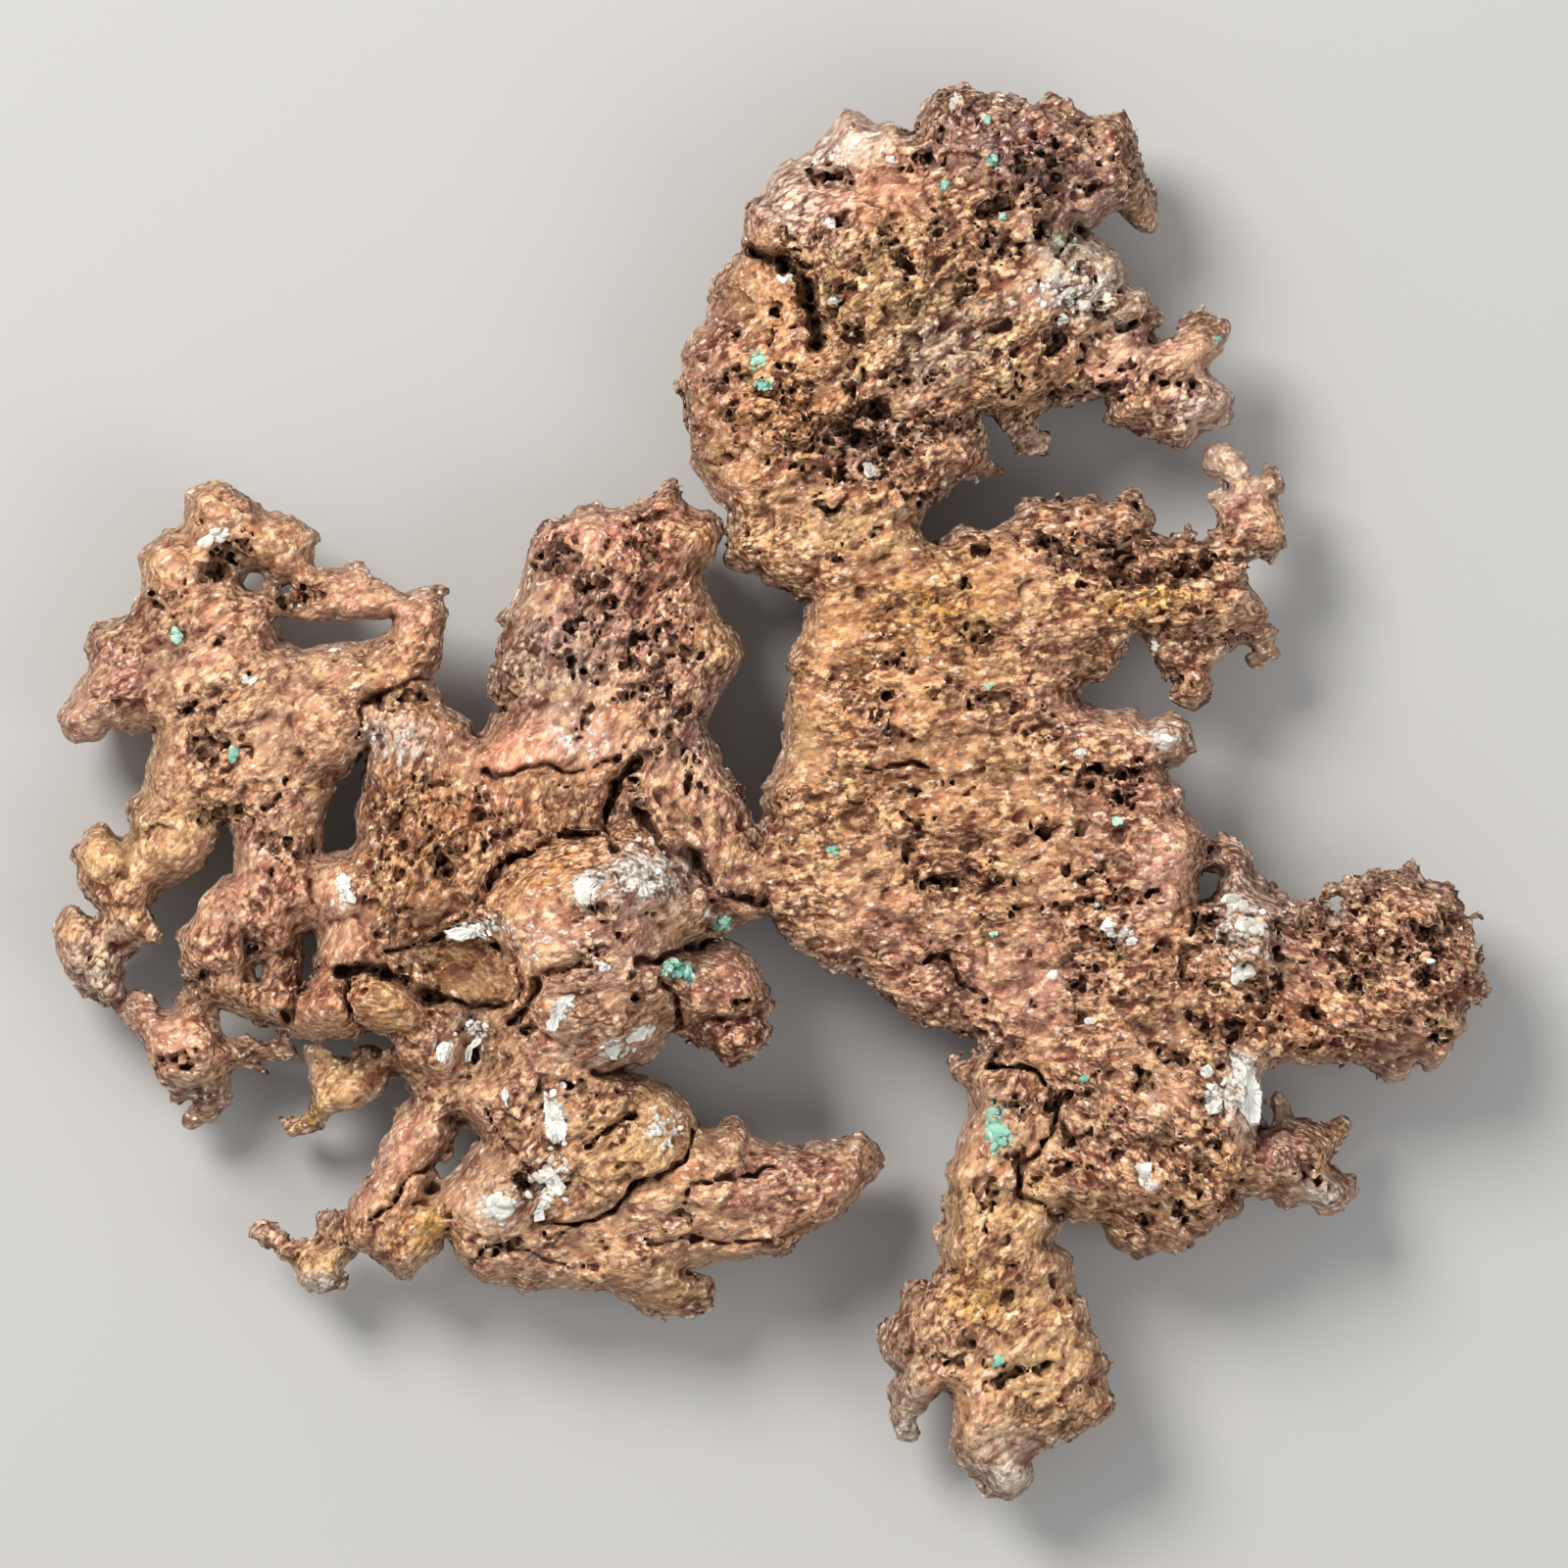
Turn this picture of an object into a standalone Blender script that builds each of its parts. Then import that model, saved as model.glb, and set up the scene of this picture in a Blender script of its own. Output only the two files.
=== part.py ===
"""A native copper nugget: a flat, branching piece of metal with lacy lobes, lying on its lowest lumps.

Plan places are whole tenths of a millimetre on a 160 mm square sheet, x to the right and y down the
sheet. Heights are millimetres above the surface that the nugget lies on. Everything is turned into
metres, with +Z up and the origin under the middle of the nugget, when the mesh is made.

The metal is one piece. It is parted at its main forks by narrow kerfs, so each lobe is its own object.
Pale and green mineral grains sit in pockets of the metal as objects of their own.
"""
import math

import bmesh
import bpy
import numpy as np
from mathutils import Matrix, Vector

# Driving dimensions
PLAN_STEP = 0.0001                 # metres in one step of the plan
PLAN_CENTRE = (786.0, 809.0)       # plan place over the origin
MM = 0.001
KERF = 0.00030                     # width of the parting between lobes, and round each grain
CUT_TOP = 0.040                    # how high the parting walls reach
REACH = 0.100                      # half width of the block that flattens the feet
GROUND_DEPTH = 0.020               # how deep that block and the parting walls go
SLAB_HALF = 0.0008                 # half thickness of the flat blank before it is swelled
BLANK_VOXEL = 0.00060
SKIN_VOXEL = 0.00052
SKIN_FACES = 9600                  # triangles in the whole metal before it is parted
METAL_FACES = 8800                 # triangles in all the lobes together
THINNEST = 0.75                    # mm, half thickness at the very rim
RIM_SHARE = 0.78                   # width of the rounded rim over the half thickness
RIM_LEAST = 4.0                    # plan steps, the narrowest rim
RIM_POWER = 2.4                    # 2 is a round rim, more is a squarer one
TIP_HALF = 0.3                     # mm, half thickness that even the finest tip keeps
SHEET_CELL = 10.0                  # plan steps, cell in which the width of a limb is looked up
SHEET_CELLS = 170                  # cells along one side of the sheet
PIT_STEEPNESS = 1.5                # higher makes a pit's walls steeper and its floor flatter
SHELF_LIP = 6.0                    # plan steps from a shelf's edge down to its foot
SHELF_FADE = 5.0                   # higher ends a shelf more sharply
SHELF_END = 0.3                    # share of a shelf's drop that is left at its ends
UNDER_SWELL = 0.8                  # mm, the shallow waves of the underside
COPPER_ROUGHNESS = 0.55
COPPER_METALLIC = 0.85
GRAIN_ROUGHNESS = 0.45
GRAIN_WOBBLE = 0.10                # how uneven a grain is
GRAIN_SQUARENESS = 0.35            # 0 is a round grain, 1 a block
LIMB_ROUNDNESS = 1.12              # half thickness of a limb over its half width
CRUMB_FACES = 40                   # islands with fewer faces than this are crumbs of a parting cut

# Roughness of the skin: name, size of its knobs and how far they reach, in metres
SKIN_NOISE = (("knobs", 0.0085, 0.0016), ("hackle", 0.0036, 0.0011))

# The outer edge, clockwise on the sheet, in stretches that follow each other
EDGE = {
    "wing_top": [
        (186, 510), (197, 496), (212, 488), (224, 487), (240, 496), (262, 513), (283, 521), (303, 530),
        (322, 544), (323, 562), (325, 580), (357, 578), (374, 580), (390, 590), (418, 604), (445, 599),
        (455, 612), (453, 633), (456, 652), (451, 675), (438, 687), (444, 700), (452, 717), (482, 735),
        (490, 751)],
    "tower": [
        (505, 728), (512, 724), (500, 708), (502, 680), (508, 645), (522, 618), (533, 590), (539, 548),
        (558, 528), (592, 518), (632, 518), (660, 508), (681, 487), (690, 490), (703, 516), (724, 521),
        (737, 540), (735, 560), (733, 568)],
    "head_left": [
        (737, 560), (747, 542), (746, 522), (728, 508), (710, 473), (703, 440), (702, 415), (693, 392),
        (698, 370), (700, 345), (720, 330), (725, 295), (745, 268), (757, 258), (761, 220), (778, 199),
        (789, 179), (815, 155), (843, 132), (860, 107), (880, 112), (897, 125), (912, 121), (936, 138),
        (938, 118), (957, 88), (988, 83), (1010, 99), (1028, 98), (1046, 107), (1075, 98), (1098, 108),
        (1120, 117), (1148, 112), (1160, 137), (1168, 172), (1182, 205), (1185, 225), (1175, 234),
        (1155, 224), (1140, 213), (1125, 225), (1100, 233), (1115, 238), (1130, 250), (1152, 272),
        (1148, 287), (1170, 293), (1186, 321), (1176, 335), (1178, 343), (1200, 341), (1216, 318),
        (1253, 325), (1258, 334), (1246, 362), (1231, 376), (1249, 389), (1261, 401), (1256, 420),
        (1245, 436), (1225, 438), (1213, 457), (1197, 456), (1170, 441), (1140, 434), (1130, 420),
        (1130, 404), (1097, 405), (1075, 412), (1058, 427), (1078, 440), (1067, 459), (1041, 459),
        (1026, 435), (1012, 423), (997, 426), (1008, 450), (1021, 469), (1032, 483), (1013, 489),
        (983, 487), (961, 504), (942, 522), (939, 538), (953, 556)],
    "upper_right_arm": [
        (975, 543), (1010, 540), (1031, 529), (1060, 508), (1090, 510), (1112, 503), (1130, 511),
        (1151, 497), (1162, 503), (1178, 520), (1175, 540), (1200, 548), (1222, 537), (1227, 553),
        (1239, 550), (1244, 532), (1230, 509), (1250, 500), (1247, 489), (1230, 471), (1243, 451),
        (1260, 455), (1277, 476), (1283, 488), (1290, 475), (1313, 487), (1303, 506), (1313, 532),
        (1313, 555), (1297, 568), (1275, 574), (1275, 592), (1297, 620), (1310, 642), (1302, 652),
        (1309, 666), (1287, 683), (1275, 673), (1280, 656), (1264, 657), (1239, 679), (1242, 700),
        (1222, 721), (1193, 708), (1195, 690), (1172, 664), (1163, 647), (1150, 652), (1144, 671),
        (1122, 695), (1102, 711)],
    "right_arm": [
        (1118, 722), (1160, 723), (1172, 734), (1191, 724), (1214, 738), (1221, 765), (1210, 779),
        (1191, 780), (1190, 794), (1208, 811), (1205, 824), (1229, 847), (1232, 869), (1248, 856),
        (1266, 861), (1278, 876), (1276, 892), (1294, 893), (1300, 905), (1295, 914), (1312, 917),
        (1326, 926), (1345, 911), (1354, 901), (1376, 902), (1400, 893), (1430, 890), (1438, 876),
        (1449, 885), (1455, 902), (1480, 900), (1491, 915), (1504, 944), (1510, 962), (1508, 985),
        (1523, 1010), (1494, 1034), (1499, 1050), (1482, 1072), (1466, 1093), (1450, 1082),
        (1425, 1106), (1398, 1088), (1348, 1087), (1316, 1083), (1284, 1096)],
    "lower_right_branch": [
        (1288, 1117), (1289, 1152), (1301, 1142), (1298, 1122), (1310, 1115), (1323, 1144),
        (1355, 1150), (1373, 1137), (1382, 1150), (1362, 1187), (1382, 1208), (1383, 1226),
        (1362, 1243), (1335, 1230), (1315, 1240), (1300, 1225), (1267, 1221), (1262, 1242),
        (1225, 1265), (1200, 1280), (1165, 1285), (1140, 1275), (1125, 1250), (1084, 1243)],
    "foot": [
        (1085, 1255), (1077, 1268), (1096, 1285), (1098, 1322), (1110, 1335), (1120, 1362),
        (1136, 1393), (1128, 1405), (1139, 1435), (1125, 1457), (1085, 1470), (1055, 1495),
        (1060, 1507), (1043, 1532), (1008, 1531), (982, 1498), (969, 1463), (972, 1437), (965, 1424),
        (950, 1437), (935, 1450), (939, 1466), (933, 1481), (913, 1460), (908, 1425), (920, 1401),
        (903, 1390), (896, 1370), (915, 1345), (928, 1313), (953, 1305), (962, 1290), (955, 1258),
        (967, 1245), (963, 1222), (962, 1196), (977, 1170), (993, 1130), (988, 1112), (972, 1094),
        (983, 1080), (1003, 1072), (1014, 1084)],
    "sheet_underside": [
        (1018, 1078), (1000, 1054), (945, 1049), (918, 1028), (882, 995), (840, 984), (812, 967),
        (783, 937), (750, 945), (708, 968)],
    "red_knob_and_blade": [
        (722, 966), (745, 962), (768, 975), (783, 1005), (786, 1025), (783, 1042), (784, 1062),
        (748, 1088), (715, 1072), (685, 1053), (670, 1077), (641, 1096), (662, 1099), (688, 1111),
        (706, 1130), (716, 1150), (730, 1151), (743, 1139), (760, 1146), (776, 1164), (822, 1170),
        (853, 1167), (883, 1157), (899, 1181), (899, 1198), (880, 1218), (857, 1246), (817, 1268),
        (785, 1285), (750, 1290), (713, 1293), (703, 1300), (724, 1307), (733, 1325), (715, 1339),
        (680, 1348), (645, 1333), (600, 1317), (552, 1315), (530, 1326), (505, 1312), (470, 1289),
        (455, 1268)],
    "strut_and_toes": [
        (451, 1279), (430, 1292), (412, 1309), (382, 1288), (362, 1282), (347, 1300), (350, 1320),
        (325, 1326), (300, 1317), (290, 1294), (263, 1275), (253, 1258), (267, 1250), (293, 1266),
        (318, 1266), (323, 1240), (351, 1236), (364, 1212), (386, 1174), (397, 1143), (420, 1124),
        (412, 1098)],
    "prong": [
        (395, 1107), (365, 1133), (330, 1142), (318, 1159), (295, 1163), (280, 1152), (305, 1136),
        (317, 1118), (308, 1078), (318, 1067), (343, 1076), (372, 1072), (397, 1074), (402, 1066),
        (378, 1058), (352, 1063), (305, 1060), (275, 1046), (222, 1032)],
    "curl": [
        (221, 1045), (228, 1060), (248, 1056), (265, 1064), (285, 1060), (300, 1078), (270, 1091),
        (232, 1094), (231, 1120), (222, 1140), (200, 1152), (183, 1145), (197, 1126), (172, 1122),
        (153, 1100), (141, 1066), (116, 1026)],
    "left_limb": [
        (100, 1030), (70, 1007), (50, 960), (49, 948), (60, 925), (68, 921), (88, 936), (94, 930),
        (73, 899), (70, 870), (88, 846), (102, 838), (120, 857), (129, 847), (126, 819), (142, 806),
        (154, 758), (153, 747), (109, 746), (95, 760), (66, 758), (51, 731), (73, 705), (87, 678),
        (85, 652), (93, 637), (130, 626), (143, 603), (137, 566), (168, 540), (186, 532)],
}

# Openings right through the nugget, each a closed outline on the sheet
OPENINGS = {
    "wing_slot": [
        (280, 634), (322, 634), (385, 630), (399, 634), (382, 652), (345, 659), (312, 662), (283, 652)],
    "wing_eye": [(249, 584), (262, 582), (272, 592), (262, 603), (249, 598)],
    "wing_gap": [
        (374, 768), (345, 797), (331, 822), (329, 866), (357, 868), (367, 855), (363, 820), (371, 804)],
    "limb_bay": [
        (229, 841), (236, 858), (235, 890), (207, 906), (193, 938), (179, 957), (183, 985), (196, 1002),
        (173, 1030), (160, 1025), (143, 1011), (123, 1012), (118, 984), (135, 970), (162, 957),
        (152, 929), (172, 903), (208, 884), (224, 850)],
    "knot_gap": [(309, 954), (319, 955), (322, 988), (308, 1002)],
    "strut_gap": [
        (466, 1147), (490, 1163), (472, 1188), (438, 1216), (440, 1192), (460, 1182)],
    "tower_bay": [
        (727, 574), (714, 585), (722, 607), (744, 637), (758, 670), (738, 701), (720, 737), (740, 782),
        (763, 826), (776, 848), (779, 812), (795, 773), (800, 712), (810, 658), (825, 612), (785, 597),
        (760, 580), (737, 573)],
    "arm_hole": [(1229, 889), (1245, 893), (1238, 909), (1226, 917)],
    "leaf_hole": [(1361, 921), (1373, 921), (1368, 940), (1358, 940)],
}

# The large form: place, reach (plan steps), height of the top and of the underside (mm)
FORM = [
    (230, 530, 60, 18, 6), (110, 690, 70, 15, 5), (250, 700, 90, 19.5, 5), (400, 630, 60, 17, 8),
    (150, 860, 60, 16, 4), (62, 960, 40, 12, 4), (95, 1000, 30, 14, 2), (270, 900, 60, 19, 7),
    (220, 960, 40, 20.5, 7), (290, 1010, 40, 19, 6), (331, 1022, 34, 23, 8), (396, 1027, 36, 23, 9),
    (180, 1060, 45, 14.5, 3), (275, 1075, 30, 11, 4), (205, 1135, 30, 10, 3), (355, 1100, 40, 15, 6),
    (295, 1152, 30, 9, 3), (430, 850, 80, 22, 5), (435, 745, 50, 19, 7), (590, 790, 70, 21, 6),
    (560, 600, 90, 19.5, 6), (680, 620, 90, 20.5, 5), (685, 505, 40, 15, 7), (745, 655, 35, 16, 7),
    (690, 760, 50, 20, 6), (600, 965, 80, 28, 4), (690, 955, 45, 24, 6), (615, 1050, 50, 24, 5),
    (742, 1025, 50, 22.5, 8), (470, 1000, 45, 16.5, 7), (475, 1110, 70, 21, 4), (610, 1170, 70, 21.5, 4),
    (510, 1220, 60, 20, 3), (680, 1260, 70, 19.5, 3), (820, 1210, 60, 16, 5), (893, 1185, 30, 12, 6),
    (700, 1325, 50, 13.5, 3), (560, 1295, 50, 16.5, 4), (400, 1190, 50, 18, 7), (310, 1300, 50, 11.5, 3),
    (415, 1262, 40, 17.5, 4), (765, 890, 50, 20, 7), (900, 800, 110, 20, 8), (870, 650, 80, 19, 8),
    (1050, 800, 110, 20.5, 8), (1000, 950, 80, 20, 8), (940, 1010, 50, 17, 9), (1150, 860, 80, 21.5, 7),
    (1200, 750, 40, 16, 8), (1110, 1010, 80, 21, 7), (790, 420, 90, 19.5, 6), (900, 300, 110, 22.5, 4),
    (1010, 190, 100, 22, 4), (850, 140, 50, 15, 7), (1120, 140, 50, 17.5, 5), (1178, 215, 25, 12, 6),
    (1140, 350, 60, 18.5, 6), (1235, 410, 45, 16, 6), (1240, 335, 35, 15, 8), (1060, 445, 25, 13, 8),
    (1015, 480, 25, 12, 8), (735, 320, 50, 15, 7), (930, 450, 70, 20, 7), (1050, 600, 80, 20, 8),
    (1150, 570, 60, 20.5, 6), (1250, 590, 50, 17, 7), (1250, 470, 30, 15, 7), (1300, 490, 20, 13, 8),
    (1295, 545, 35, 16, 6), (1295, 660, 25, 12, 6), (1215, 690, 35, 15, 6), (1110, 680, 40, 16, 8),
    (1262, 880, 40, 17, 7), (1275, 960, 45, 22.5, 7), (1350, 1010, 70, 20, 6), (1430, 990, 70, 20, 4),
    (1495, 960, 40, 16.5, 6), (1513, 1010, 25, 12, 6), (1440, 890, 40, 15, 7), (1425, 1095, 40, 13.5, 4),
    (1293, 903, 15, 12, 7), (1130, 1180, 70, 22, 5), (1215, 1150, 60, 22, 5), (1268, 1110, 35, 23, 9),
    (1170, 1265, 50, 16, 4), (1310, 1190, 40, 18, 6), (1375, 1148, 25, 12, 7), (1360, 1225, 35, 13.5, 5),
    (1308, 1122, 20, 12, 8), (1025, 1150, 60, 19, 7), (1030, 1280, 70, 18, 7), (1000, 1390, 70, 18.5, 5),
    (1085, 1420, 50, 16.5, 5), (1032, 1505, 40, 14, 3), (915, 1365, 35, 13.5, 6), (925, 1450, 30, 12, 4),
]

# Lumps of the top: place, half length and half width (plan steps), turn (degrees), height (mm)
LUMPS = [
    (331, 1022, 31, 35, 0, 2.6), (396, 1027, 38, 32, 0, 2.8), (612, 960, 100, 110, 0, 2.6),
    (640, 890, 70, 45, 20, 1.6), (735, 1000, 45, 38, 0, 1.6), (750, 1062, 34, 24, 0, 1.4),
    (420, 880, 75, 80, 0, 1.6), (345, 905, 26, 34, 0, 1.2), (350, 962, 36, 22, 25, 1.0),
    (190, 1078, 45, 30, 20, 1.2), (420, 1262, 38, 34, 0, 1.6), (508, 1230, 40, 36, 0, 1.4),
    (640, 1185, 75, 42, -30, 1.6), (610, 1115, 55, 26, 10, 1.4), (785, 1215, 110, 32, -10, 1.4),
    (640, 1300, 90, 26, 8, 1.2), (330, 1305, 30, 22, 0, 1.0), (275, 1262, 22, 14, 20, 0.8),
    (230, 520, 45, 28, 15, 1.6), (285, 550, 42, 26, 25, 1.4), (160, 575, 34, 36, 0, 1.4),
    (110, 670, 36, 44, 0, 1.2), (90, 735, 40, 24, 0, 1.2), (230, 700, 60, 40, 0, 1.2),
    (345, 755, 36, 60, 35, 1.6), (180, 860, 55, 28, -15, 1.4), (95, 870, 30, 34, 20, 1.4),
    (68, 960, 24, 46, -15, 1.4), (105, 1000, 24, 26, 0, 1.6), (225, 950, 46, 44, 0, 1.6),
    (285, 1010, 30, 34, 0, 1.4), (400, 625, 60, 24, 0, 1.2), (425, 655, 28, 24, 0, 1.0),
    (535, 765, 60, 26, 5, 1.6), (530, 690, 36, 26, -40, 1.2), (560, 640, 50, 22, -40, 1.2),
    (600, 560, 60, 24, -35, 1.2), (690, 540, 45, 34, 0, 1.4), (740, 655, 28, 40, 0, 1.2),
    (655, 650, 50, 22, -35, 1.0), (720, 800, 34, 44, 60, 1.4), (800, 380, 80, 60, 0, 1.4),
    (770, 225, 26, 50, 25, 1.2), (900, 150, 60, 26, 5, 1.4), (880, 260, 70, 60, 0, 1.6),
    (1000, 130, 70, 30, 15, 1.4), (1120, 150, 46, 36, 0, 1.4), (1115, 215, 26, 22, 0, 1.6),
    (1090, 300, 50, 46, 0, 1.4), (1150, 300, 34, 26, 0, 1.2), (1215, 360, 44, 22, -25, 1.2),
    (1230, 405, 34, 26, 0, 1.4), (970, 400, 70, 34, 20, 1.2), (850, 560, 90, 34, 5, 1.2),
    (1115, 535, 60, 26, 5, 1.4), (1253, 468, 24, 24, 0, 1.4), (1300, 490, 16, 16, 0, 1.0),
    (1215, 700, 28, 24, 0, 1.4), (1225, 615, 40, 24, 5, 1.2), (1190, 755, 34, 26, 0, 1.6),
    (1150, 745, 70, 18, 0, 1.0), (900, 720, 80, 40, 10, 1.0), (1000, 820, 110, 34, 0, 1.0),
    (930, 1015, 70, 22, 30, 1.4), (1190, 860, 46, 70, 0, 1.4), (1256, 885, 26, 32, 0, 1.6),
    (1270, 950, 34, 46, -20, 1.8), (1430, 930, 60, 26, 10, 1.4), (1400, 1020, 60, 30, 10, 1.4),
    (1490, 985, 34, 34, 0, 1.4), (1290, 1050, 40, 24, 0, 1.4), (1270, 1110, 22, 46, -12, 1.6),
    (1190, 1130, 70, 36, 0, 1.4), (1150, 1200, 80, 30, 15, 1.4), (1320, 1180, 36, 30, -30, 1.4),
    (1360, 1225, 30, 20, -20, 1.2), (1065, 1200, 26, 40, 0, 1.6), (1020, 1140, 34, 44, 0, 1.4),
    (1030, 1270, 60, 44, 0, 1.2), (960, 1350, 50, 36, 0, 1.4), (1060, 1370, 60, 50, 0, 1.2),
    (1035, 1500, 44, 34, 0, 1.4), (925, 1430, 24, 44, 10, 1.4), (1110, 1410, 30, 46, -20, 1.0),
]

# Pits and hollows of the top: place, half length and half width (plan steps), turn, depth (mm)
PITS = [
    (232, 572, 32, 15, 35, 5.0), (300, 612, 24, 10, 30, 3.0), (215, 765, 18, 18, 0, 2.2),
    (230, 828, 22, 10, 0, 3.4), (180, 1085, 18, 9, 0, 4.0), (212, 995, 10, 6, 0, 2.4),
    (254, 966, 12, 7, 30, 3.6), (262, 990, 7, 12, 0, 4.4), (290, 860, 26, 14, -35, 2.2),
    (453, 880, 12, 20, 15, 3.4), (420, 712, 26, 9, 8, 2.6), (440, 800, 14, 12, 0, 2.0),
    (570, 570, 34, 18, -20, 1.8), (602, 600, 10, 9, 0, 4.4), (580, 645, 12, 14, 0, 2.2),
    (640, 680, 24, 7, -10, 2.6), (600, 690, 30, 7, -35, 2.0), (660, 560, 22, 14, -60, 2.0),
    (675, 600, 24, 16, 0, 1.8), (685, 665, 30, 8, -15, 2.0), (505, 720, 12, 7, 20, 2.4),
    (648, 795, 9, 18, 20, 4.6), (690, 765, 16, 8, -35, 2.0), (712, 800, 12, 8, 0, 2.0),
    (400, 995, 44, 8, 15, 5.5), (437, 1018, 16, 8, 50, 5.0), (486, 1078, 8, 13, 0, 4.6),
    (535, 1050, 12, 8, -10, 4.6), (590, 1110, 14, 8, 0, 3.0), (540, 1205, 22, 10, 20, 2.6),
    (505, 1272, 16, 6, 10, 2.4), (610, 930, 16, 10, 0, 1.8), (585, 985, 30, 9, 10, 1.8),
    (765, 1018, 12, 8, 0, 1.4), (455, 1262, 6, 18, 0, 4.0),
    (805, 268, 26, 12, 15, 5.5), (828, 295, 12, 26, 10, 5.5), (834, 340, 7, 26, 0, 5.0),
    (793, 324, 6, 9, 0, 4.0), (850, 182, 26, 10, -8, 3.0), (855, 228, 8, 9, 0, 2.4),
    (918, 262, 8, 14, 25, 3.6), (925, 282, 9, 12, 30, 3.6), (985, 292, 9, 16, -30, 3.4),
    (870, 345, 24, 12, -25, 2.8), (740, 392, 16, 9, 0, 2.2), (762, 385, 9, 8, 0, 2.2),
    (870, 395, 7, 22, 0, 3.4), (888, 420, 14, 13, 0, 4.4), (880, 452, 34, 9, -20, 4.4),
    (838, 517, 13, 7, -15, 4.4), (935, 507, 16, 8, 0, 3.6), (830, 480, 40, 9, -10, 2.0),
    (1060, 158, 12, 7, 20, 3.2), (1040, 170, 20, 6, -45, 3.0), (1010, 215, 18, 10, 0, 3.2),
    (1075, 180, 8, 26, 10, 3.4), (1066, 235, 10, 16, 0, 4.4), (1096, 248, 5, 18, 0, 5.0),
    (1105, 195, 40, 5, 8, 2.6), (1025, 255, 16, 10, 0, 3.0), (1074, 350, 12, 17, 0, 5.0),
    (1110, 362, 12, 10, 0, 3.0), (1150, 332, 26, 5, 25, 3.4), (1125, 395, 26, 8, -10, 2.4),
    (1190, 390, 44, 7, -12, 2.0), (965, 112, 13, 11, 0, 2.6), (945, 165, 16, 9, 20, 3.4),
    (998, 562, 10, 9, 0, 3.6), (1062, 550, 30, 12, -25, 3.2), (1092, 572, 16, 8, -35, 3.4),
    (1135, 572, 16, 22, 20, 3.8), (1158, 578, 8, 7, 0, 3.0), (1142, 592, 12, 10, 0, 3.0),
    (1175, 596, 18, 5, 0, 2.2), (1208, 580, 16, 13, 20, 3.2), (1233, 575, 8, 18, 40, 3.0),
    (1180, 640, 22, 7, -5, 2.4), (1202, 697, 11, 10, 0, 4.0), (1270, 650, 12, 6, 0, 2.6),
    (920, 680, 12, 7, 0, 2.2), (1000, 650, 14, 16, 30, 2.0), (1010, 712, 34, 7, -12, 1.8),
    (1070, 742, 20, 16, 0, 2.0), (1086, 785, 13, 7, 0, 3.6), (1113, 783, 9, 6, 0, 3.0),
    (908, 712, 14, 10, 30, 2.0), (910, 745, 20, 5, -25, 2.2), (930, 810, 10, 5, 0, 2.4),
    (930, 840, 10, 5, 0, 2.8), (925, 870, 16, 8, -10, 2.2), (1062, 848, 13, 9, 25, 3.8),
    (985, 900, 44, 6, 0, 2.4), (1138, 812, 20, 6, -32, 3.4), (1155, 788, 14, 10, 0, 2.6),
    (1105, 922, 26, 7, 10, 3.4), (1160, 914, 28, 5, 10, 2.6), (1105, 895, 18, 6, -10, 2.4),
    (1190, 970, 12, 9, 0, 2.6), (1232, 938, 16, 9, 0, 3.2), (1206, 985, 8, 16, -20, 3.8),
    (1300, 970, 9, 15, 20, 4.4), (1240, 955, 18, 8, -20, 2.4), (1218, 1040, 16, 9, -40, 3.4),
    (1258, 1055, 12, 15, 30, 4.2), (1338, 1038, 13, 10, 10, 4.4), (1290, 1040, 40, 5, 0, 1.8),
    (1366, 918, 26, 4, 0, 2.4), (1449, 985, 9, 14, 25, 4.8), (1463, 1020, 10, 8, 0, 3.4),
    (1470, 1056, 9, 8, 0, 3.2), (1400, 1000, 44, 8, 12, 2.2), (1470, 965, 26, 7, -25, 2.0),
    (1360, 1065, 34, 8, 0, 2.4), (1485, 930, 34, 5, 20, 1.8), (1165, 1098, 8, 16, 0, 3.4),
    (1195, 1076, 20, 6, -12, 3.4), (1085, 1120, 30, 8, 35, 3.6), (1095, 1165, 24, 5, 35, 2.8),
    (1095, 1190, 30, 5, 15, 2.6), (1040, 1190, 6, 16, 10, 3.0), (1200, 1229, 7, 7, 0, 3.4),
    (1205, 1247, 5, 4, 0, 2.4), (1262, 1215, 6, 12, 0, 2.8), (1345, 1205, 20, 7, -40, 2.4),
    (1035, 1128, 12, 8, 0, 2.2), (1012, 1232, 4, 16, 0, 1.8), (1035, 1292, 6, 4, 0, 1.8),
    (975, 1388, 30, 5, -5, 2.0), (1035, 1400, 30, 5, 25, 1.8), (1060, 1395, 10, 6, 0, 1.6),
    (990, 1362, 6, 14, -20, 1.4), (1093, 1328, 10, 5, 0, 2.0),
]

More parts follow.
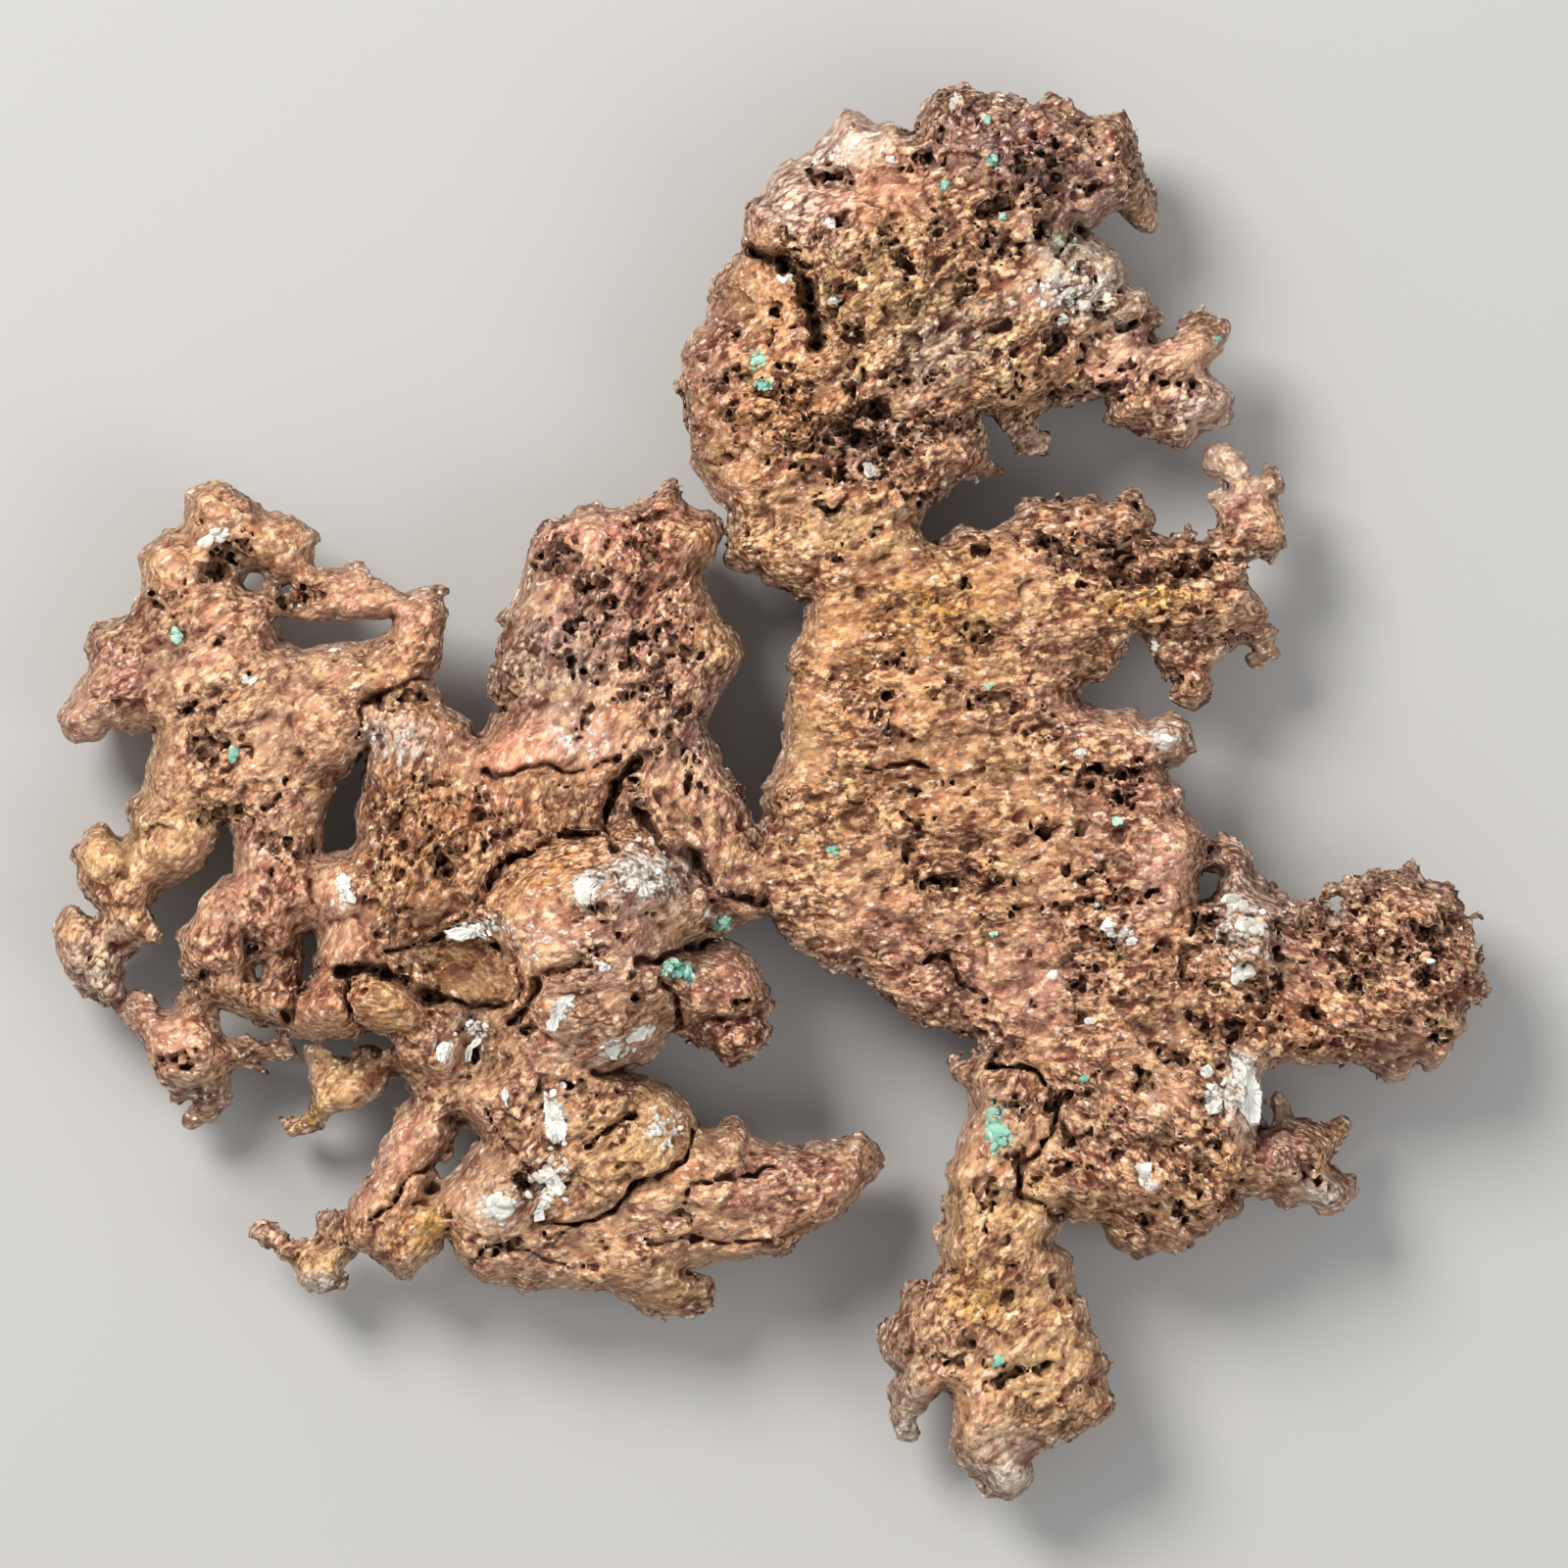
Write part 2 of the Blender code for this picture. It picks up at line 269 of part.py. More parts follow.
# Shelves of the layered metal: an upper edge from one place to another, its drop (mm) and how far
# the lower ground takes to climb back (plan steps). The ground below the edge is on the right of it.
SHELVES = [
    ((1050, 780), (860, 790), 1.3, 50), ((1040, 742), (885, 748), 0.9, 34),
    ((1035, 900), (930, 905), 1.4, 44), ((1010, 1020), (955, 972), 1.6, 40),
    ((1170, 780), (1090, 800), 1.6, 50), ((1080, 640), (960, 660), 0.9, 36),
    ((1045, 560), (800, 565), 0.7, 30), ((1230, 640), (1150, 630), 1.4, 40),
    ((880, 470), (745, 505), 1.2, 40), ((1060, 1140), (1120, 1190), 1.4, 40),
    ((1250, 1180), (1120, 1140), 0.8, 36), ((700, 1180), (568, 1246), 1.8, 50),
    ((830, 610), (750, 575), 1.4, 30), ((640, 1160), (580, 1170), 1.2, 30),
    ((380, 965), (500, 925), 1.8, 50), ((440, 1213), (368, 1254), 1.4, 30),
    ((1440, 920), (1345, 915), 1.4, 34), ((1380, 985), (1460, 1000), 1.2, 34),
    ((300, 812), (345, 842), 1.2, 30), ((560, 850), (640, 842), 1.6, 40),
    ((725, 905), (655, 850), 1.4, 40),
]

# The swells it lies on: place, half length and half width (plan steps), turn (degrees), and how far
# the swell reaches below the plain underside (mm)
FEET = [
    (880, 300, 130, 90, 40, 6.2), (1040, 170, 90, 60, 20, 5.6), (1045, 1400, 80, 70, 0, 7.4),
    (1425, 1000, 80, 70, 0, 7.2), (130, 690, 70, 60, 0, 7.4), (600, 1210, 110, 80, 15, 6.2),
    (150, 870, 50, 36, 10, 6.0), (1200, 1180, 90, 60, 10, 6.0), (560, 620, 60, 90, 20, 7.4),
    (1150, 570, 80, 50, 0, 6.8), (950, 780, 160, 70, 40, 4.2), (440, 800, 70, 80, 0, 3.4),
]

# Partings at the forks: each a line on the sheet that ends in open space or on another parting
PARTINGS = [
    [(708, 498), (722, 512), (738, 523), (742, 541), (736, 564), (733, 594)],
    [(733, 558), (800, 562), (880, 548), (968, 542)],
    [(948, 540), (985, 600), (1040, 660), (1118, 712)],
    [(1243, 840), (1234, 868), (1226, 920), (1214, 985), (1240, 1050), (1266, 1076), (1300, 1106)],
    [(1046, 1092), (1105, 1078), (1165, 1090), (1205, 1070), (1272, 1076)],
    [(984, 1063), (1014, 1083), (1050, 1093), (1078, 1118), (1070, 1160), (1040, 1190), (1052, 1225),
     (1100, 1256)],
    [(768, 803), (776, 850), (782, 890), (780, 962)],
    [(492, 722), (491, 752), (512, 790), (600, 803), (650, 792), (700, 760), (744, 740)],
    [(788, 928), (728, 905), (700, 878), (662, 852), (618, 846), (545, 868), (512, 903), (486, 934)],
    [(498, 918), (462, 945), (405, 967), (388, 982), (355, 989), (304, 991)],
    [(498, 917), (516, 955), (530, 990), (528, 1030), (540, 1055), (575, 1090), (612, 1096),
     (641, 1098), (666, 1090), (702, 1092)],
    [(356, 979), (362, 1020), (368, 1050), (372, 1074)],
    [(228, 856), (240, 841), (262, 836), (300, 838), (348, 852)],
    [(110, 826), (124, 852), (150, 838), (190, 830), (222, 838), (229, 862)],
    [(92, 1048), (117, 1024), (140, 998)],
    [(164, 1016), (180, 1033), (205, 1036), (262, 1050)],
    [(290, 1064), (345, 1069), (375, 1065), (402, 1066), (408, 1085), (408, 1116)],
    [(396, 1072), (406, 1058), (425, 1050), (455, 1027), (500, 1031), (535, 1024)],
    [(396, 1117), (425, 1132), (445, 1142), (482, 1157)],
    [(478, 1150), (468, 1180), (442, 1208), (452, 1235), (457, 1262), (458, 1302)],
    [(452, 1256), (500, 1257), (568, 1249), (612, 1243), (645, 1213), (690, 1185), (708, 1165),
     (726, 1130)],
    [(468, 684), (438, 688), (400, 700), (374, 714), (376, 742), (370, 775), (354, 802)],
    [(348, 852), (330, 866), (316, 878), (311, 895), (312, 920), (316, 940), (315, 1000)],
]

# Each lobe of the metal: a place inside it, and its colour
LOBES = {
    "left_wing": ((250, 700), (0.62, 0.40, 0.25)),
    "left_limb": ((130, 880), (0.60, 0.44, 0.28)),
    "knot_limb": ((260, 920), (0.60, 0.41, 0.30)),
    "curl": ((180, 1058), (0.55, 0.37, 0.28)),
    "tooth_prong": ((350, 1100), (0.60, 0.42, 0.27)),
    "centre_body": ((430, 850), (0.54, 0.34, 0.17)),
    "tower": ((620, 650), (0.58, 0.40, 0.30)),
    "dome": ((620, 960), (0.56, 0.36, 0.25)),
    "shelf_lobe": ((470, 1000), (0.48, 0.31, 0.19)),
    "lower_body": ((480, 1120), (0.57, 0.38, 0.22)),
    "blade": ((760, 1240), (0.52, 0.37, 0.24)),
    "strut": ((400, 1190), (0.58, 0.42, 0.30)),
    "main_sheet": ((950, 800), (0.60, 0.39, 0.22)),
    "head_lobe": ((900, 300), (0.60, 0.42, 0.26)),
    "upper_right_arm": ((1060, 600), (0.62, 0.44, 0.27)),
    "right_arm": ((1360, 1000), (0.56, 0.40, 0.28)),
    "lower_right_branch": ((1150, 1170), (0.58, 0.39, 0.25)),
    "foot": ((1030, 1300), (0.60, 0.43, 0.27)),
}

# Mineral grains: place, half length, half width, half height (mm), turn (degrees), how far the
# middle lies above the metal (mm)
GRAINS = {
    "grain_wedge": (1268, 1108, 3.6, 1.35, 1.5, -70, 0.2),
    "grain_ridge_upper": (1255, 918, 1.7, 1.4, 1.5, 20, 0.3),
    "grain_ridge_middle": (1282, 950, 1.7, 1.5, 1.4, -50, 0.3),
    "grain_ridge_lower": (1268, 990, 1.7, 1.5, 1.4, 80, 0.3),
    "grain_dome": (601, 906, 1.9, 1.2, 1.3, 80, 0.2),
    "grain_shelf": (482, 948, 2.9, 0.95, 1.2, 12, 0.3),
    "grain_tooth": (572, 1140, 2.9, 0.95, 1.2, -78, 0.2),
    "grain_knot": (565, 1205, 2.1, 1.2, 1.3, -50, 0.2),
    "grain_disc": (508, 1228, 1.6, 1.4, 1.1, 0, 0.2),
    "grain_finger": (1196, 758, 2.0, 1.5, 1.3, 30, 0.2),
    "green_grain_knob": (694, 988, 1.5, 1.2, 1.1, 20, 0.1),
    "green_grain_foot": (1016, 1160, 1.3, 1.0, 1.1, 60, 0.1),
}
PALE_COLOUR = (0.86, 0.84, 0.78)
GREEN_COLOUR = (0.36, 0.60, 0.50)


def clear_scene():
    """Removes what the scene holds."""
    for thing in list(bpy.data.objects):
        bpy.data.objects.remove(thing, do_unlink=True)


def to_model(places):
    """Plan places as model x and y, in metres."""
    sheet = np.asarray(places, dtype=float)
    x = (sheet[:, 0] - PLAN_CENTRE[0]) * PLAN_STEP
    y = (PLAN_CENTRE[1] - sheet[:, 1]) * PLAN_STEP
    return np.column_stack((x, y))


def to_plan(points):
    """Model x and y as plan places."""
    x = points[:, 0] / PLAN_STEP + PLAN_CENTRE[0]
    y = PLAN_CENTRE[1] - points[:, 1] / PLAN_STEP
    return np.column_stack((x, y))


def link(name, mesh_or_curve):
    """A new object in the scene."""
    thing = bpy.data.objects.new(name, mesh_or_curve)
    bpy.context.scene.collection.objects.link(thing)
    return thing


def remove(thing):
    """Takes a helper object out of the scene."""
    bpy.data.objects.remove(thing, do_unlink=True)


def baked(thing, name):
    """A new plain mesh of the object with its modifiers carried out."""
    graph = bpy.context.evaluated_depsgraph_get()
    graph.update()
    mesh = bpy.data.meshes.new_from_object(thing.evaluated_get(graph))
    mesh.name = name
    return mesh


def outlines():
    """The outer edge and the openings, each as one closed list of plan places."""
    outer = [place for stretch in EDGE.values() for place in stretch]
    return [outer] + list(OPENINGS.values())


def flat_blank():
    """A thin flat slab with the nugget's outline and openings."""
    curve = bpy.data.curves.new("blank_outline", "CURVE")
    curve.dimensions = "2D"
    curve.fill_mode = "BOTH"
    curve.extrude = SLAB_HALF
    for places in outlines():
        spline = curve.splines.new("POLY")
        spline.points.add(len(places) - 1)
        for point, (x, y) in zip(spline.points, to_model(places)):
            point.co = (x, y, 0.0, 1.0)
        spline.use_cyclic_u = True
    outline = link("blank_outline", curve)
    slab = link("blank", baked(outline, "blank"))
    even = slab.modifiers.new("even_skin", "REMESH")
    even.mode = "VOXEL"
    even.voxel_size = BLANK_VOXEL
    mesh = baked(slab, "blank_skin")
    remove(outline)
    remove(slab)
    return mesh


def edge_distance(places):
    """How far each plan place lies from the nearest outline, in plan steps."""
    nearest = np.full(len(places), 1e9)
    for loop in outlines():
        start = np.asarray(loop, dtype=float)
        end = np.roll(start, -1, axis=0)
        for a, b in zip(start, end):
            along = b - a
            share = ((places - a) @ along) / max(along @ along, 1e-9)
            foot = a + np.clip(share, 0.0, 1.0)[:, None] * along
            nearest = np.minimum(nearest, np.hypot(*(places - foot).T))
    return nearest


def limb_half_width(places, depth):
    """Half the width of the limb or lobe that each place lies in, in plan steps.

    It is the largest circle inside the outline that covers the place, smoothed a little.
    """
    grid = np.zeros((SHEET_CELLS, SHEET_CELLS))
    column = np.clip((places[:, 0] / SHEET_CELL).astype(int), 0, SHEET_CELLS - 1)
    row = np.clip((places[:, 1] / SHEET_CELL).astype(int), 0, SHEET_CELLS - 1)
    np.maximum.at(grid, (row, column), depth)
    widest = grid.copy()
    rows, columns = np.mgrid[0:SHEET_CELLS, 0:SHEET_CELLS]
    for r, c in zip(*np.nonzero(grid > SHEET_CELL)):
        reach = grid[r, c] / SHEET_CELL
        low_r, high_r = max(0, int(r - reach)), int(r + reach) + 2
        low_c, high_c = max(0, int(c - reach)), int(c + reach) + 2
        block = (slice(low_r, high_r), slice(low_c, high_c))
        inside = (rows[block] - r) ** 2 + (columns[block] - c) ** 2 <= reach ** 2
        widest[block] = np.where(inside, np.maximum(widest[block], grid[r, c]), widest[block])
    for _ in range(3):
        near = [np.roll(np.roll(widest, i, 0), j, 1) for i in (-1, 0, 1) for j in (-1, 0, 1)]
        present = [(layer > 0).astype(float) for layer in near]
        widest = np.where(widest > 0, sum(near) / np.maximum(sum(present), 1.0), 0.0)
    return np.maximum(widest[row, column], depth)


def oval(places, x, y, half_length, half_width, turn):
    """Squared distance from an oval's middle: 1 on its rim. The turn is anticlockwise."""
    angle = math.radians(turn)
    dx = places[:, 0] - x
    dy = -(places[:, 1] - y)
    along = dx * math.cos(angle) + dy * math.sin(angle)
    across = -dx * math.sin(angle) + dy * math.cos(angle)
    return (along / half_length) ** 2 + (across / half_width) ** 2


def large_form(places):
    """Heights of the top and the underside, in mm, blended between the places of FORM."""
    total = np.full(len(places), 1e-12)
    top = total * FORM[0][3]
    under = total * FORM[0][4]
    for x, y, reach, high, low in FORM:
        weight = np.exp(-((places[:, 0] - x) ** 2 + (places[:, 1] - y) ** 2) / reach ** 2)
        total = total + weight
        top = top + weight * high
        under = under + weight * low
    return top / total, under / total


def top_relief(places):
    """What lumps, pits and shelves add to the top, in mm."""
    relief = np.zeros(len(places))
    for x, y, half_length, half_width, turn, height in LUMPS:
        q = oval(places, x, y, half_length, half_width, turn)
        relief += height * np.sqrt(np.clip(1.0 - q, 0.0, 1.0))
    for x, y, half_length, half_width, turn, depth in PITS:
        q = oval(places, x, y, half_length, half_width, turn)
        relief -= depth * np.exp(-q ** PIT_STEEPNESS)
    for start, end, drop, reach in SHELVES:
        a = np.array(start, dtype=float)
        along = np.array(end, dtype=float) - a
        length = math.hypot(*along)
        share = ((places - a) @ along) / length ** 2
        side = ((places[:, 0] - a[0]) * along[1] - (places[:, 1] - a[1]) * along[0]) / length
        fade = np.clip(np.minimum(share, 1.0 - share) * SHELF_FADE + SHELF_END, 0.0, 1.0)
        below = np.clip(side / SHELF_LIP, 0.0, 1.0) * np.exp(-np.clip(side, 0.0, None) / reach)
        relief -= drop * fade * below
    return relief


def under_relief(places):
    """What the feet and shallow swells take from or add to the underside, in mm."""
    swell = np.sin(places[:, 0] / 31.0 + 1.3) * np.sin(places[:, 1] / 37.0 + 0.4)
    swell = swell + 0.6 * np.sin(places[:, 0] / 17.0 + places[:, 1] / 23.0)
    relief = UNDER_SWELL * swell
    for x, y, half_length, half_width, turn, depth in FEET:
        relief -= depth * np.exp(-1.4 * oval(places, x, y, half_length, half_width, turn))
    return relief


def swelled(mesh):
    """The flat blank, swelled to the nugget's rounded lobes and limbs."""
    count = len(mesh.vertices)
    points = np.empty(count * 3, dtype=np.float32)
    mesh.vertices.foreach_get("co", points)
    points = points.reshape(count, 3).astype(float)
    places = to_plan(points)
    depth = edge_distance(places)
    width = limb_half_width(places, depth)
    top, under = large_form(places)
    relief = top_relief(places)
    below = under_relief(places)
    middle = (top + under) / 2.0
    half = np.minimum((top - under) / 2.0, LIMB_ROUNDNESS * width * PLAN_STEP / MM + TIP_HALF)
    rim = np.minimum(width, half * MM / PLAN_STEP * RIM_SHARE + RIM_LEAST)
    inward = 1.0 - np.clip(depth / rim, 0.0, 1.0)
    rise = np.clip(1.0 - inward ** RIM_POWER, 0.0, 1.0) ** (1.0 / RIM_POWER)
    up = middle + np.maximum(half * rise + relief * rise, THINNEST)
    down = middle - np.maximum(half * rise - below * rise, THINNEST)
    side = np.clip(points[:, 2] / SLAB_HALF, -1.0, 1.0)
    height = np.where(side >= 0, middle + (up - middle) * side, middle + (middle - down) * side)
    points[:, 2] = height * MM
    mesh.vertices.foreach_set("co", points.astype(np.float32).ravel())
    mesh.update()
    return mesh


def skinned_metal():
    """The whole metal as one closed, knobbly skin of few triangles."""
    metal = link("metal", swelled(flat_blank()))
    fuse = metal.modifiers.new("fuse", "REMESH")
    fuse.mode = "VOXEL"
    fuse.voxel_size = SKIN_VOXEL
    for name, size, reach in SKIN_NOISE:
        rough = metal.modifiers.new(name, "DISPLACE")
        rough.texture = bpy.data.textures.new(name, "CLOUDS")
        rough.texture.noise_scale = size
        rough.texture_coords = "LOCAL"
        rough.strength = reach
        rough.mid_level = 0.5
    heal = metal.modifiers.new("heal", "REMESH")
    heal.mode = "VOXEL"
    heal.voxel_size = SKIN_VOXEL
    mesh = biggest_island(baked(metal, "metal_skin"))
    remove(metal)
    return thinned(link("metal", mesh), SKIN_FACES / count_triangles(mesh))


def count_triangles(mesh):
    """How many triangles the faces of a mesh make."""
    return sum(len(face.vertices) - 2 for face in mesh.polygons)


def thinned(thing, share):
    """The thing with only a share of its triangles, as a plain mesh."""
    fewer = thing.modifiers.new("fewer", "DECIMATE")
    fewer.ratio = min(share, 1.0)
    fewer.use_collapse_triangulate = True
    mesh = baked(thing, thing.name)
    thing.modifiers.clear()
    thing.data = mesh
    return thing


def islands(work):
    """The separate shells of a bmesh, as lists of faces."""
    left = set(work.faces)
    found = []
    while left:
        stack = [next(iter(left))]
        left.discard(stack[0])
        shell = []
        while stack:
            face = stack.pop()
            shell.append(face)
            for edge in face.edges:
                for other in edge.link_faces:
                    if other in left:
                        left.discard(other)
                        stack.append(other)
        found.append(shell)
    return found


def biggest_island(mesh):
    """The mesh with only its largest shell, so no sealed bubble or crumb is left."""
    work = bmesh.new()
    work.from_mesh(mesh)
    shells = sorted(islands(work), key=len)
    loose = [face for shell in shells[:-1] for face in shell]
    bmesh.ops.delete(work, geom=loose, context="FACES")
    work.to_mesh(mesh)
    work.free()
    return mesh


def cut(thing, cutter, operation="DIFFERENCE"):
    """Cuts a thing with a cutter and keeps the result as its plain mesh."""
    cutter.hide_render = True
    cutter.display_type = "WIRE"
    saw = thing.modifiers.new("saw", "BOOLEAN")
    saw.operation = operation
    saw.solver = "EXACT"
    saw.object = cutter
    mesh = baked(thing, thing.name)
    thing.modifiers.clear()
    thing.data = mesh
    remove(cutter)


def block(name, low, high):
    """A plain box between two corners."""
    mesh = bpy.data.meshes.new(name)
    work = bmesh.new()
    bmesh.ops.create_cube(work, size=1.0)
    size = Vector(high) - Vector(low)
    bmesh.ops.scale(work, vec=size, verts=work.verts)
    bmesh.ops.translate(work, vec=(Vector(high) + Vector(low)) / 2.0, verts=work.verts)
    work.to_mesh(mesh)
    work.free()
    return link(name, mesh)


def parting_wall(places):
    """A thin upright wall along a line on the sheet."""
    line = to_model(places)
    steps = np.diff(line, axis=0)
    steps = steps / np.hypot(steps[:, 0], steps[:, 1])[:, None]
    normals = np.column_stack((-steps[:, 1], steps[:, 0]))
    corner = np.vstack((normals[:1], normals[:-1] + normals[1:], normals[-1:]))
    scale = 2.0 / np.maximum((corner ** 2).sum(axis=1), 0.5)
    scale[[0, -1]] = 1.0
    offset = corner * scale[:, None] * KERF / 2.0
    ring = np.vstack((line + offset, (line - offset)[::-1]))
    mesh = bpy.data.meshes.new("parting_wall")
    work = bmesh.new()
    floor = work.faces.new([work.verts.new((x, y, -GROUND_DEPTH)) for x, y in ring])
    lid = bmesh.ops.extrude_face_region(work, geom=[floor])
    risen = [item for item in lid["geom"] if isinstance(item, bmesh.types.BMVert)]
    bmesh.ops.translate(work, vec=(0.0, 0.0, CUT_TOP + GROUND_DEPTH), verts=risen)
    bmesh.ops.recalc_face_normals(work, faces=work.faces)
    work.to_mesh(mesh)
    work.free()
    return link("parting_wall", mesh)


def grain_mesh(name, spec, extra):
    """A faceted pebble for a grain, or its pocket when extra is the gap round it."""
    x, y, half_length, half_width, half_height, turn, _ = spec
    mesh = bpy.data.meshes.new(name)
    work = bmesh.new()
    bmesh.ops.create_icosphere(work, subdivisions=2, radius=1.0)
    for vert in work.verts:
        wobble = 1.0 + GRAIN_WOBBLE * math.sin(5.0 * vert.co.x + x) * math.cos(4.0 * vert.co.y + y)
        flat = 1.0 / max(abs(vert.co.x), abs(vert.co.y), abs(vert.co.z)) ** GRAIN_SQUARENESS
        vert.co = vert.co * wobble * flat
    size = Vector((half_length * MM + extra, half_width * MM + extra, half_height * MM + extra))
    bmesh.ops.scale(work, vec=size, verts=work.verts)
    spin = Matrix.Rotation(math.radians(turn), 3, "Z")
    bmesh.ops.rotate(work, cent=(0.0, 0.0, 0.0), matrix=spin, verts=work.verts)
    work.to_mesh(mesh)
    work.free()
    return mesh


def top_of(thing, x, y):
    """Height of the thing's top surface at a model place."""
    hit, spot, _, _ = thing.ray_cast(Vector((x, y, CUT_TOP)), Vector((0.0, 0.0, -1.0)))
    return spot.z if hit else 0.0


def material(name, colour, roughness, metallic):
    """A plain finish."""
    finish = bpy.data.materials.new(name)
    finish.use_nodes = True
    shader = finish.node_tree.nodes["Principled BSDF"]
    shader.inputs["Base Color"].default_value = (*colour, 1.0)
    shader.inputs["Roughness"].default_value = roughness
    shader.inputs["Metallic"].default_value = metallic
    finish.diffuse_color = (*colour, 1.0)
    return finish


def seat_grains(metal):
    """The mineral grains, each in its own pocket of the metal."""
    pale = material("pale_mineral", PALE_COLOUR, GRAIN_ROUGHNESS, 0.0)
    green = material("green_mineral", GREEN_COLOUR, GRAIN_ROUGHNESS, 0.0)
    seats = {}
    for name, spec in GRAINS.items():
        (x, y), = to_model([spec[:2]])
        seats[name] = Vector((x, y, top_of(metal, x, y) + spec[6] * MM))
    for name, spec in GRAINS.items():
        pocket = link("pocket", grain_mesh("pocket", spec, KERF))
        pocket.location = seats[name]
        cut(metal, pocket)
        grain = link(name, grain_mesh(name, spec, 0.0))
        grain.location = seats[name]
        grain.data.materials.append(green if name.startswith("green") else pale)


def part_lobes(metal):
    """The metal parted at its forks, one object for each lobe."""
    for places in PARTINGS:
        cut(metal, parting_wall(places))
    work = bmesh.new()
    work.from_mesh(metal.data)
    shells = [shell for shell in islands(work) if len(shell) > CRUMB_FACES]
    share = METAL_FACES / sum(len(face.verts) - 2 for shell in shells for face in shell)
    middles = {name: to_model([place])[0] for name, (place, _) in LOBES.items()}
    for name, (_, colour) in LOBES.items():
        spot = middles[name]
        shell = min(shells, key=lambda faces: min(
            math.hypot(face.calc_center_median().x - spot[0], face.calc_center_median().y - spot[1])
            for face in faces))
        shells.remove(shell)
        lobe = thinned(link(name, shell_mesh(name, shell)), share)
        if min(vert.co.z for vert in lobe.data.vertices) < 0.0:
            cut(lobe, block("ground", (-REACH, -REACH, -GROUND_DEPTH), (REACH, REACH, 0.0)))
        finish = material(name + "_copper", colour, COPPER_ROUGHNESS, COPPER_METALLIC)
        lobe.data.materials.append(finish)
    work.free()
    remove(metal)


def shell_mesh(name, shell):
    """A mesh of one shell's faces."""
    work = bmesh.new()
    copies = {}
    for face in shell:
        corners = []
        for vert in face.verts:
            if vert not in copies:
                copies[vert] = work.verts.new(vert.co)
            corners.append(copies[vert])
        work.faces.new(corners)
    bmesh.ops.dissolve_degenerate(work, dist=0.00002, edges=work.edges)
    bmesh.ops.triangulate(work, faces=work.faces)
    mesh = bpy.data.meshes.new(name)
    work.to_mesh(mesh)
    work.free()
    return mesh


def main():
    """Builds the nugget."""
    clear_scene()
    metal = skinned_metal()
    seat_grains(metal)
    part_lobes(metal)


main()
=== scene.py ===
"""A native copper nugget: one flat, branching piece of metal with white and green mineral grains in it.

The skin is worked out as a volume: a drawn outline and its openings are swelled to rounded
lobes, then lumps, ledges, pits, cracks and pores are set in it by place, and the skin is meshed and parted
by lobe. Places are on a plan of 0.1 mm steps, x to the right and y towards the near side.
"""

import math

import bmesh
import bpy
import numpy as np
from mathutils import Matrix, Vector
from mathutils.bvhtree import BVHTree


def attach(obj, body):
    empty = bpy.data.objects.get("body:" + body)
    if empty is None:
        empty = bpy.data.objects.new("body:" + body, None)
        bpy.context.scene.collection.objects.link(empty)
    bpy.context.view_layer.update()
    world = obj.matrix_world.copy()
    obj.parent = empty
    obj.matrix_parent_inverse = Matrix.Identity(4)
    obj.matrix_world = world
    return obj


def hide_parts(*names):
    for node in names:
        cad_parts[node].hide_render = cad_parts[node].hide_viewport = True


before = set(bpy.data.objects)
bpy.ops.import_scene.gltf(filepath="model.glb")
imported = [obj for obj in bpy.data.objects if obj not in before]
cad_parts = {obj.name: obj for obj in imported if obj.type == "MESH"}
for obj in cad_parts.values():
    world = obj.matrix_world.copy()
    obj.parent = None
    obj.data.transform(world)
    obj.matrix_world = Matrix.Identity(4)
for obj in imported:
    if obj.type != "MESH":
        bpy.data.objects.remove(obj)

SEED = 41

# The plan, in steps of 0.1 mm, with the place of the origin on it, and the grid over it, in mm
STEP_MM = 0.1
PLAN_X = 786.0
PLAN_Y = 809.0
PLAN_LOW_X = 34.0
PLAN_HIGH_X = 1540.0
PLAN_LOW_Y = 66.0
PLAN_HIGH_Y = 1552.0
CELL = 0.30
Z_LOW = -0.8
Z_HIGH = 34.0
TINY = 1e-6

# How many places noise is worked out for at a time
PART_LENGTH = 32768

# How far distances are worked out: in plan steps in from the outline, then in mm
EDGE_REACH = 130.0
COLUMN_REACH = 2.2
FAR = 6.0
KNOB_BAND = 2.2
FLAKE_BAND = 1.3

# Limbs and rims: a limb's thickness to its width, how squarely a rim turns, and its least sizes in mm
LIMB_ROUNDNESS = 1.12
WIDTH_CELL = 1.0
WIDTH_BLUR = 0.9
TIP_HALF = 0.3
RIM_SHARE = 0.78
RIM_LEAST = 0.4
RIM_POWER = 2.4

# Shelves, in plan steps and shares, and the underside: the height of its swell and its long and short waves
SHELF_LIP = 6.0
SHELF_FADE = 5.0
SHELF_END = 0.3
UNDER_SWELL = 0.8
LONG_WAVES = (31.0, 37.0)
SHORT_WAVES = (17.0, 23.0)
SHORT_WAVE_SHARE = 0.6
FOOT_STEEPNESS = 1.4

# Unevenness over the plan, as layers of noise, each a rise and a size in mm
WARP = ((9.0, 4.0), (4.0, 1.5))
RAGGED = ((0.5, 4.5), (0.4, 1.6))
RAGGED_RANGE = (0.3, 2.0)
PATCHES = ((1.0, 7.0), (0.6, 3.0))
PATCHY_RANGE = (0.45, 1.5)
GAPE = ((0.8, 3.0),)
GAPE_RANGE = (0.55, 1.6)

# Ledges along the run of the metal: size and length in mm, and share of the height
LEDGES = ((3.4, 4.5, 0.58), (1.5, 2.5, 0.44))
LEDGE_SAMPLES = 11
LEDGE_LAYER = 11
LEDGE_SPREAD = 1.6
RUN_STEP = math.radians(30.0)

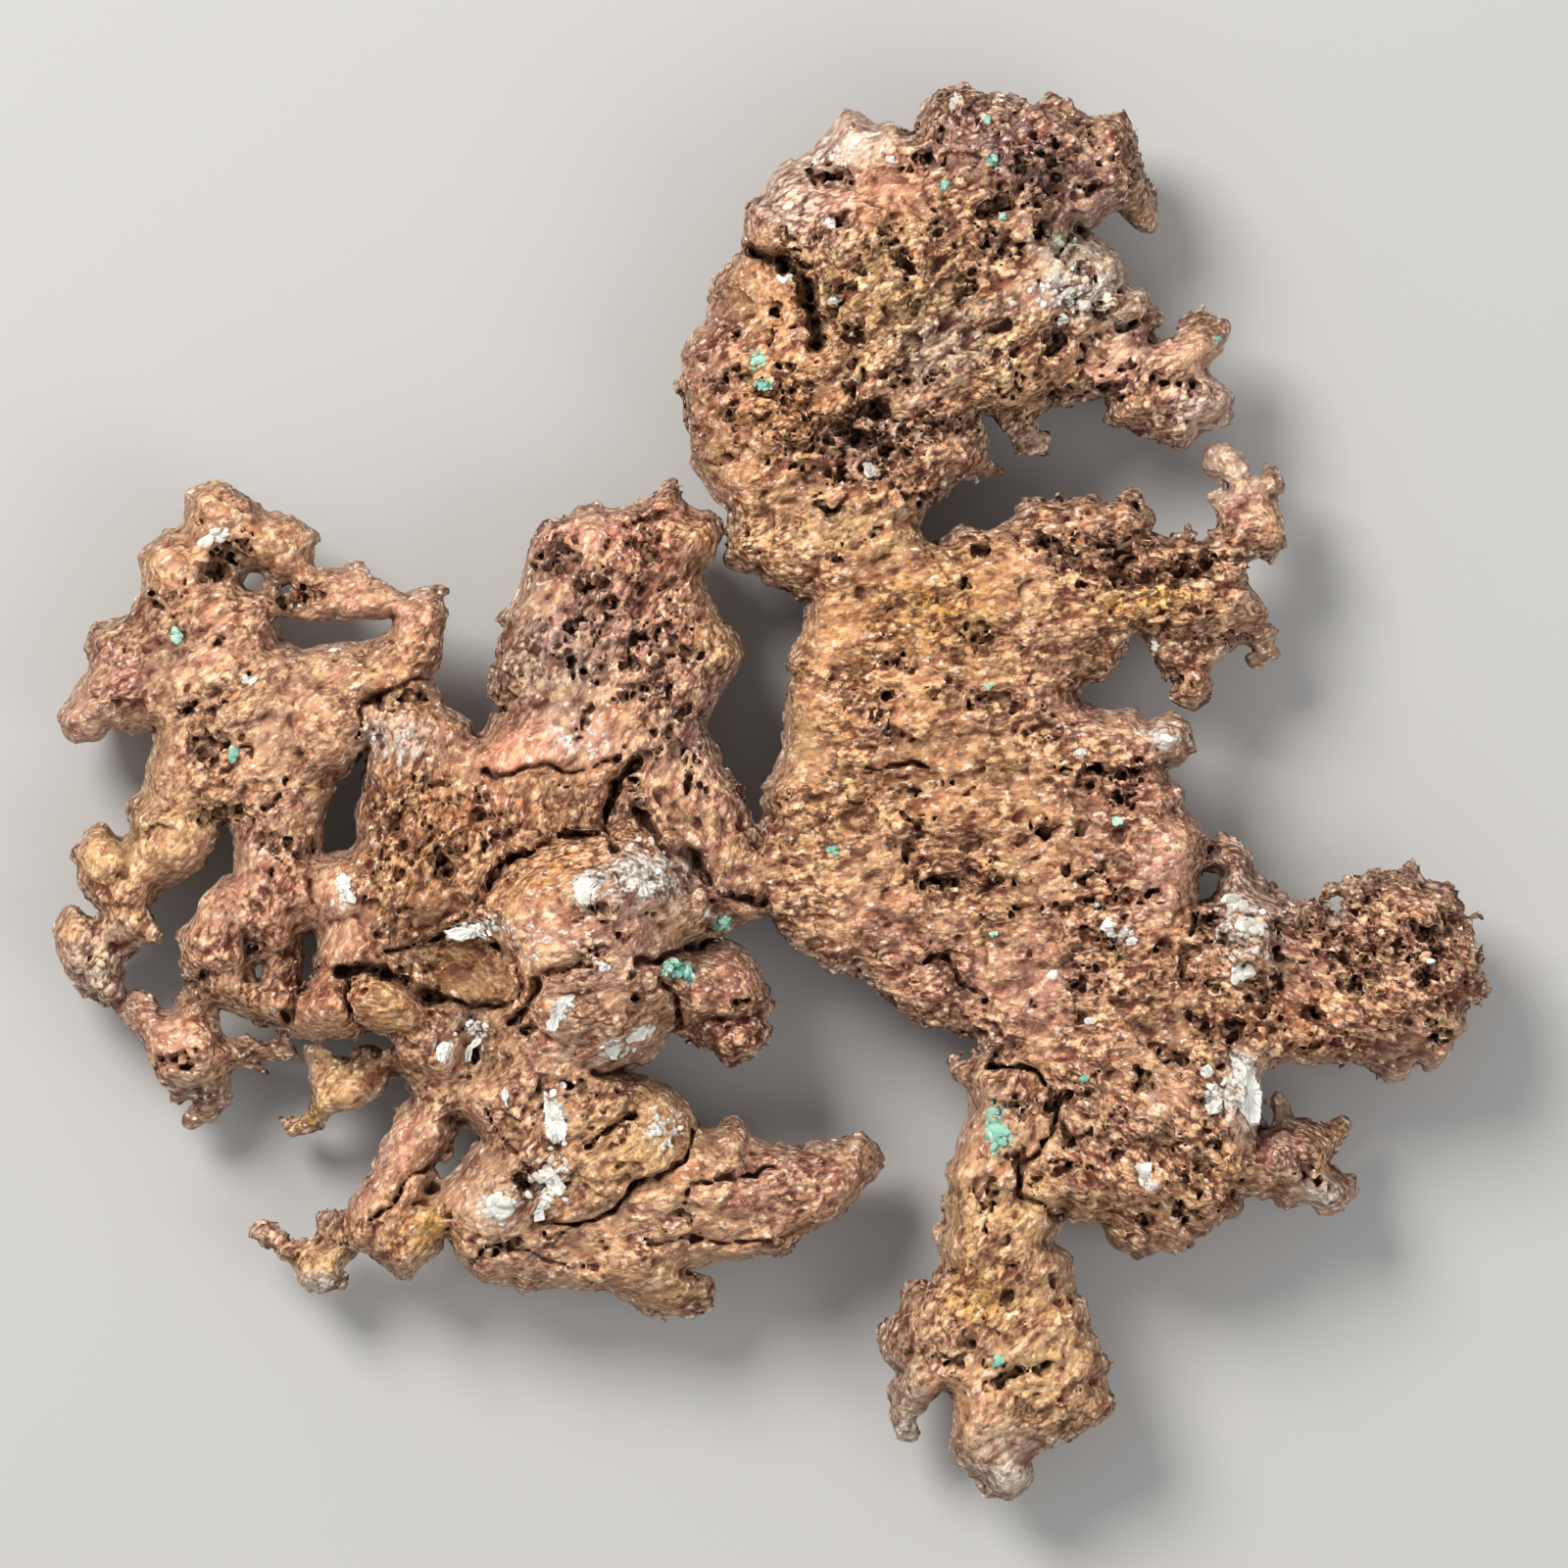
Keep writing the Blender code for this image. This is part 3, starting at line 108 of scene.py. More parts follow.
# Noise over the skin: the size of its knobs in mm and its layer, then its rise in mm
KNOBS = (5.0, 1)
KNOB_RISE = 0.7
LUMPINESS = (2.6, 2)
DENTS = (2.2, 7)
LUMP_RISE = 0.45
PLANES = (4.2, 3)
PLANE_BEND = (3.5, 8)
PLANE_RISE = 0.46
SEAMS = (3.4, 9)
SEAM_PATCHES = (6.0, 10)
SEAM_SHARE = 0.09
SEAM_DEPTH = 1.0
LARGE_FLAKES = (1.7, 1)
LARGE_FLAKE_RISE = 0.28
SMALL_FLAKES = (0.85, 2)
SMALL_FLAKE_RISE = 0.16
FLAKE_BEND = (1.4, 6)
FLAKE_STRETCH = 1.7
GRAIN_NOISE = (0.8, 4)
GRAIN_NOISE_RISE = 0.12
RAGGED_LAYER = 5

# Pits and pores: how squarely their walls turn, how ragged they are, and the ranges of their chances
PIT_SPREAD = 1.05
PIT_TILT = 12.0
PIT_POWER = 2.3
PIT_RAGGED = 0.7
PIT_KNOB = 1.1
PORE_SHARE = 0.6
PORE_SKEW = 2.2
PORE_STRETCH = (1.2, 3.0)
PORE_DEEP = (1.0, 2.6)
PORE_TURN = 30.0
PORE_LEAN = 25.0
PORE_RIM = 0.6
PORE_RAGGED = 0.8
HIDDEN_PORES = 500
HIDDEN_RADIUS = (0.35, 1.1)
HIDDEN_STRETCH = (1.0, 2.2)
HIDDEN_DEEP = (0.8, 1.6)
HIDDEN_RIM = 1.5
HIDDEN_RAGGED = 0.5
KNOB_SQUARENESS = 2.6

# The mesh: how many triangles are kept, the least area of one in mm2, and the step of the map of lobes in mm
SKIN_SHARE = 0.43
LEAST_AREA = 1e-6
LOBE_STEP = 0.7
FINE_ROUNDS = 5
COARSE_ROUNDS = 36

# The fields that drive the colours, among them those for the painted shade in hollows, creases and sunk
# places and the painted light on ridges, rims and raised places: the mm that each one's full range stands for
HOLLOW_RANGE = 1.8
FINE_RANGE = 0.42
BROAD_RANGE = 4.0
BROAD_BLUR = 2.5
DEPTH_RANGE = 3.0
ROUGH_RANGE = 2.0
CREST_REACH = 1.2
CRUST_LOW = 2.0
CRUST_FADE = 3.0
BASE_ROUGH = 0.72
BASE_TINT = (194, 144, 106)

# Grains: how far crystals and plates stand up, in mm, and a plate's edge, in plan steps
GRAIN_RISE = 0.15
PLATE_RISE = 0.35
PLATE_ROOT = 0.9
PLATE_DIP = 0.4
PLATE_STEP = 3.0
PLATE_RAGGED = 1.0
PLATE_RINGS = (0.93, 0.55)
PLATE_UNEVEN = 0.10
PEBBLE_SIDES = 9
PEBBLE_SIDE = (0.55, 0.95)
PEBBLE_LARGEST = 1.1
PEBBLE_UNEVEN = 0.04
GRAIN_TONES = {
    "pale_mineral": ((234, 235, 228), (186, 180, 168)),
    "green_mineral": ((190, 226, 206), (90, 170, 150)),
}

# Patterns in the copper: the size of each in mm, and how far it is drawn out along the run
LARGE_FLAKE_MARKS = 0.62
SMALL_FLAKE_MARKS = 0.30
PATCH_MARKS = 2.4
SPECKLE_MARKS = 0.70
CLOUD_MARKS = 6.5
STREAK_MARKS = 1.4
FLAKE_RUN = 1.5
STREAK_RUN = 3.2

# Shades of the copper: the pattern that places each, where it sets in and is full, its most and its colour
SHADES = (
    ("clouds", 0.53, 0.66, 0.22, (204, 160, 112)),
    ("clouds", 0.47, 0.36, 0.25, (166, 122, 108)),
    ("patches", 0.54, 0.70, 0.35, (222, 184, 132)),
    ("patches", 0.46, 0.32, 0.28, (158, 98, 78)),
    ("streaks", 0.45, 0.36, 0.60, (150, 84, 54)),
    ("streaks", 0.56, 0.68, 0.40, (224, 188, 134)),
    ("tone", 0.70, 0.80, 0.30, (222, 192, 152)),
    ("tone", 0.30, 0.20, 0.30, (150, 108, 98)),
)
# Painted light: a paler colour on the thin rims near the outline
PAINTED_RIM_LIGHT = (214, 190, 172)
# A painted glint on small flakes on the ridges
PAINTED_RIDGE_GLINT = (250, 232, 212)
WHITE_SHADES = ((166, 154, 142), (228, 222, 212))
GREEN_SHADES = ((60, 146, 130), (160, 204, 180))
# Painted shade in creases and in the grooves and dents of the fine bump
PAINTED_CREASE_SHADE = (98, 42, 26)
# Painted shade in hollows
PAINTED_HOLLOW_SHADE = (46, 19, 11)
# Painted shade over pits and cracks and beside grains
PAINTED_PIT_SHADE = (58, 32, 24)
METALLIC = 0.12
GLOSS = 0.35

# The stage, in metres and watts
FLOOR_HALF = 12.0
FLOOR_COLOUR = (178, 177, 175)
FLOOR_ROUGHNESS = 0.8
WORLD_LIGHT = 0.54
KEY_PLACE = (-0.45, 0.50, 0.75)
KEY_SIZE = 0.45
KEY_POWER = 11.2
KEY_COLOUR = (1.0, 0.98, 0.95)
FILL_PLACE = (0.60, -0.30, 0.70)
FILL_SIZE = 0.60
FILL_POWER = 2.5
FILL_COLOUR = (0.95, 0.97, 1.0)
LIGHT_AIM = (0.0, 0.0, 0.01)
SENSOR_WIDTH = 36.0
CAMERA_HEIGHT = 1.2
VIEW_LEVEL = 0.016
VIEW_WIDTH = 0.160
VIEW_REACH = 50.0
CAMERA_X = 0.0014
CAMERA_Y = 0.0009

# Each lobe of the metal: its material slot and the run of its fine grain, in degrees
LOBES = {
    "left_wing": ("copper_orange", 30),
    "left_limb": ("copper_pale", 60),
    "knot_limb": ("copper_rose", 65),
    "curl": ("copper_rose", 0),
    "tooth_prong": ("copper_pale", 40),
    "centre_body": ("copper_gold", 70),
    "tower": ("copper_rose", 56),
    "dome": ("copper_rose", 15),
    "shelf_lobe": ("copper_gold", 5),
    "lower_body": ("copper_orange", 40),
    "blade": ("copper_pale", 14),
    "strut": ("copper_pale", 55),
    "main_sheet": ("copper_orange", 9),
    "head_lobe": ("copper_orange", 32),
    "upper_right_arm": ("copper_orange", 8),
    "right_arm": ("copper_rose", -20),
    "lower_right_branch": ("copper_orange", -32),
    "foot": ("copper_pale", 50),
}
WHITE_NODES = (
    "grain_wedge", "grain_ridge_upper", "grain_ridge_middle", "grain_ridge_lower", "grain_dome",
    "grain_shelf", "grain_tooth", "grain_knot", "grain_disc", "grain_finger")
GREEN_NODES = ("green_grain_knob", "green_grain_foot")

EDGE = {
    "wing_top": [
        (186, 510), (187, 500), (212, 488), (224, 487), (257, 507), (262, 513), (262, 518), (270, 522),
        (295, 523), (322, 544), (324, 552), (321, 571), (325, 580), (345, 581), (368, 577), (380, 587),
        (400, 593), (408, 600), (418, 604), (445, 599), (451, 603), (457, 624), (453, 633), (456, 652),
        (452, 662), (451, 675), (445, 683), (438, 687), (455, 723), (482, 735), (480, 742), (483, 748),
        (490, 751)],
    "tower": [
        (495, 747), (505, 728), (512, 724), (505, 718), (500, 708), (504, 665), (512, 628), (522, 618),
        (530, 605), (539, 560), (539, 548), (545, 538), (558, 528), (572, 528), (592, 518), (607, 515),
        (618, 518), (648, 515), (670, 500), (676, 490), (681, 487), (688, 487), (697, 508), (703, 516),
        (710, 519), (722, 519), (730, 526), (736, 538), (737, 552), (733, 568)],
    "head": [
        (735, 563), (746, 542), (748, 530), (744, 520), (728, 508), (710, 473), (703, 440), (700, 405),
        (693, 392), (698, 370), (696, 360), (700, 345), (706, 337), (720, 330), (725, 295), (730, 283),
        (756, 258), (763, 210), (778, 199), (789, 179), (797, 170), (835, 140), (860, 107), (866, 105),
        (880, 112), (890, 123), (897, 125), (905, 121), (912, 121), (923, 132), (936, 138), (938, 118),
        (943, 108), (955, 95), (957, 88), (975, 86), (980, 83), (988, 83), (1002, 96), (1010, 99),
        (1020, 96), (1028, 98), (1042, 107), (1075, 98), (1085, 99), (1112, 116), (1122, 116), (1140, 111),
        (1148, 112), (1160, 137), (1160, 150), (1172, 185), (1182, 205), (1185, 225), (1181, 232),
        (1175, 234), (1160, 229), (1145, 213), (1138, 213), (1125, 225), (1108, 235), (1100, 232),
        (1108, 238), (1115, 237), (1120, 243), (1128, 246), (1130, 252), (1137, 253), (1143, 258),
        (1152, 272), (1148, 286), (1153, 290), (1168, 292), (1174, 298), (1176, 306), (1186, 321),
        (1176, 335), (1178, 343), (1190, 344), (1200, 341), (1216, 318), (1225, 317), (1253, 325),
        (1258, 332), (1252, 352), (1246, 362), (1231, 376), (1234, 382), (1249, 389), (1261, 401),
        (1256, 420), (1252, 429), (1245, 436), (1225, 438), (1213, 457), (1205, 459), (1170, 441),
        (1140, 434), (1132, 428), (1130, 420), (1132, 410), (1128, 403), (1097, 405), (1087, 411),
        (1075, 412), (1058, 427), (1063, 433), (1078, 440), (1073, 453), (1067, 459), (1050, 461),
        (1041, 459), (1020, 428), (1012, 423), (1002, 422), (997, 426), (1006, 442), (1008, 450),
        (1006, 458), (1021, 469), (1032, 483), (1026, 487), (1013, 489), (983, 487), (974, 490), (967, 496),
        (961, 504), (946, 516), (940, 530), (939, 538), (943, 546), (954, 556)],
    "upper_right_arm": [
        (961, 553), (970, 550), (975, 543), (982, 540), (1010, 540), (1020, 536), (1060, 508), (1090, 510),
        (1112, 503), (1126, 511), (1134, 510), (1151, 497), (1157, 496), (1165, 512), (1178, 520),
        (1181, 528), (1178, 536), (1173, 540), (1200, 548), (1222, 537), (1224, 540), (1223, 547),
        (1227, 553), (1234, 554), (1239, 550), (1240, 540), (1244, 532), (1241, 523), (1230, 509),
        (1234, 503), (1250, 500), (1252, 494), (1234, 480), (1230, 471), (1230, 463), (1235, 456),
        (1243, 451), (1252, 451), (1260, 455), (1273, 468), (1278, 483), (1283, 488), (1290, 484),
        (1287, 477), (1293, 474), (1301, 475), (1308, 480), (1313, 487), (1312, 495), (1303, 506),
        (1313, 532), (1313, 555), (1297, 568), (1288, 566), (1280, 569), (1275, 574), (1273, 582),
        (1275, 592), (1297, 620), (1298, 633), (1304, 635), (1310, 642), (1302, 652), (1309, 666),
        (1305, 671), (1287, 683), (1280, 681), (1275, 673), (1277, 667), (1283, 663), (1279, 656),
        (1272, 653), (1256, 660), (1239, 679), (1243, 698), (1240, 707), (1222, 721), (1214, 720),
        (1200, 714), (1193, 706), (1193, 697), (1196, 690), (1175, 668), (1170, 653), (1163, 647),
        (1155, 647), (1150, 652), (1149, 661), (1144, 671), (1130, 688), (1122, 695), (1112, 699),
        (1102, 711)],
    "right_arm": [
        (1108, 717), (1130, 725), (1140, 726), (1160, 723), (1165, 730), (1172, 734), (1191, 724),
        (1200, 726), (1214, 738), (1221, 765), (1217, 773), (1210, 779), (1191, 780), (1187, 787),
        (1190, 794), (1198, 797), (1204, 803), (1208, 811), (1205, 824), (1222, 838), (1229, 847),
        (1232, 867), (1235, 871), (1241, 869), (1248, 856), (1266, 861), (1273, 867), (1278, 876),
        (1275, 884), (1276, 892), (1282, 896), (1294, 893), (1299, 899), (1300, 905), (1296, 911),
        (1303, 916), (1312, 917), (1318, 923), (1326, 926), (1345, 911), (1347, 905), (1354, 901),
        (1370, 904), (1392, 900), (1400, 893), (1408, 891), (1418, 893), (1430, 890), (1438, 876),
        (1444, 878), (1449, 885), (1450, 893), (1455, 902), (1472, 905), (1480, 900), (1487, 901),
        (1493, 928), (1504, 944), (1510, 962), (1508, 972), (1510, 991), (1523, 1010), (1494, 1034),
        (1499, 1050), (1493, 1055), (1473, 1088), (1466, 1093), (1459, 1092), (1457, 1086), (1450, 1082),
        (1440, 1095), (1425, 1106), (1418, 1104), (1398, 1088), (1388, 1087), (1348, 1087), (1316, 1083),
        (1284, 1096)],
    "lower_right_branch": [
        (1286, 1105), (1288, 1117), (1285, 1130), (1289, 1152), (1296, 1151), (1301, 1142), (1298, 1122),
        (1302, 1116), (1310, 1115), (1318, 1122), (1323, 1144), (1335, 1143), (1355, 1150), (1373, 1137),
        (1380, 1140), (1382, 1150), (1380, 1160), (1362, 1187), (1382, 1208), (1385, 1218), (1382, 1228),
        (1373, 1238), (1362, 1243), (1350, 1240), (1342, 1232), (1335, 1230), (1315, 1240), (1304, 1234),
        (1300, 1225), (1290, 1226), (1275, 1220), (1267, 1222), (1268, 1233), (1262, 1242), (1250, 1244),
        (1245, 1252), (1225, 1265), (1220, 1273), (1200, 1280), (1190, 1278), (1165, 1285), (1140, 1275),
        (1133, 1268), (1125, 1250), (1097, 1248), (1084, 1243)],
    "foot": [
        (1085, 1255), (1075, 1268), (1080, 1274), (1090, 1278), (1096, 1285), (1098, 1322), (1105, 1325),
        (1110, 1332), (1110, 1341), (1125, 1375), (1136, 1393), (1134, 1400), (1128, 1405), (1139, 1435),
        (1137, 1444), (1125, 1457), (1112, 1460), (1100, 1467), (1085, 1470), (1063, 1487), (1055, 1495),
        (1060, 1505), (1058, 1517), (1043, 1532), (1030, 1535), (1008, 1531), (1006, 1523), (1000, 1515),
        (982, 1498), (970, 1475), (972, 1435), (968, 1425), (962, 1424), (945, 1446), (935, 1450),
        (939, 1466), (938, 1475), (933, 1481), (918, 1471), (913, 1460), (908, 1435), (908, 1420),
        (912, 1410), (920, 1401), (912, 1398), (903, 1390), (896, 1370), (900, 1361), (908, 1355),
        (915, 1345), (922, 1322), (928, 1313), (935, 1307), (945, 1308), (953, 1305), (960, 1298),
        (962, 1288), (955, 1262), (957, 1251), (965, 1252), (967, 1243), (963, 1232), (963, 1222),
        (968, 1214), (962, 1196), (966, 1187), (975, 1178), (980, 1155), (993, 1130), (989, 1112),
        (980, 1108), (972, 1094), (974, 1084), (1003, 1072), (1009, 1073), (1013, 1083)],
    "sheet_underside": [
        (1018, 1078), (1000, 1054), (990, 1055), (945, 1049), (935, 1045), (875, 990), (850, 988),
        (840, 984), (835, 978), (812, 967), (805, 957), (783, 937), (750, 945), (708, 968)],
    "red_knob_and_blade": [
        (715, 967), (745, 962), (756, 965), (773, 982), (779, 993), (786, 1017), (782, 1040), (786, 1050),
        (784, 1062), (778, 1072), (768, 1080), (748, 1088), (703, 1066), (684, 1053), (677, 1067),
        (662, 1085), (640, 1096), (662, 1100), (688, 1111), (705, 1128), (714, 1148), (722, 1151),
        (730, 1151), (736, 1143), (743, 1139), (752, 1140), (774, 1162), (822, 1170), (840, 1170),
        (883, 1157), (895, 1171), (901, 1190), (898, 1199), (892, 1206), (885, 1210), (857, 1246),
        (817, 1268), (798, 1282), (770, 1285), (750, 1290), (725, 1288), (703, 1300), (724, 1307),
        (730, 1313), (733, 1321), (732, 1331), (728, 1337), (715, 1339), (694, 1347), (680, 1348),
        (655, 1340), (635, 1328), (600, 1317), (585, 1315), (552, 1315), (533, 1326), (518, 1315),
        (495, 1312), (477, 1297), (456, 1272), (454, 1266)],
    "strut_and_toes": [
        (451, 1279), (430, 1292), (424, 1302), (417, 1308), (408, 1308), (382, 1288), (372, 1283),
        (362, 1282), (352, 1288), (348, 1296), (347, 1305), (351, 1313), (350, 1320), (325, 1326),
        (312, 1324), (300, 1317), (290, 1294), (272, 1285), (254, 1265), (253, 1258), (260, 1252),
        (267, 1250), (273, 1257), (285, 1260), (293, 1266), (317, 1266), (321, 1243), (327, 1236),
        (345, 1239), (351, 1235), (393, 1162), (397, 1152), (397, 1143), (403, 1133), (420, 1124),
        (422, 1114), (412, 1098)],
    "prong_and_knots": [
        (405, 1098), (400, 1100), (388, 1116), (365, 1133), (338, 1136), (330, 1142), (318, 1159),
        (295, 1163), (280, 1152), (285, 1145), (305, 1136), (313, 1128), (317, 1118), (314, 1092),
        (308, 1078), (310, 1070), (318, 1067), (328, 1067), (343, 1075), (352, 1077), (362, 1076),
        (378, 1070), (388, 1073), (397, 1072), (402, 1066), (398, 1061), (378, 1056), (355, 1062),
        (305, 1060), (285, 1050), (255, 1043), (240, 1035), (222, 1031)],
    "curl": [
        (221, 1040), (222, 1050), (228, 1060), (238, 1060), (248, 1056), (256, 1062), (265, 1064),
        (275, 1060), (285, 1060), (293, 1066), (300, 1080), (281, 1090), (270, 1091), (262, 1087),
        (250, 1088), (232, 1094), (231, 1120), (228, 1132), (222, 1140), (210, 1148), (192, 1153),
        (185, 1149), (183, 1143), (197, 1128), (197, 1121), (178, 1125), (172, 1122), (169, 1115),
        (160, 1110), (153, 1100), (141, 1066), (116, 1026)],
    "left_limb": [
        (110, 1028), (100, 1030), (75, 1014), (62, 995), (58, 985), (50, 960), (49, 948), (60, 925),
        (68, 921), (75, 925), (80, 933), (88, 936), (94, 933), (93, 925), (73, 899), (73, 888), (69, 876),
        (71, 866), (88, 846), (98, 839), (105, 838), (114, 852), (120, 857), (129, 850), (129, 840),
        (125, 830), (126, 819), (142, 808), (154, 758), (153, 747), (142, 746), (130, 750), (118, 746),
        (109, 746), (107, 755), (95, 760), (83, 758), (72, 760), (62, 754), (51, 731), (57, 720), (66, 715),
        (87, 680), (87, 668), (84, 658), (93, 637), (118, 632), (130, 626), (143, 603), (137, 566),
        (168, 540), (180, 539), (186, 532), (188, 520)],
}

OPENINGS = {
    "wing_slot": [
        (281, 633), (300, 632), (322, 634), (345, 631), (399, 631), (398, 638), (382, 652), (365, 657),
        (325, 657), (312, 662), (303, 660), (293, 654), (283, 652), (280, 643)],
    "wing_eye": [
        (249, 588), (253, 583), (260, 582), (267, 585), (271, 592), (266, 600), (257, 602), (250, 599),
        (247, 593)],
    "wing_pinhole": [
        (286, 597), (291, 597), (292, 602), (287, 603)],
    "wing_gap": [
        (374, 765), (357, 788), (345, 797), (331, 822), (329, 866), (334, 870), (357, 868), (364, 862),
        (367, 855), (362, 835), (363, 820), (371, 808), (369, 790), (371, 780)],
    "limb_bay": [
        (229, 841), (235, 852), (237, 880), (235, 890), (225, 892), (215, 898), (207, 906), (199, 916),
        (196, 930), (192, 938), (185, 945), (179, 955), (183, 985), (190, 996), (196, 1002), (175, 1025),
        (172, 1031), (165, 1032), (152, 1016), (143, 1011), (132, 1011), (124, 1015), (118, 984),
        (123, 975), (148, 963), (160, 961), (162, 956), (152, 929), (155, 920), (161, 910), (172, 903),
        (188, 898), (200, 892), (208, 884), (211, 872), (220, 861), (224, 850), (222, 843)],
    "knot_eye": [
        (249, 960), (260, 966), (253, 971)],
    "knot_pinhole": [
        (259, 986), (265, 985), (267, 993), (263, 1001), (258, 996)],
    "knot_gap": [
        (309, 954), (317, 952), (321, 962), (322, 990), (307, 1004), (305, 1000), (309, 970)],
    "strut_gap": [
        (464, 1153), (466, 1147), (472, 1145), (490, 1163), (481, 1170), (470, 1190), (452, 1204),
        (446, 1212), (438, 1216), (444, 1199), (439, 1193), (444, 1188), (455, 1188), (461, 1180),
        (462, 1168)],
    "shelf_pinhole": [
        (481, 1072), (488, 1071), (490, 1080), (485, 1086), (480, 1080)],
    "tower_bay": [
        (727, 574), (718, 579), (714, 585), (717, 597), (735, 627), (752, 648), (757, 660), (758, 670),
        (747, 690), (738, 701), (720, 737), (722, 748), (736, 770), (740, 782), (758, 813), (768, 838),
        (775, 850), (778, 840), (779, 828), (777, 818), (780, 806), (783, 797), (790, 787), (800, 762),
        (801, 742), (799, 725), (800, 712), (803, 700), (805, 670), (820, 632), (825, 612), (815, 610),
        (795, 600), (785, 597), (770, 583), (737, 573)],
    "arm_hole": [
        (1229, 889), (1238, 886), (1245, 893), (1243, 902), (1238, 909), (1231, 917), (1226, 918),
        (1224, 908), (1226, 897)],
    "leaf_hole": [
        (1361, 922), (1372, 921), (1371, 930), (1366, 940), (1360, 941), (1358, 933)],
}

LOOPS = [np.array([p for stretch in EDGE.values() for p in stretch], float)]
LOOPS += [np.array(opening, float) for opening in OPENINGS.values()]

FORM = [
    (230, 530, 60, 18, 6), (110, 690, 70, 15, 5), (250, 700, 90, 19.5, 5), (400, 630, 60, 17, 8),
    (150, 860, 60, 16, 4), (62, 960, 40, 12, 4), (95, 1000, 30, 14, 2), (270, 900, 60, 19, 7),
    (220, 960, 40, 20.5, 7), (290, 1010, 40, 19, 6), (331, 1022, 34, 23, 8), (396, 1027, 36, 23, 9),
    (180, 1060, 45, 14.5, 3), (275, 1075, 30, 11, 4), (205, 1135, 30, 10, 3), (355, 1100, 40, 15, 6),
    (295, 1152, 30, 9, 3), (430, 850, 80, 22, 5), (435, 745, 50, 19, 7), (590, 790, 70, 21, 6),
    (560, 600, 90, 19.5, 6), (680, 620, 90, 20.5, 5), (685, 505, 40, 15, 7), (745, 655, 35, 16, 7),
    (690, 760, 50, 20, 6), (600, 965, 80, 28, 4), (690, 955, 45, 24, 6), (615, 1050, 50, 24, 5),
    (742, 1025, 50, 22.5, 8), (470, 1000, 45, 16.5, 7), (475, 1110, 70, 21, 4), (610, 1170, 70, 21.5, 4),
    (510, 1220, 60, 20, 3), (680, 1260, 70, 19.5, 3), (820, 1210, 60, 16, 5), (893, 1185, 30, 12, 6),
    (700, 1325, 50, 13.5, 3), (560, 1295, 50, 16.5, 4), (400, 1190, 50, 18, 7), (310, 1300, 50, 11.5, 3),
    (415, 1262, 40, 17.5, 4), (765, 890, 50, 20, 7), (900, 800, 110, 20, 8), (870, 650, 80, 19, 8),
    (1050, 800, 110, 20.5, 8), (1000, 950, 80, 20, 8), (940, 1010, 50, 17, 9), (1150, 860, 80, 21.5, 7),
    (1200, 750, 40, 16, 8), (1110, 1010, 80, 21, 7), (790, 420, 90, 19.5, 6), (900, 300, 110, 22.5, 4),
    (1010, 190, 100, 22, 4), (850, 140, 50, 15, 7), (1120, 140, 50, 17.5, 5), (1178, 215, 25, 12, 6),
    (1140, 350, 60, 18.5, 6), (1235, 410, 45, 16, 6), (1240, 335, 35, 15, 8), (1060, 445, 25, 13, 8),
    (1015, 480, 25, 12, 8), (735, 320, 50, 15, 7), (930, 450, 70, 20, 7), (1050, 600, 80, 20, 8),
    (1150, 570, 60, 20.5, 6), (1250, 590, 50, 17, 7), (1250, 470, 30, 15, 7), (1300, 490, 20, 13, 8),
    (1295, 545, 35, 16, 6), (1295, 660, 25, 12, 6), (1215, 690, 35, 15, 6), (1110, 680, 40, 16, 8),
    (1262, 880, 40, 17, 7), (1275, 960, 45, 22.5, 7), (1350, 1010, 70, 20, 6), (1430, 990, 70, 20, 4),
    (1495, 960, 40, 16.5, 6), (1513, 1010, 25, 12, 6), (1440, 890, 40, 15, 7), (1425, 1095, 40, 13.5, 4),
    (1293, 903, 15, 12, 7), (1130, 1180, 70, 22, 5), (1215, 1150, 60, 22, 5), (1268, 1110, 35, 23, 9),
    (1170, 1265, 50, 16, 4), (1310, 1190, 40, 18, 6), (1375, 1148, 25, 12, 7), (1360, 1225, 35, 13.5, 5),
    (1308, 1122, 20, 12, 8), (1025, 1150, 60, 19, 7), (1030, 1280, 70, 18, 7), (1000, 1390, 70, 18.5, 5),
    (1085, 1420, 50, 16.5, 5), (1032, 1505, 40, 14, 3), (915, 1365, 35, 13.5, 6), (925, 1450, 30, 12, 4),
]

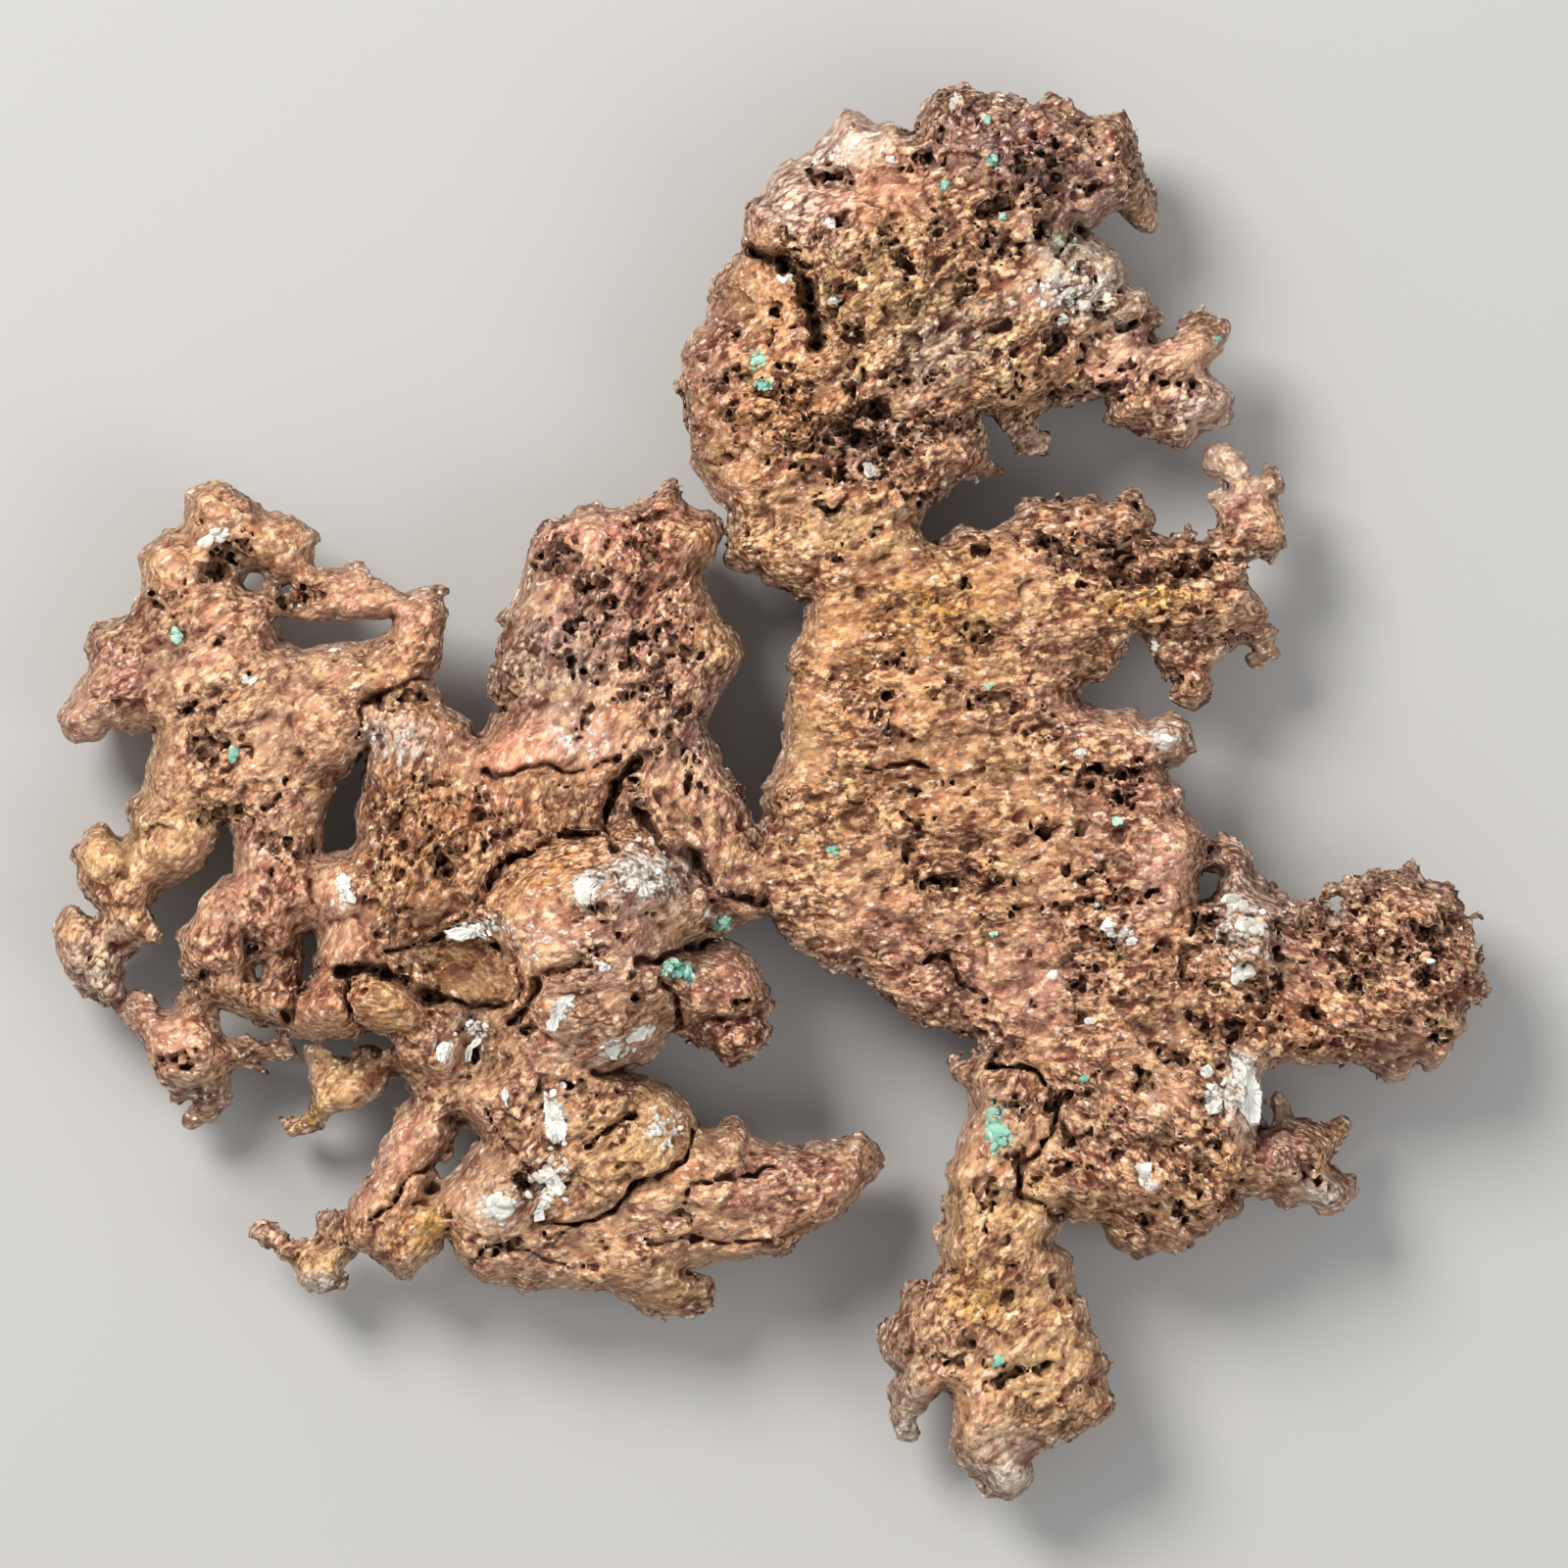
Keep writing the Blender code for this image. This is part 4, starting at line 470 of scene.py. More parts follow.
LUMPS = [
    (331, 1022, 31, 35, 0, 2.6), (396, 1027, 38, 32, 0, 2.8), (612, 960, 100, 110, 0, 2.6),
    (640, 890, 70, 45, 20, 1.6), (735, 1000, 45, 38, 0, 1.6), (750, 1062, 34, 24, 0, 1.4),
    (420, 880, 75, 80, 0, 1.6), (345, 905, 26, 34, 0, 1.2), (350, 962, 36, 22, 25, 1.0),
    (190, 1078, 45, 30, 20, 1.2), (420, 1262, 38, 34, 0, 1.6), (508, 1230, 40, 36, 0, 1.4),
    (640, 1185, 75, 42, -30, 1.6), (610, 1115, 55, 26, 10, 1.4), (785, 1215, 110, 32, -10, 1.4),
    (640, 1300, 90, 26, 8, 1.2), (330, 1305, 30, 22, 0, 1.0), (275, 1262, 22, 14, 20, 0.8),
    (230, 520, 45, 28, 15, 1.6), (285, 550, 42, 26, 25, 1.4), (160, 575, 34, 36, 0, 1.4),
    (110, 670, 36, 44, 0, 1.2), (90, 735, 40, 24, 0, 1.2), (230, 700, 60, 40, 0, 1.2),
    (345, 755, 36, 60, 35, 1.6), (180, 860, 55, 28, -15, 1.4), (95, 870, 30, 34, 20, 1.4),
    (68, 960, 24, 46, -15, 1.4), (105, 1000, 24, 26, 0, 1.6), (225, 950, 46, 44, 0, 1.6),
    (285, 1010, 30, 34, 0, 1.4), (400, 625, 60, 24, 0, 1.2), (425, 655, 28, 24, 0, 1.0),
    (535, 765, 60, 26, 5, 1.6), (530, 690, 36, 26, -40, 1.2), (560, 640, 50, 22, -40, 1.2),
    (600, 560, 60, 24, -35, 1.2), (690, 540, 45, 34, 0, 1.4), (740, 655, 28, 40, 0, 1.2),
    (655, 650, 50, 22, -35, 1.0), (720, 800, 34, 44, 60, 1.4), (800, 380, 80, 60, 0, 1.4),
    (770, 225, 26, 50, 25, 1.2), (900, 150, 60, 26, 5, 1.4), (880, 260, 70, 60, 0, 1.6),
    (1000, 130, 70, 30, 15, 1.4), (1120, 150, 46, 36, 0, 1.4), (1115, 215, 26, 22, 0, 1.6),
    (1090, 300, 50, 46, 0, 1.4), (1150, 300, 34, 26, 0, 1.2), (1215, 360, 44, 22, -25, 1.2),
    (1230, 405, 34, 26, 0, 1.4), (970, 400, 70, 34, 20, 1.2), (850, 560, 90, 34, 5, 1.2),
    (1115, 535, 60, 26, 5, 1.4), (1253, 468, 24, 24, 0, 1.4), (1300, 490, 16, 16, 0, 1.0),
    (1215, 700, 28, 24, 0, 1.4), (1225, 615, 40, 24, 5, 1.2), (1190, 755, 34, 26, 0, 1.6),
    (1150, 745, 70, 18, 0, 1.0), (900, 720, 80, 40, 10, 1.0), (1000, 820, 110, 34, 0, 1.0),
    (930, 1015, 70, 22, 30, 1.4), (1190, 860, 46, 70, 0, 1.4), (1256, 885, 26, 32, 0, 1.6),
    (1270, 950, 34, 46, -20, 1.8), (1430, 930, 60, 26, 10, 1.4), (1400, 1020, 60, 30, 10, 1.4),
    (1490, 985, 34, 34, 0, 1.4), (1290, 1050, 40, 24, 0, 1.4), (1270, 1110, 22, 46, -12, 1.6),
    (1190, 1130, 70, 36, 0, 1.4), (1150, 1200, 80, 30, 15, 1.4), (1320, 1180, 36, 30, -30, 1.4),
    (1360, 1225, 30, 20, -20, 1.2), (1065, 1200, 26, 40, 0, 1.6), (1020, 1140, 34, 44, 0, 1.4),
    (1030, 1270, 60, 44, 0, 1.2), (960, 1350, 50, 36, 0, 1.4), (1060, 1370, 60, 50, 0, 1.2),
    (1035, 1500, 44, 34, 0, 1.4), (925, 1430, 24, 44, 10, 1.4), (1110, 1410, 30, 46, -20, 1.0),
]

PITS = [
    (232, 572, 32, 15, 35, 5.0), (300, 612, 24, 10, 30, 3.0), (215, 765, 18, 18, 0, 2.2),
    (230, 828, 22, 10, 0, 3.4), (180, 1085, 18, 9, 0, 4.0), (212, 995, 10, 6, 0, 2.4),
    (254, 966, 12, 7, 30, 3.6), (262, 990, 7, 12, 0, 4.4), (290, 860, 26, 14, -35, 2.2),
    (453, 880, 12, 20, 15, 3.4), (420, 712, 26, 9, 8, 2.6), (440, 800, 14, 12, 0, 2.0),
    (570, 570, 34, 18, -20, 1.8), (602, 600, 10, 9, 0, 4.4), (580, 645, 12, 14, 0, 2.2),
    (640, 680, 24, 7, -10, 2.6), (600, 690, 30, 7, -35, 2.0), (660, 560, 22, 14, -60, 2.0),
    (675, 600, 24, 16, 0, 1.8), (685, 665, 30, 8, -15, 2.0), (505, 720, 12, 7, 20, 2.4),
    (648, 795, 9, 18, 20, 4.6), (690, 765, 16, 8, -35, 2.0), (712, 800, 12, 8, 0, 2.0),
    (400, 995, 44, 8, 15, 5.5), (437, 1018, 16, 8, 50, 5.0), (486, 1078, 8, 13, 0, 4.6),
    (535, 1050, 12, 8, -10, 4.6), (590, 1110, 14, 8, 0, 3.0), (540, 1205, 22, 10, 20, 2.6),
    (505, 1272, 16, 6, 10, 2.4), (610, 930, 16, 10, 0, 1.8), (585, 985, 30, 9, 10, 1.8),
    (765, 1018, 12, 8, 0, 1.4), (455, 1262, 6, 18, 0, 4.0), (805, 268, 26, 12, 15, 5.5),
    (828, 295, 12, 26, 10, 5.5), (834, 340, 7, 26, 0, 5.0), (793, 324, 6, 9, 0, 4.0),
    (850, 182, 26, 10, -8, 3.0), (855, 228, 8, 9, 0, 2.4), (918, 262, 8, 14, 25, 3.6),
    (925, 282, 9, 12, 30, 3.6), (985, 292, 9, 16, -30, 3.4), (870, 345, 24, 12, -25, 2.8),
    (740, 392, 16, 9, 0, 2.2), (762, 385, 9, 8, 0, 2.2), (870, 395, 7, 22, 0, 3.4),
    (888, 420, 14, 13, 0, 4.4), (880, 452, 34, 9, -20, 4.4), (838, 517, 13, 7, -15, 4.4),
    (935, 507, 16, 8, 0, 3.6), (830, 480, 40, 9, -10, 2.0), (1060, 158, 12, 7, 20, 3.2),
    (1040, 170, 20, 6, -45, 3.0), (1010, 215, 18, 10, 0, 3.2), (1075, 180, 8, 26, 10, 3.4),
    (1066, 235, 10, 16, 0, 4.4), (1096, 248, 5, 18, 0, 5.0), (1105, 195, 40, 5, 8, 2.6),
    (1025, 255, 16, 10, 0, 3.0), (1074, 350, 12, 17, 0, 5.0), (1110, 362, 12, 10, 0, 3.0),
    (1150, 332, 26, 5, 25, 3.4), (1125, 395, 26, 8, -10, 2.4), (1190, 390, 44, 7, -12, 2.0),
    (965, 112, 13, 11, 0, 2.6), (945, 165, 16, 9, 20, 3.4), (998, 562, 10, 9, 0, 3.6),
    (1062, 550, 30, 12, -25, 3.2), (1092, 572, 16, 8, -35, 3.4), (1135, 572, 16, 22, 20, 3.8),
    (1158, 578, 8, 7, 0, 3.0), (1142, 592, 12, 10, 0, 3.0), (1175, 596, 18, 5, 0, 2.2),
    (1208, 580, 16, 13, 20, 3.2), (1233, 575, 8, 18, 40, 3.0), (1180, 640, 22, 7, -5, 2.4),
    (1202, 697, 11, 10, 0, 4.0), (1270, 650, 12, 6, 0, 2.6), (920, 680, 12, 7, 0, 2.2),
    (1000, 650, 14, 16, 30, 2.0), (1010, 712, 34, 7, -12, 1.8), (1070, 742, 20, 16, 0, 2.0),
    (1086, 785, 13, 7, 0, 3.6), (1113, 783, 9, 6, 0, 3.0), (908, 712, 14, 10, 30, 2.0),
    (910, 745, 20, 5, -25, 2.2), (930, 810, 10, 5, 0, 2.4), (930, 840, 10, 5, 0, 2.8),
    (925, 870, 16, 8, -10, 2.2), (1062, 848, 13, 9, 25, 3.8), (985, 900, 44, 6, 0, 2.4),
    (1138, 812, 20, 6, -32, 3.4), (1155, 788, 14, 10, 0, 2.6), (1105, 922, 26, 7, 10, 3.4),
    (1160, 914, 28, 5, 10, 2.6), (1105, 895, 18, 6, -10, 2.4), (1190, 970, 12, 9, 0, 2.6),
    (1232, 938, 16, 9, 0, 3.2), (1206, 985, 8, 16, -20, 3.8), (1300, 970, 9, 15, 20, 4.4),
    (1240, 955, 18, 8, -20, 2.4), (1218, 1040, 16, 9, -40, 3.4), (1258, 1055, 12, 15, 30, 4.2),
    (1338, 1038, 13, 10, 10, 4.4), (1290, 1040, 40, 5, 0, 1.8), (1366, 918, 26, 4, 0, 2.4),
    (1449, 985, 9, 14, 25, 4.8), (1463, 1020, 10, 8, 0, 3.4), (1470, 1056, 9, 8, 0, 3.2),
    (1400, 1000, 44, 8, 12, 2.2), (1470, 965, 26, 7, -25, 2.0), (1360, 1065, 34, 8, 0, 2.4),
    (1485, 930, 34, 5, 20, 1.8), (1165, 1098, 8, 16, 0, 3.4), (1195, 1076, 20, 6, -12, 3.4),
    (1085, 1120, 30, 8, 35, 3.6), (1095, 1165, 24, 5, 35, 2.8), (1095, 1190, 30, 5, 15, 2.6),
    (1040, 1190, 6, 16, 10, 3.0), (1200, 1229, 7, 7, 0, 3.4), (1205, 1247, 5, 4, 0, 2.4),
    (1262, 1215, 6, 12, 0, 2.8), (1345, 1205, 20, 7, -40, 2.4), (1035, 1128, 12, 8, 0, 2.2),
    (1012, 1232, 4, 16, 0, 1.8), (1035, 1292, 6, 4, 0, 1.8), (975, 1388, 30, 5, -5, 2.0),
    (1035, 1400, 30, 5, 25, 1.8), (1060, 1395, 10, 6, 0, 1.6), (990, 1362, 6, 14, -20, 1.4),
    (1093, 1328, 10, 5, 0, 2.0),
]

SHELVES = [
    ((1050, 780), (860, 790), 1.3, 50), ((1040, 742), (885, 748), 0.9, 34),
    ((1035, 900), (930, 905), 1.4, 44), ((1010, 1020), (955, 972), 1.6, 40),
    ((1170, 780), (1090, 800), 1.6, 50), ((1080, 640), (960, 660), 0.9, 36),
    ((1045, 560), (800, 565), 0.7, 30), ((1230, 640), (1150, 630), 1.4, 40),
    ((880, 470), (745, 505), 1.2, 40), ((1060, 1140), (1120, 1190), 1.4, 40),
    ((1250, 1180), (1120, 1140), 0.8, 36), ((700, 1180), (568, 1246), 1.8, 50),
    ((830, 610), (750, 575), 1.4, 30), ((640, 1160), (580, 1170), 1.2, 30),
    ((380, 965), (500, 925), 1.8, 50), ((440, 1213), (368, 1254), 1.4, 30),
    ((1440, 920), (1345, 915), 1.4, 34), ((1380, 985), (1460, 1000), 1.2, 34),
    ((300, 812), (345, 842), 1.2, 30), ((560, 850), (640, 842), 1.6, 40), ((725, 905), (655, 850), 1.4, 40),
]

FEET = [
    (880, 300, 130, 90, 40, 6.2), (1040, 170, 90, 60, 20, 5.6), (1045, 1400, 80, 70, 0, 7.4),
    (1425, 1000, 80, 70, 0, 7.2), (130, 690, 70, 60, 0, 7.4), (600, 1210, 110, 80, 15, 6.2),
    (150, 870, 50, 36, 10, 6.0), (1200, 1180, 90, 60, 10, 6.0), (560, 620, 60, 90, 20, 7.4),
    (1150, 570, 80, 50, 0, 6.8), (950, 780, 160, 70, 40, 4.2), (440, 800, 70, 80, 0, 3.4),
]

# Run of the metal's ledges and streaks: x, y, reach, turn in degrees, height in mm
RUNS = [
    (900, 700, 120, 25, 0.24), (1000, 850, 140, 30, 0.26), (1100, 600, 90, 12, 0.32),
    (860, 560, 70, 20, 0.50), (1150, 850, 80, 40, 0.26), (950, 950, 90, -25, 0.34),
    (1050, 1000, 80, -10, 0.50), (840, 180, 70, 35, 0.25), (1050, 150, 80, -20, 0.35),
    (900, 300, 80, 55, 0.30), (970, 370, 60, 35, 0.45), (780, 420, 70, -25, 0.35), (900, 460, 60, 15, 0.40),
    (1100, 310, 60, -20, 0.30), (1000, 440, 50, -30, 0.35), (1190, 350, 50, 20, 0.12),
    (1190, 410, 50, -10, 0.15), (1150, 550, 70, 10, 0.35), (1250, 600, 60, 0, 0.25),
    (1350, 960, 90, -15, 0.35), (1450, 1000, 70, -30, 0.30), (1120, 1130, 70, -35, 0.40),
    (1200, 1200, 70, -30, 0.30), (1320, 1180, 50, 10, 0.15), (1010, 1150, 50, 70, 0.35),
    (1020, 1280, 60, 50, 0.30), (1050, 1400, 80, 45, 0.30), (950, 1370, 50, 20, 0.25),
    (1020, 1490, 40, 60, 0.15), (590, 600, 70, 55, 0.50), (660, 580, 70, 50, 0.45),
    (640, 700, 70, 60, 0.40), (730, 800, 50, -62, 0.40), (420, 850, 60, -70, 0.20), (520, 770, 50, 0, 0.08),
    (440, 900, 60, 60, 0.20), (620, 900, 70, 10, 0.25), (700, 900, 60, -30, 0.30), (650, 990, 60, 20, 0.20),
    (500, 1100, 70, 60, 0.30), (620, 1160, 60, 20, 0.35), (650, 1250, 80, 15, 0.35),
    (780, 1200, 80, 15, 0.40), (700, 1310, 60, 10, 0.30), (560, 1290, 60, 10, 0.30),
    (400, 1190, 60, 55, 0.40), (240, 700, 80, 50, 0.30), (230, 560, 60, -30, 0.30), (380, 620, 50, 5, 0.25),
    (180, 870, 60, 50, 0.25), (100, 960, 50, 70, 0.20), (290, 850, 60, 70, 0.30), (250, 930, 50, 60, 0.25),
    (470, 1000, 50, 10, 0.05), (150, 1050, 50, 0, 0.10),
]

# How rough the skin is, 1 being the common roughness: x, y, half length, half width, turn, share, value
ROUGH = [
    (900, 300, 230, 260, 0, 0.9, 0.95), (950, 780, 200, 200, 0, 0.8, 0.75),
    (620, 620, 110, 110, 0, 0.9, 0.48), (430, 850, 90, 90, 0, 0.9, 0.88),
    (250, 680, 170, 150, 0, 0.9, 0.45), (1150, 1140, 120, 90, -20, 0.9, 0.80),
    (600, 1230, 220, 90, 10, 0.8, 0.48), (650, 940, 110, 90, 0, 0.8, 0.52),
    (260, 900, 90, 110, 0, 0.9, 0.50), (1420, 970, 120, 90, -10, 0.9, 1.35),
    (1290, 1000, 60, 80, 0, 0.7, 1.20), (1070, 160, 110, 70, -10, 0.8, 1.15),
    (900, 430, 110, 70, 0, 0.8, 1.20), (420, 860, 70, 80, 0, 0.7, 1.10), (1190, 570, 90, 60, 0, 0.6, 1.05),
    (1040, 1360, 110, 130, 0, 0.9, 0.48), (900, 200, 60, 50, 0, 0.8, 0.50),
    (860, 145, 60, 30, 10, 0.8, 0.40), (720, 770, 55, 75, -40, 0.8, 0.42), (540, 768, 64, 30, 5, 1.0, 0.14),
    (590, 750, 50, 32, 0, 0.6, 0.35), (150, 1045, 50, 30, -20, 0.9, 0.35),
    (200, 1080, 90, 34, 0, 0.7, 0.40), (400, 1190, 74, 26, 55, 0.8, 0.35),
    (340, 1110, 64, 34, 0, 0.8, 0.35), (331, 1022, 32, 36, 0, 0.8, 0.40), (396, 1027, 38, 34, 0, 0.7, 0.45),
    (470, 1000, 70, 36, 0, 0.9, 0.22), (735, 1000, 52, 42, 0, 0.6, 0.50), (1108, 215, 28, 26, 0, 0.9, 0.25),
    (1210, 350, 60, 30, 20, 0.7, 0.45), (1210, 410, 55, 28, 0, 0.6, 0.45),
    (1180, 745, 55, 28, 0, 0.6, 0.50), (400, 620, 60, 26, 0, 0.5, 0.45), (180, 850, 60, 30, 10, 0.6, 0.40),
    (85, 930, 44, 100, 0, 0.6, 0.45), (1030, 1500, 50, 36, 0, 0.7, 0.35),
    (925, 1430, 24, 48, 10, 0.7, 0.35), (1350, 1220, 40, 26, 0, 0.7, 0.40),
    (1310, 1170, 44, 40, 0, 0.5, 0.45), (800, 1200, 100, 36, 10, 0.5, 0.50),
    (440, 1255, 36, 34, 0, 0.6, 0.40), (320, 1295, 50, 26, 0, 0.7, 0.35), (1260, 470, 36, 40, 0, 0.5, 0.50),
    (1190, 870, 60, 80, 0, 0.5, 0.50),
]

# Places full of small pores: x, y, half length, half width, turn, how many, least and largest radius in mm
POROUS = [
    (600, 590, 75, 70, 55, 55, 0.28, 0.80), (680, 560, 50, 40, 55, 24, 0.28, 0.90),
    (650, 680, 62, 55, 60, 40, 0.28, 0.75), (710, 750, 50, 55, 60, 24, 0.25, 0.60),
    (1050, 150, 110, 60, -10, 95, 0.28, 0.85), (900, 280, 95, 70, 30, 50, 0.25, 0.75),
    (780, 410, 75, 60, -20, 60, 0.30, 0.90), (900, 440, 85, 50, 10, 75, 0.30, 1.00),
    (1030, 400, 75, 55, 20, 55, 0.28, 0.80), (1120, 300, 60, 50, 0, 34, 0.25, 0.75),
    (920, 700, 100, 95, 10, 14, 0.24, 0.60), (1040, 870, 120, 95, 10, 20, 0.24, 0.60),
    (1000, 640, 95, 50, 10, 10, 0.24, 0.60), (1110, 960, 75, 60, -10, 22, 0.25, 0.75),
    (1130, 560, 95, 42, 5, 60, 0.25, 0.85), (1240, 600, 55, 60, 0, 34, 0.25, 0.80),
    (1400, 960, 115, 62, -10, 110, 0.30, 1.15), (1290, 1000, 55, 80, 0, 46, 0.28, 0.95),
    (1200, 1150, 85, 52, -30, 50, 0.25, 0.85), (1210, 1220, 60, 40, 0, 28, 0.25, 0.75),
    (1030, 1320, 70, 85, 0, 10, 0.22, 0.50), (1080, 1420, 50, 50, 0, 6, 0.22, 0.50),
    (420, 860, 66, 70, 0, 70, 0.28, 0.75), (480, 830, 55, 30, 0, 34, 0.25, 0.65),
    (240, 720, 85, 62, 50, 18, 0.25, 0.65), (240, 560, 65, 40, -20, 16, 0.28, 0.80),
    (390, 645, 60, 40, 0, 12, 0.25, 0.65), (290, 860, 50, 70, 0, 12, 0.25, 0.60),
    (180, 880, 45, 45, 0, 8, 0.22, 0.50), (500, 1080, 65, 62, 0, 18, 0.25, 0.75),
    (620, 1130, 62, 42, 0, 16, 0.25, 0.65), (700, 1240, 90, 42, 10, 14, 0.22, 0.55),
    (600, 1280, 85, 32, 0, 12, 0.22, 0.60), (640, 960, 75, 70, 0, 20, 0.22, 0.60),
    (860, 560, 90, 36, 5, 8, 0.24, 0.60), (960, 1000, 90, 30, -30, 8, 0.24, 0.60),
]

# Places where small knobs have grown: the same columns
KNOBBY = [
    (1480, 980, 45, 75, 0, 60, 0.35, 0.85), (1400, 940, 90, 50, -10, 60, 0.35, 0.85),
    (1390, 1050, 90, 34, 10, 40, 0.35, 0.80), (1060, 150, 105, 60, -10, 80, 0.30, 0.80),
    (800, 430, 80, 50, -10, 60, 0.30, 0.75), (940, 450, 70, 40, 0, 44, 0.30, 0.75),
    (1150, 300, 50, 50, 0, 34, 0.30, 0.70), (1260, 600, 50, 60, 0, 34, 0.30, 0.75),
    (1270, 480, 40, 55, 0, 24, 0.30, 0.70), (1150, 540, 80, 36, 5, 34, 0.30, 0.70),
    (420, 860, 70, 75, 0, 70, 0.28, 0.60), (1000, 760, 170, 150, 0, 90, 0.28, 0.60),
    (1180, 1160, 90, 60, -20, 60, 0.28, 0.70), (1050, 1360, 90, 110, 0, 50, 0.25, 0.55),
    (240, 620, 100, 100, 0, 70, 0.28, 0.65), (250, 900, 80, 80, 0, 44, 0.28, 0.60),
    (560, 1170, 110, 80, 0, 60, 0.28, 0.65), (620, 640, 90, 100, 0, 40, 0.28, 0.60),
    (640, 940, 80, 70, 0, 40, 0.28, 0.60), (900, 260, 100, 80, 0, 50, 0.28, 0.65),
]

# Open cracks and creases: width in mm, depth in mm, route
CRACKS = [
    (2.1, 7.0, [(768, 262), (785, 267), (803, 272), (818, 283), (826, 300), (827, 320), (831, 342),
                (833, 358)]),
    (0.6, 2.0, [(607, 660), (616, 640), (632, 612)]),
    (0.7, 2.5, [(568, 1247), (590, 1248), (610, 1245), (625, 1232), (640, 1215), (670, 1196), (700, 1181),
                (710, 1160)]),
    (0.6, 2.0, [(600, 1165), (625, 1155), (650, 1140)]),
    (0.6, 2.0, [(155, 605), (168, 618), (175, 632)]),
    (0.7, 2.2, [(958, 976), (975, 983), (985, 1000), (1005, 1022)]),
    (0.8, 3.0, [(1013, 1083), (1030, 1090), (1050, 1093), (1066, 1103), (1078, 1118), (1075, 1140),
                (1070, 1160),
                (1055, 1175), (1040, 1190), (1042, 1210), (1052, 1225), (1068, 1236), (1084, 1243)]),
    (0.6, 2.0, [(1080, 1150), (1092, 1166), (1105, 1180)]),
    (0.6, 2.0, [(1070, 1180), (1095, 1190), (1118, 1195)]),
    (0.6, 2.2, [(498, 920), (480, 935), (455, 950), (420, 962), (390, 972)]),
    (0.5, 1.4, [(735, 1040), (755, 1036), (775, 1040)]),
    (0.7, 2.4, [(468, 684), (438, 690), (404, 700), (378, 715)]),
    (0.6, 2.0, [(355, 770), (366, 745), (374, 722)]),
    (0.6, 2.0, [(280, 640), (290, 650), (300, 655)]),
    (0.5, 1.5, [(240, 770), (250, 766), (262, 768)]),
    (0.7, 3.0, [(708, 498), (722, 512), (735, 525), (740, 545), (735, 570)]),
    (0.6, 1.8, [(1243, 850), (1232, 880), (1226, 915), (1220, 950)]),
    (0.6, 2.2, [(870, 385), (868, 405), (872, 425), (880, 445)]),
    (0.6, 2.0, [(1096, 235), (1090, 250), (1078, 262)]),
    (0.5, 1.5, [(490, 1130), (515, 1165), (540, 1190), (560, 1205)]),
    (0.5, 1.5, [(480, 1290), (500, 1275), (540, 1280), (575, 1295)]),
    (0.5, 1.4, [(660, 1270), (700, 1262), (750, 1268), (800, 1262)]),
    (0.5, 1.4, [(700, 1215), (740, 1200), (790, 1195)]),
    (0.6, 1.8, [(470, 1160), (440, 1190), (400, 1225), (380, 1245)]),
    (1.1, 4.0, [(498, 904), (501, 889), (523, 877), (536, 869), (555, 860), (571, 857), (587, 853),
                (609, 851)]),
    (1.2, 4.0, [(650, 778), (640, 792), (632, 800), (628, 812), (619, 824), (618, 844), (624, 857),
                (624, 870)]),
    (1.9, 3.0, [(645, 831), (661, 844), (680, 857), (699, 873), (715, 889), (726, 906)]),
    (0.8, 2.5, [(726, 906), (745, 914), (765, 922), (785, 925)]),
    (1.7, 5.0, [(356, 990), (378, 986), (393, 992), (405, 1000), (418, 1008), (432, 1017), (447, 1025)]),
    (1.2, 3.6, [(357, 998), (356, 1016), (361, 1041), (372, 1056)]),
    (1.1, 3.0, [(329, 987), (313, 1003), (300, 1029), (294, 1036)]),
    (0.9, 2.4, [(450, 1021), (479, 1027), (504, 1032), (517, 1026), (529, 1015), (530, 997), (522, 975),
                (510, 963)]),
    (1.4, 3.5, [(549, 1003), (543, 1019), (533, 1030), (525, 1038)]),
    (1.1, 3.0, [(651, 984), (680, 975), (705, 968), (728, 961)]),
    (1.0, 2.6, [(676, 995), (682, 1006), (692, 1019), (695, 1040), (689, 1056)]),
    (1.4, 4.0, [(612, 1094), (630, 1095), (651, 1092)]),
    (0.7, 2.0, [(886, 786), (907, 785), (928, 782), (949, 786)]),
    (0.9, 2.4, [(938, 903), (960, 896), (987, 894), (1008, 899)]),
    (0.7, 1.8, [(493, 785), (503, 790), (537, 785), (574, 788), (586, 791), (604, 778), (628, 774)]),
]

# Colours the metal shows, as red, green and blue to 255
AMBER = (200, 140, 85)
SAND = (205, 168, 115)
TAN = (190, 148, 122)
BROWN = (160, 115, 85)
UMBER = (155, 105, 60)
ORANGE = (190, 120, 75)
OCHRE = (180, 130, 75)
RUST = (165, 100, 75)
BRICK = (135, 78, 68)
ROSE = (180, 128, 115)
PLUM = (145, 95, 90)
CORAL = (210, 140, 115)
PINK = (215, 168, 152)
MAUVE = (160, 125, 122)
DUSK = (140, 110, 110)
GREY = (148, 135, 125)
GOLD = (215, 165, 80)
SHELL = (228, 204, 192)
ASH = (190, 180, 168)
CREAM = (225, 222, 205)

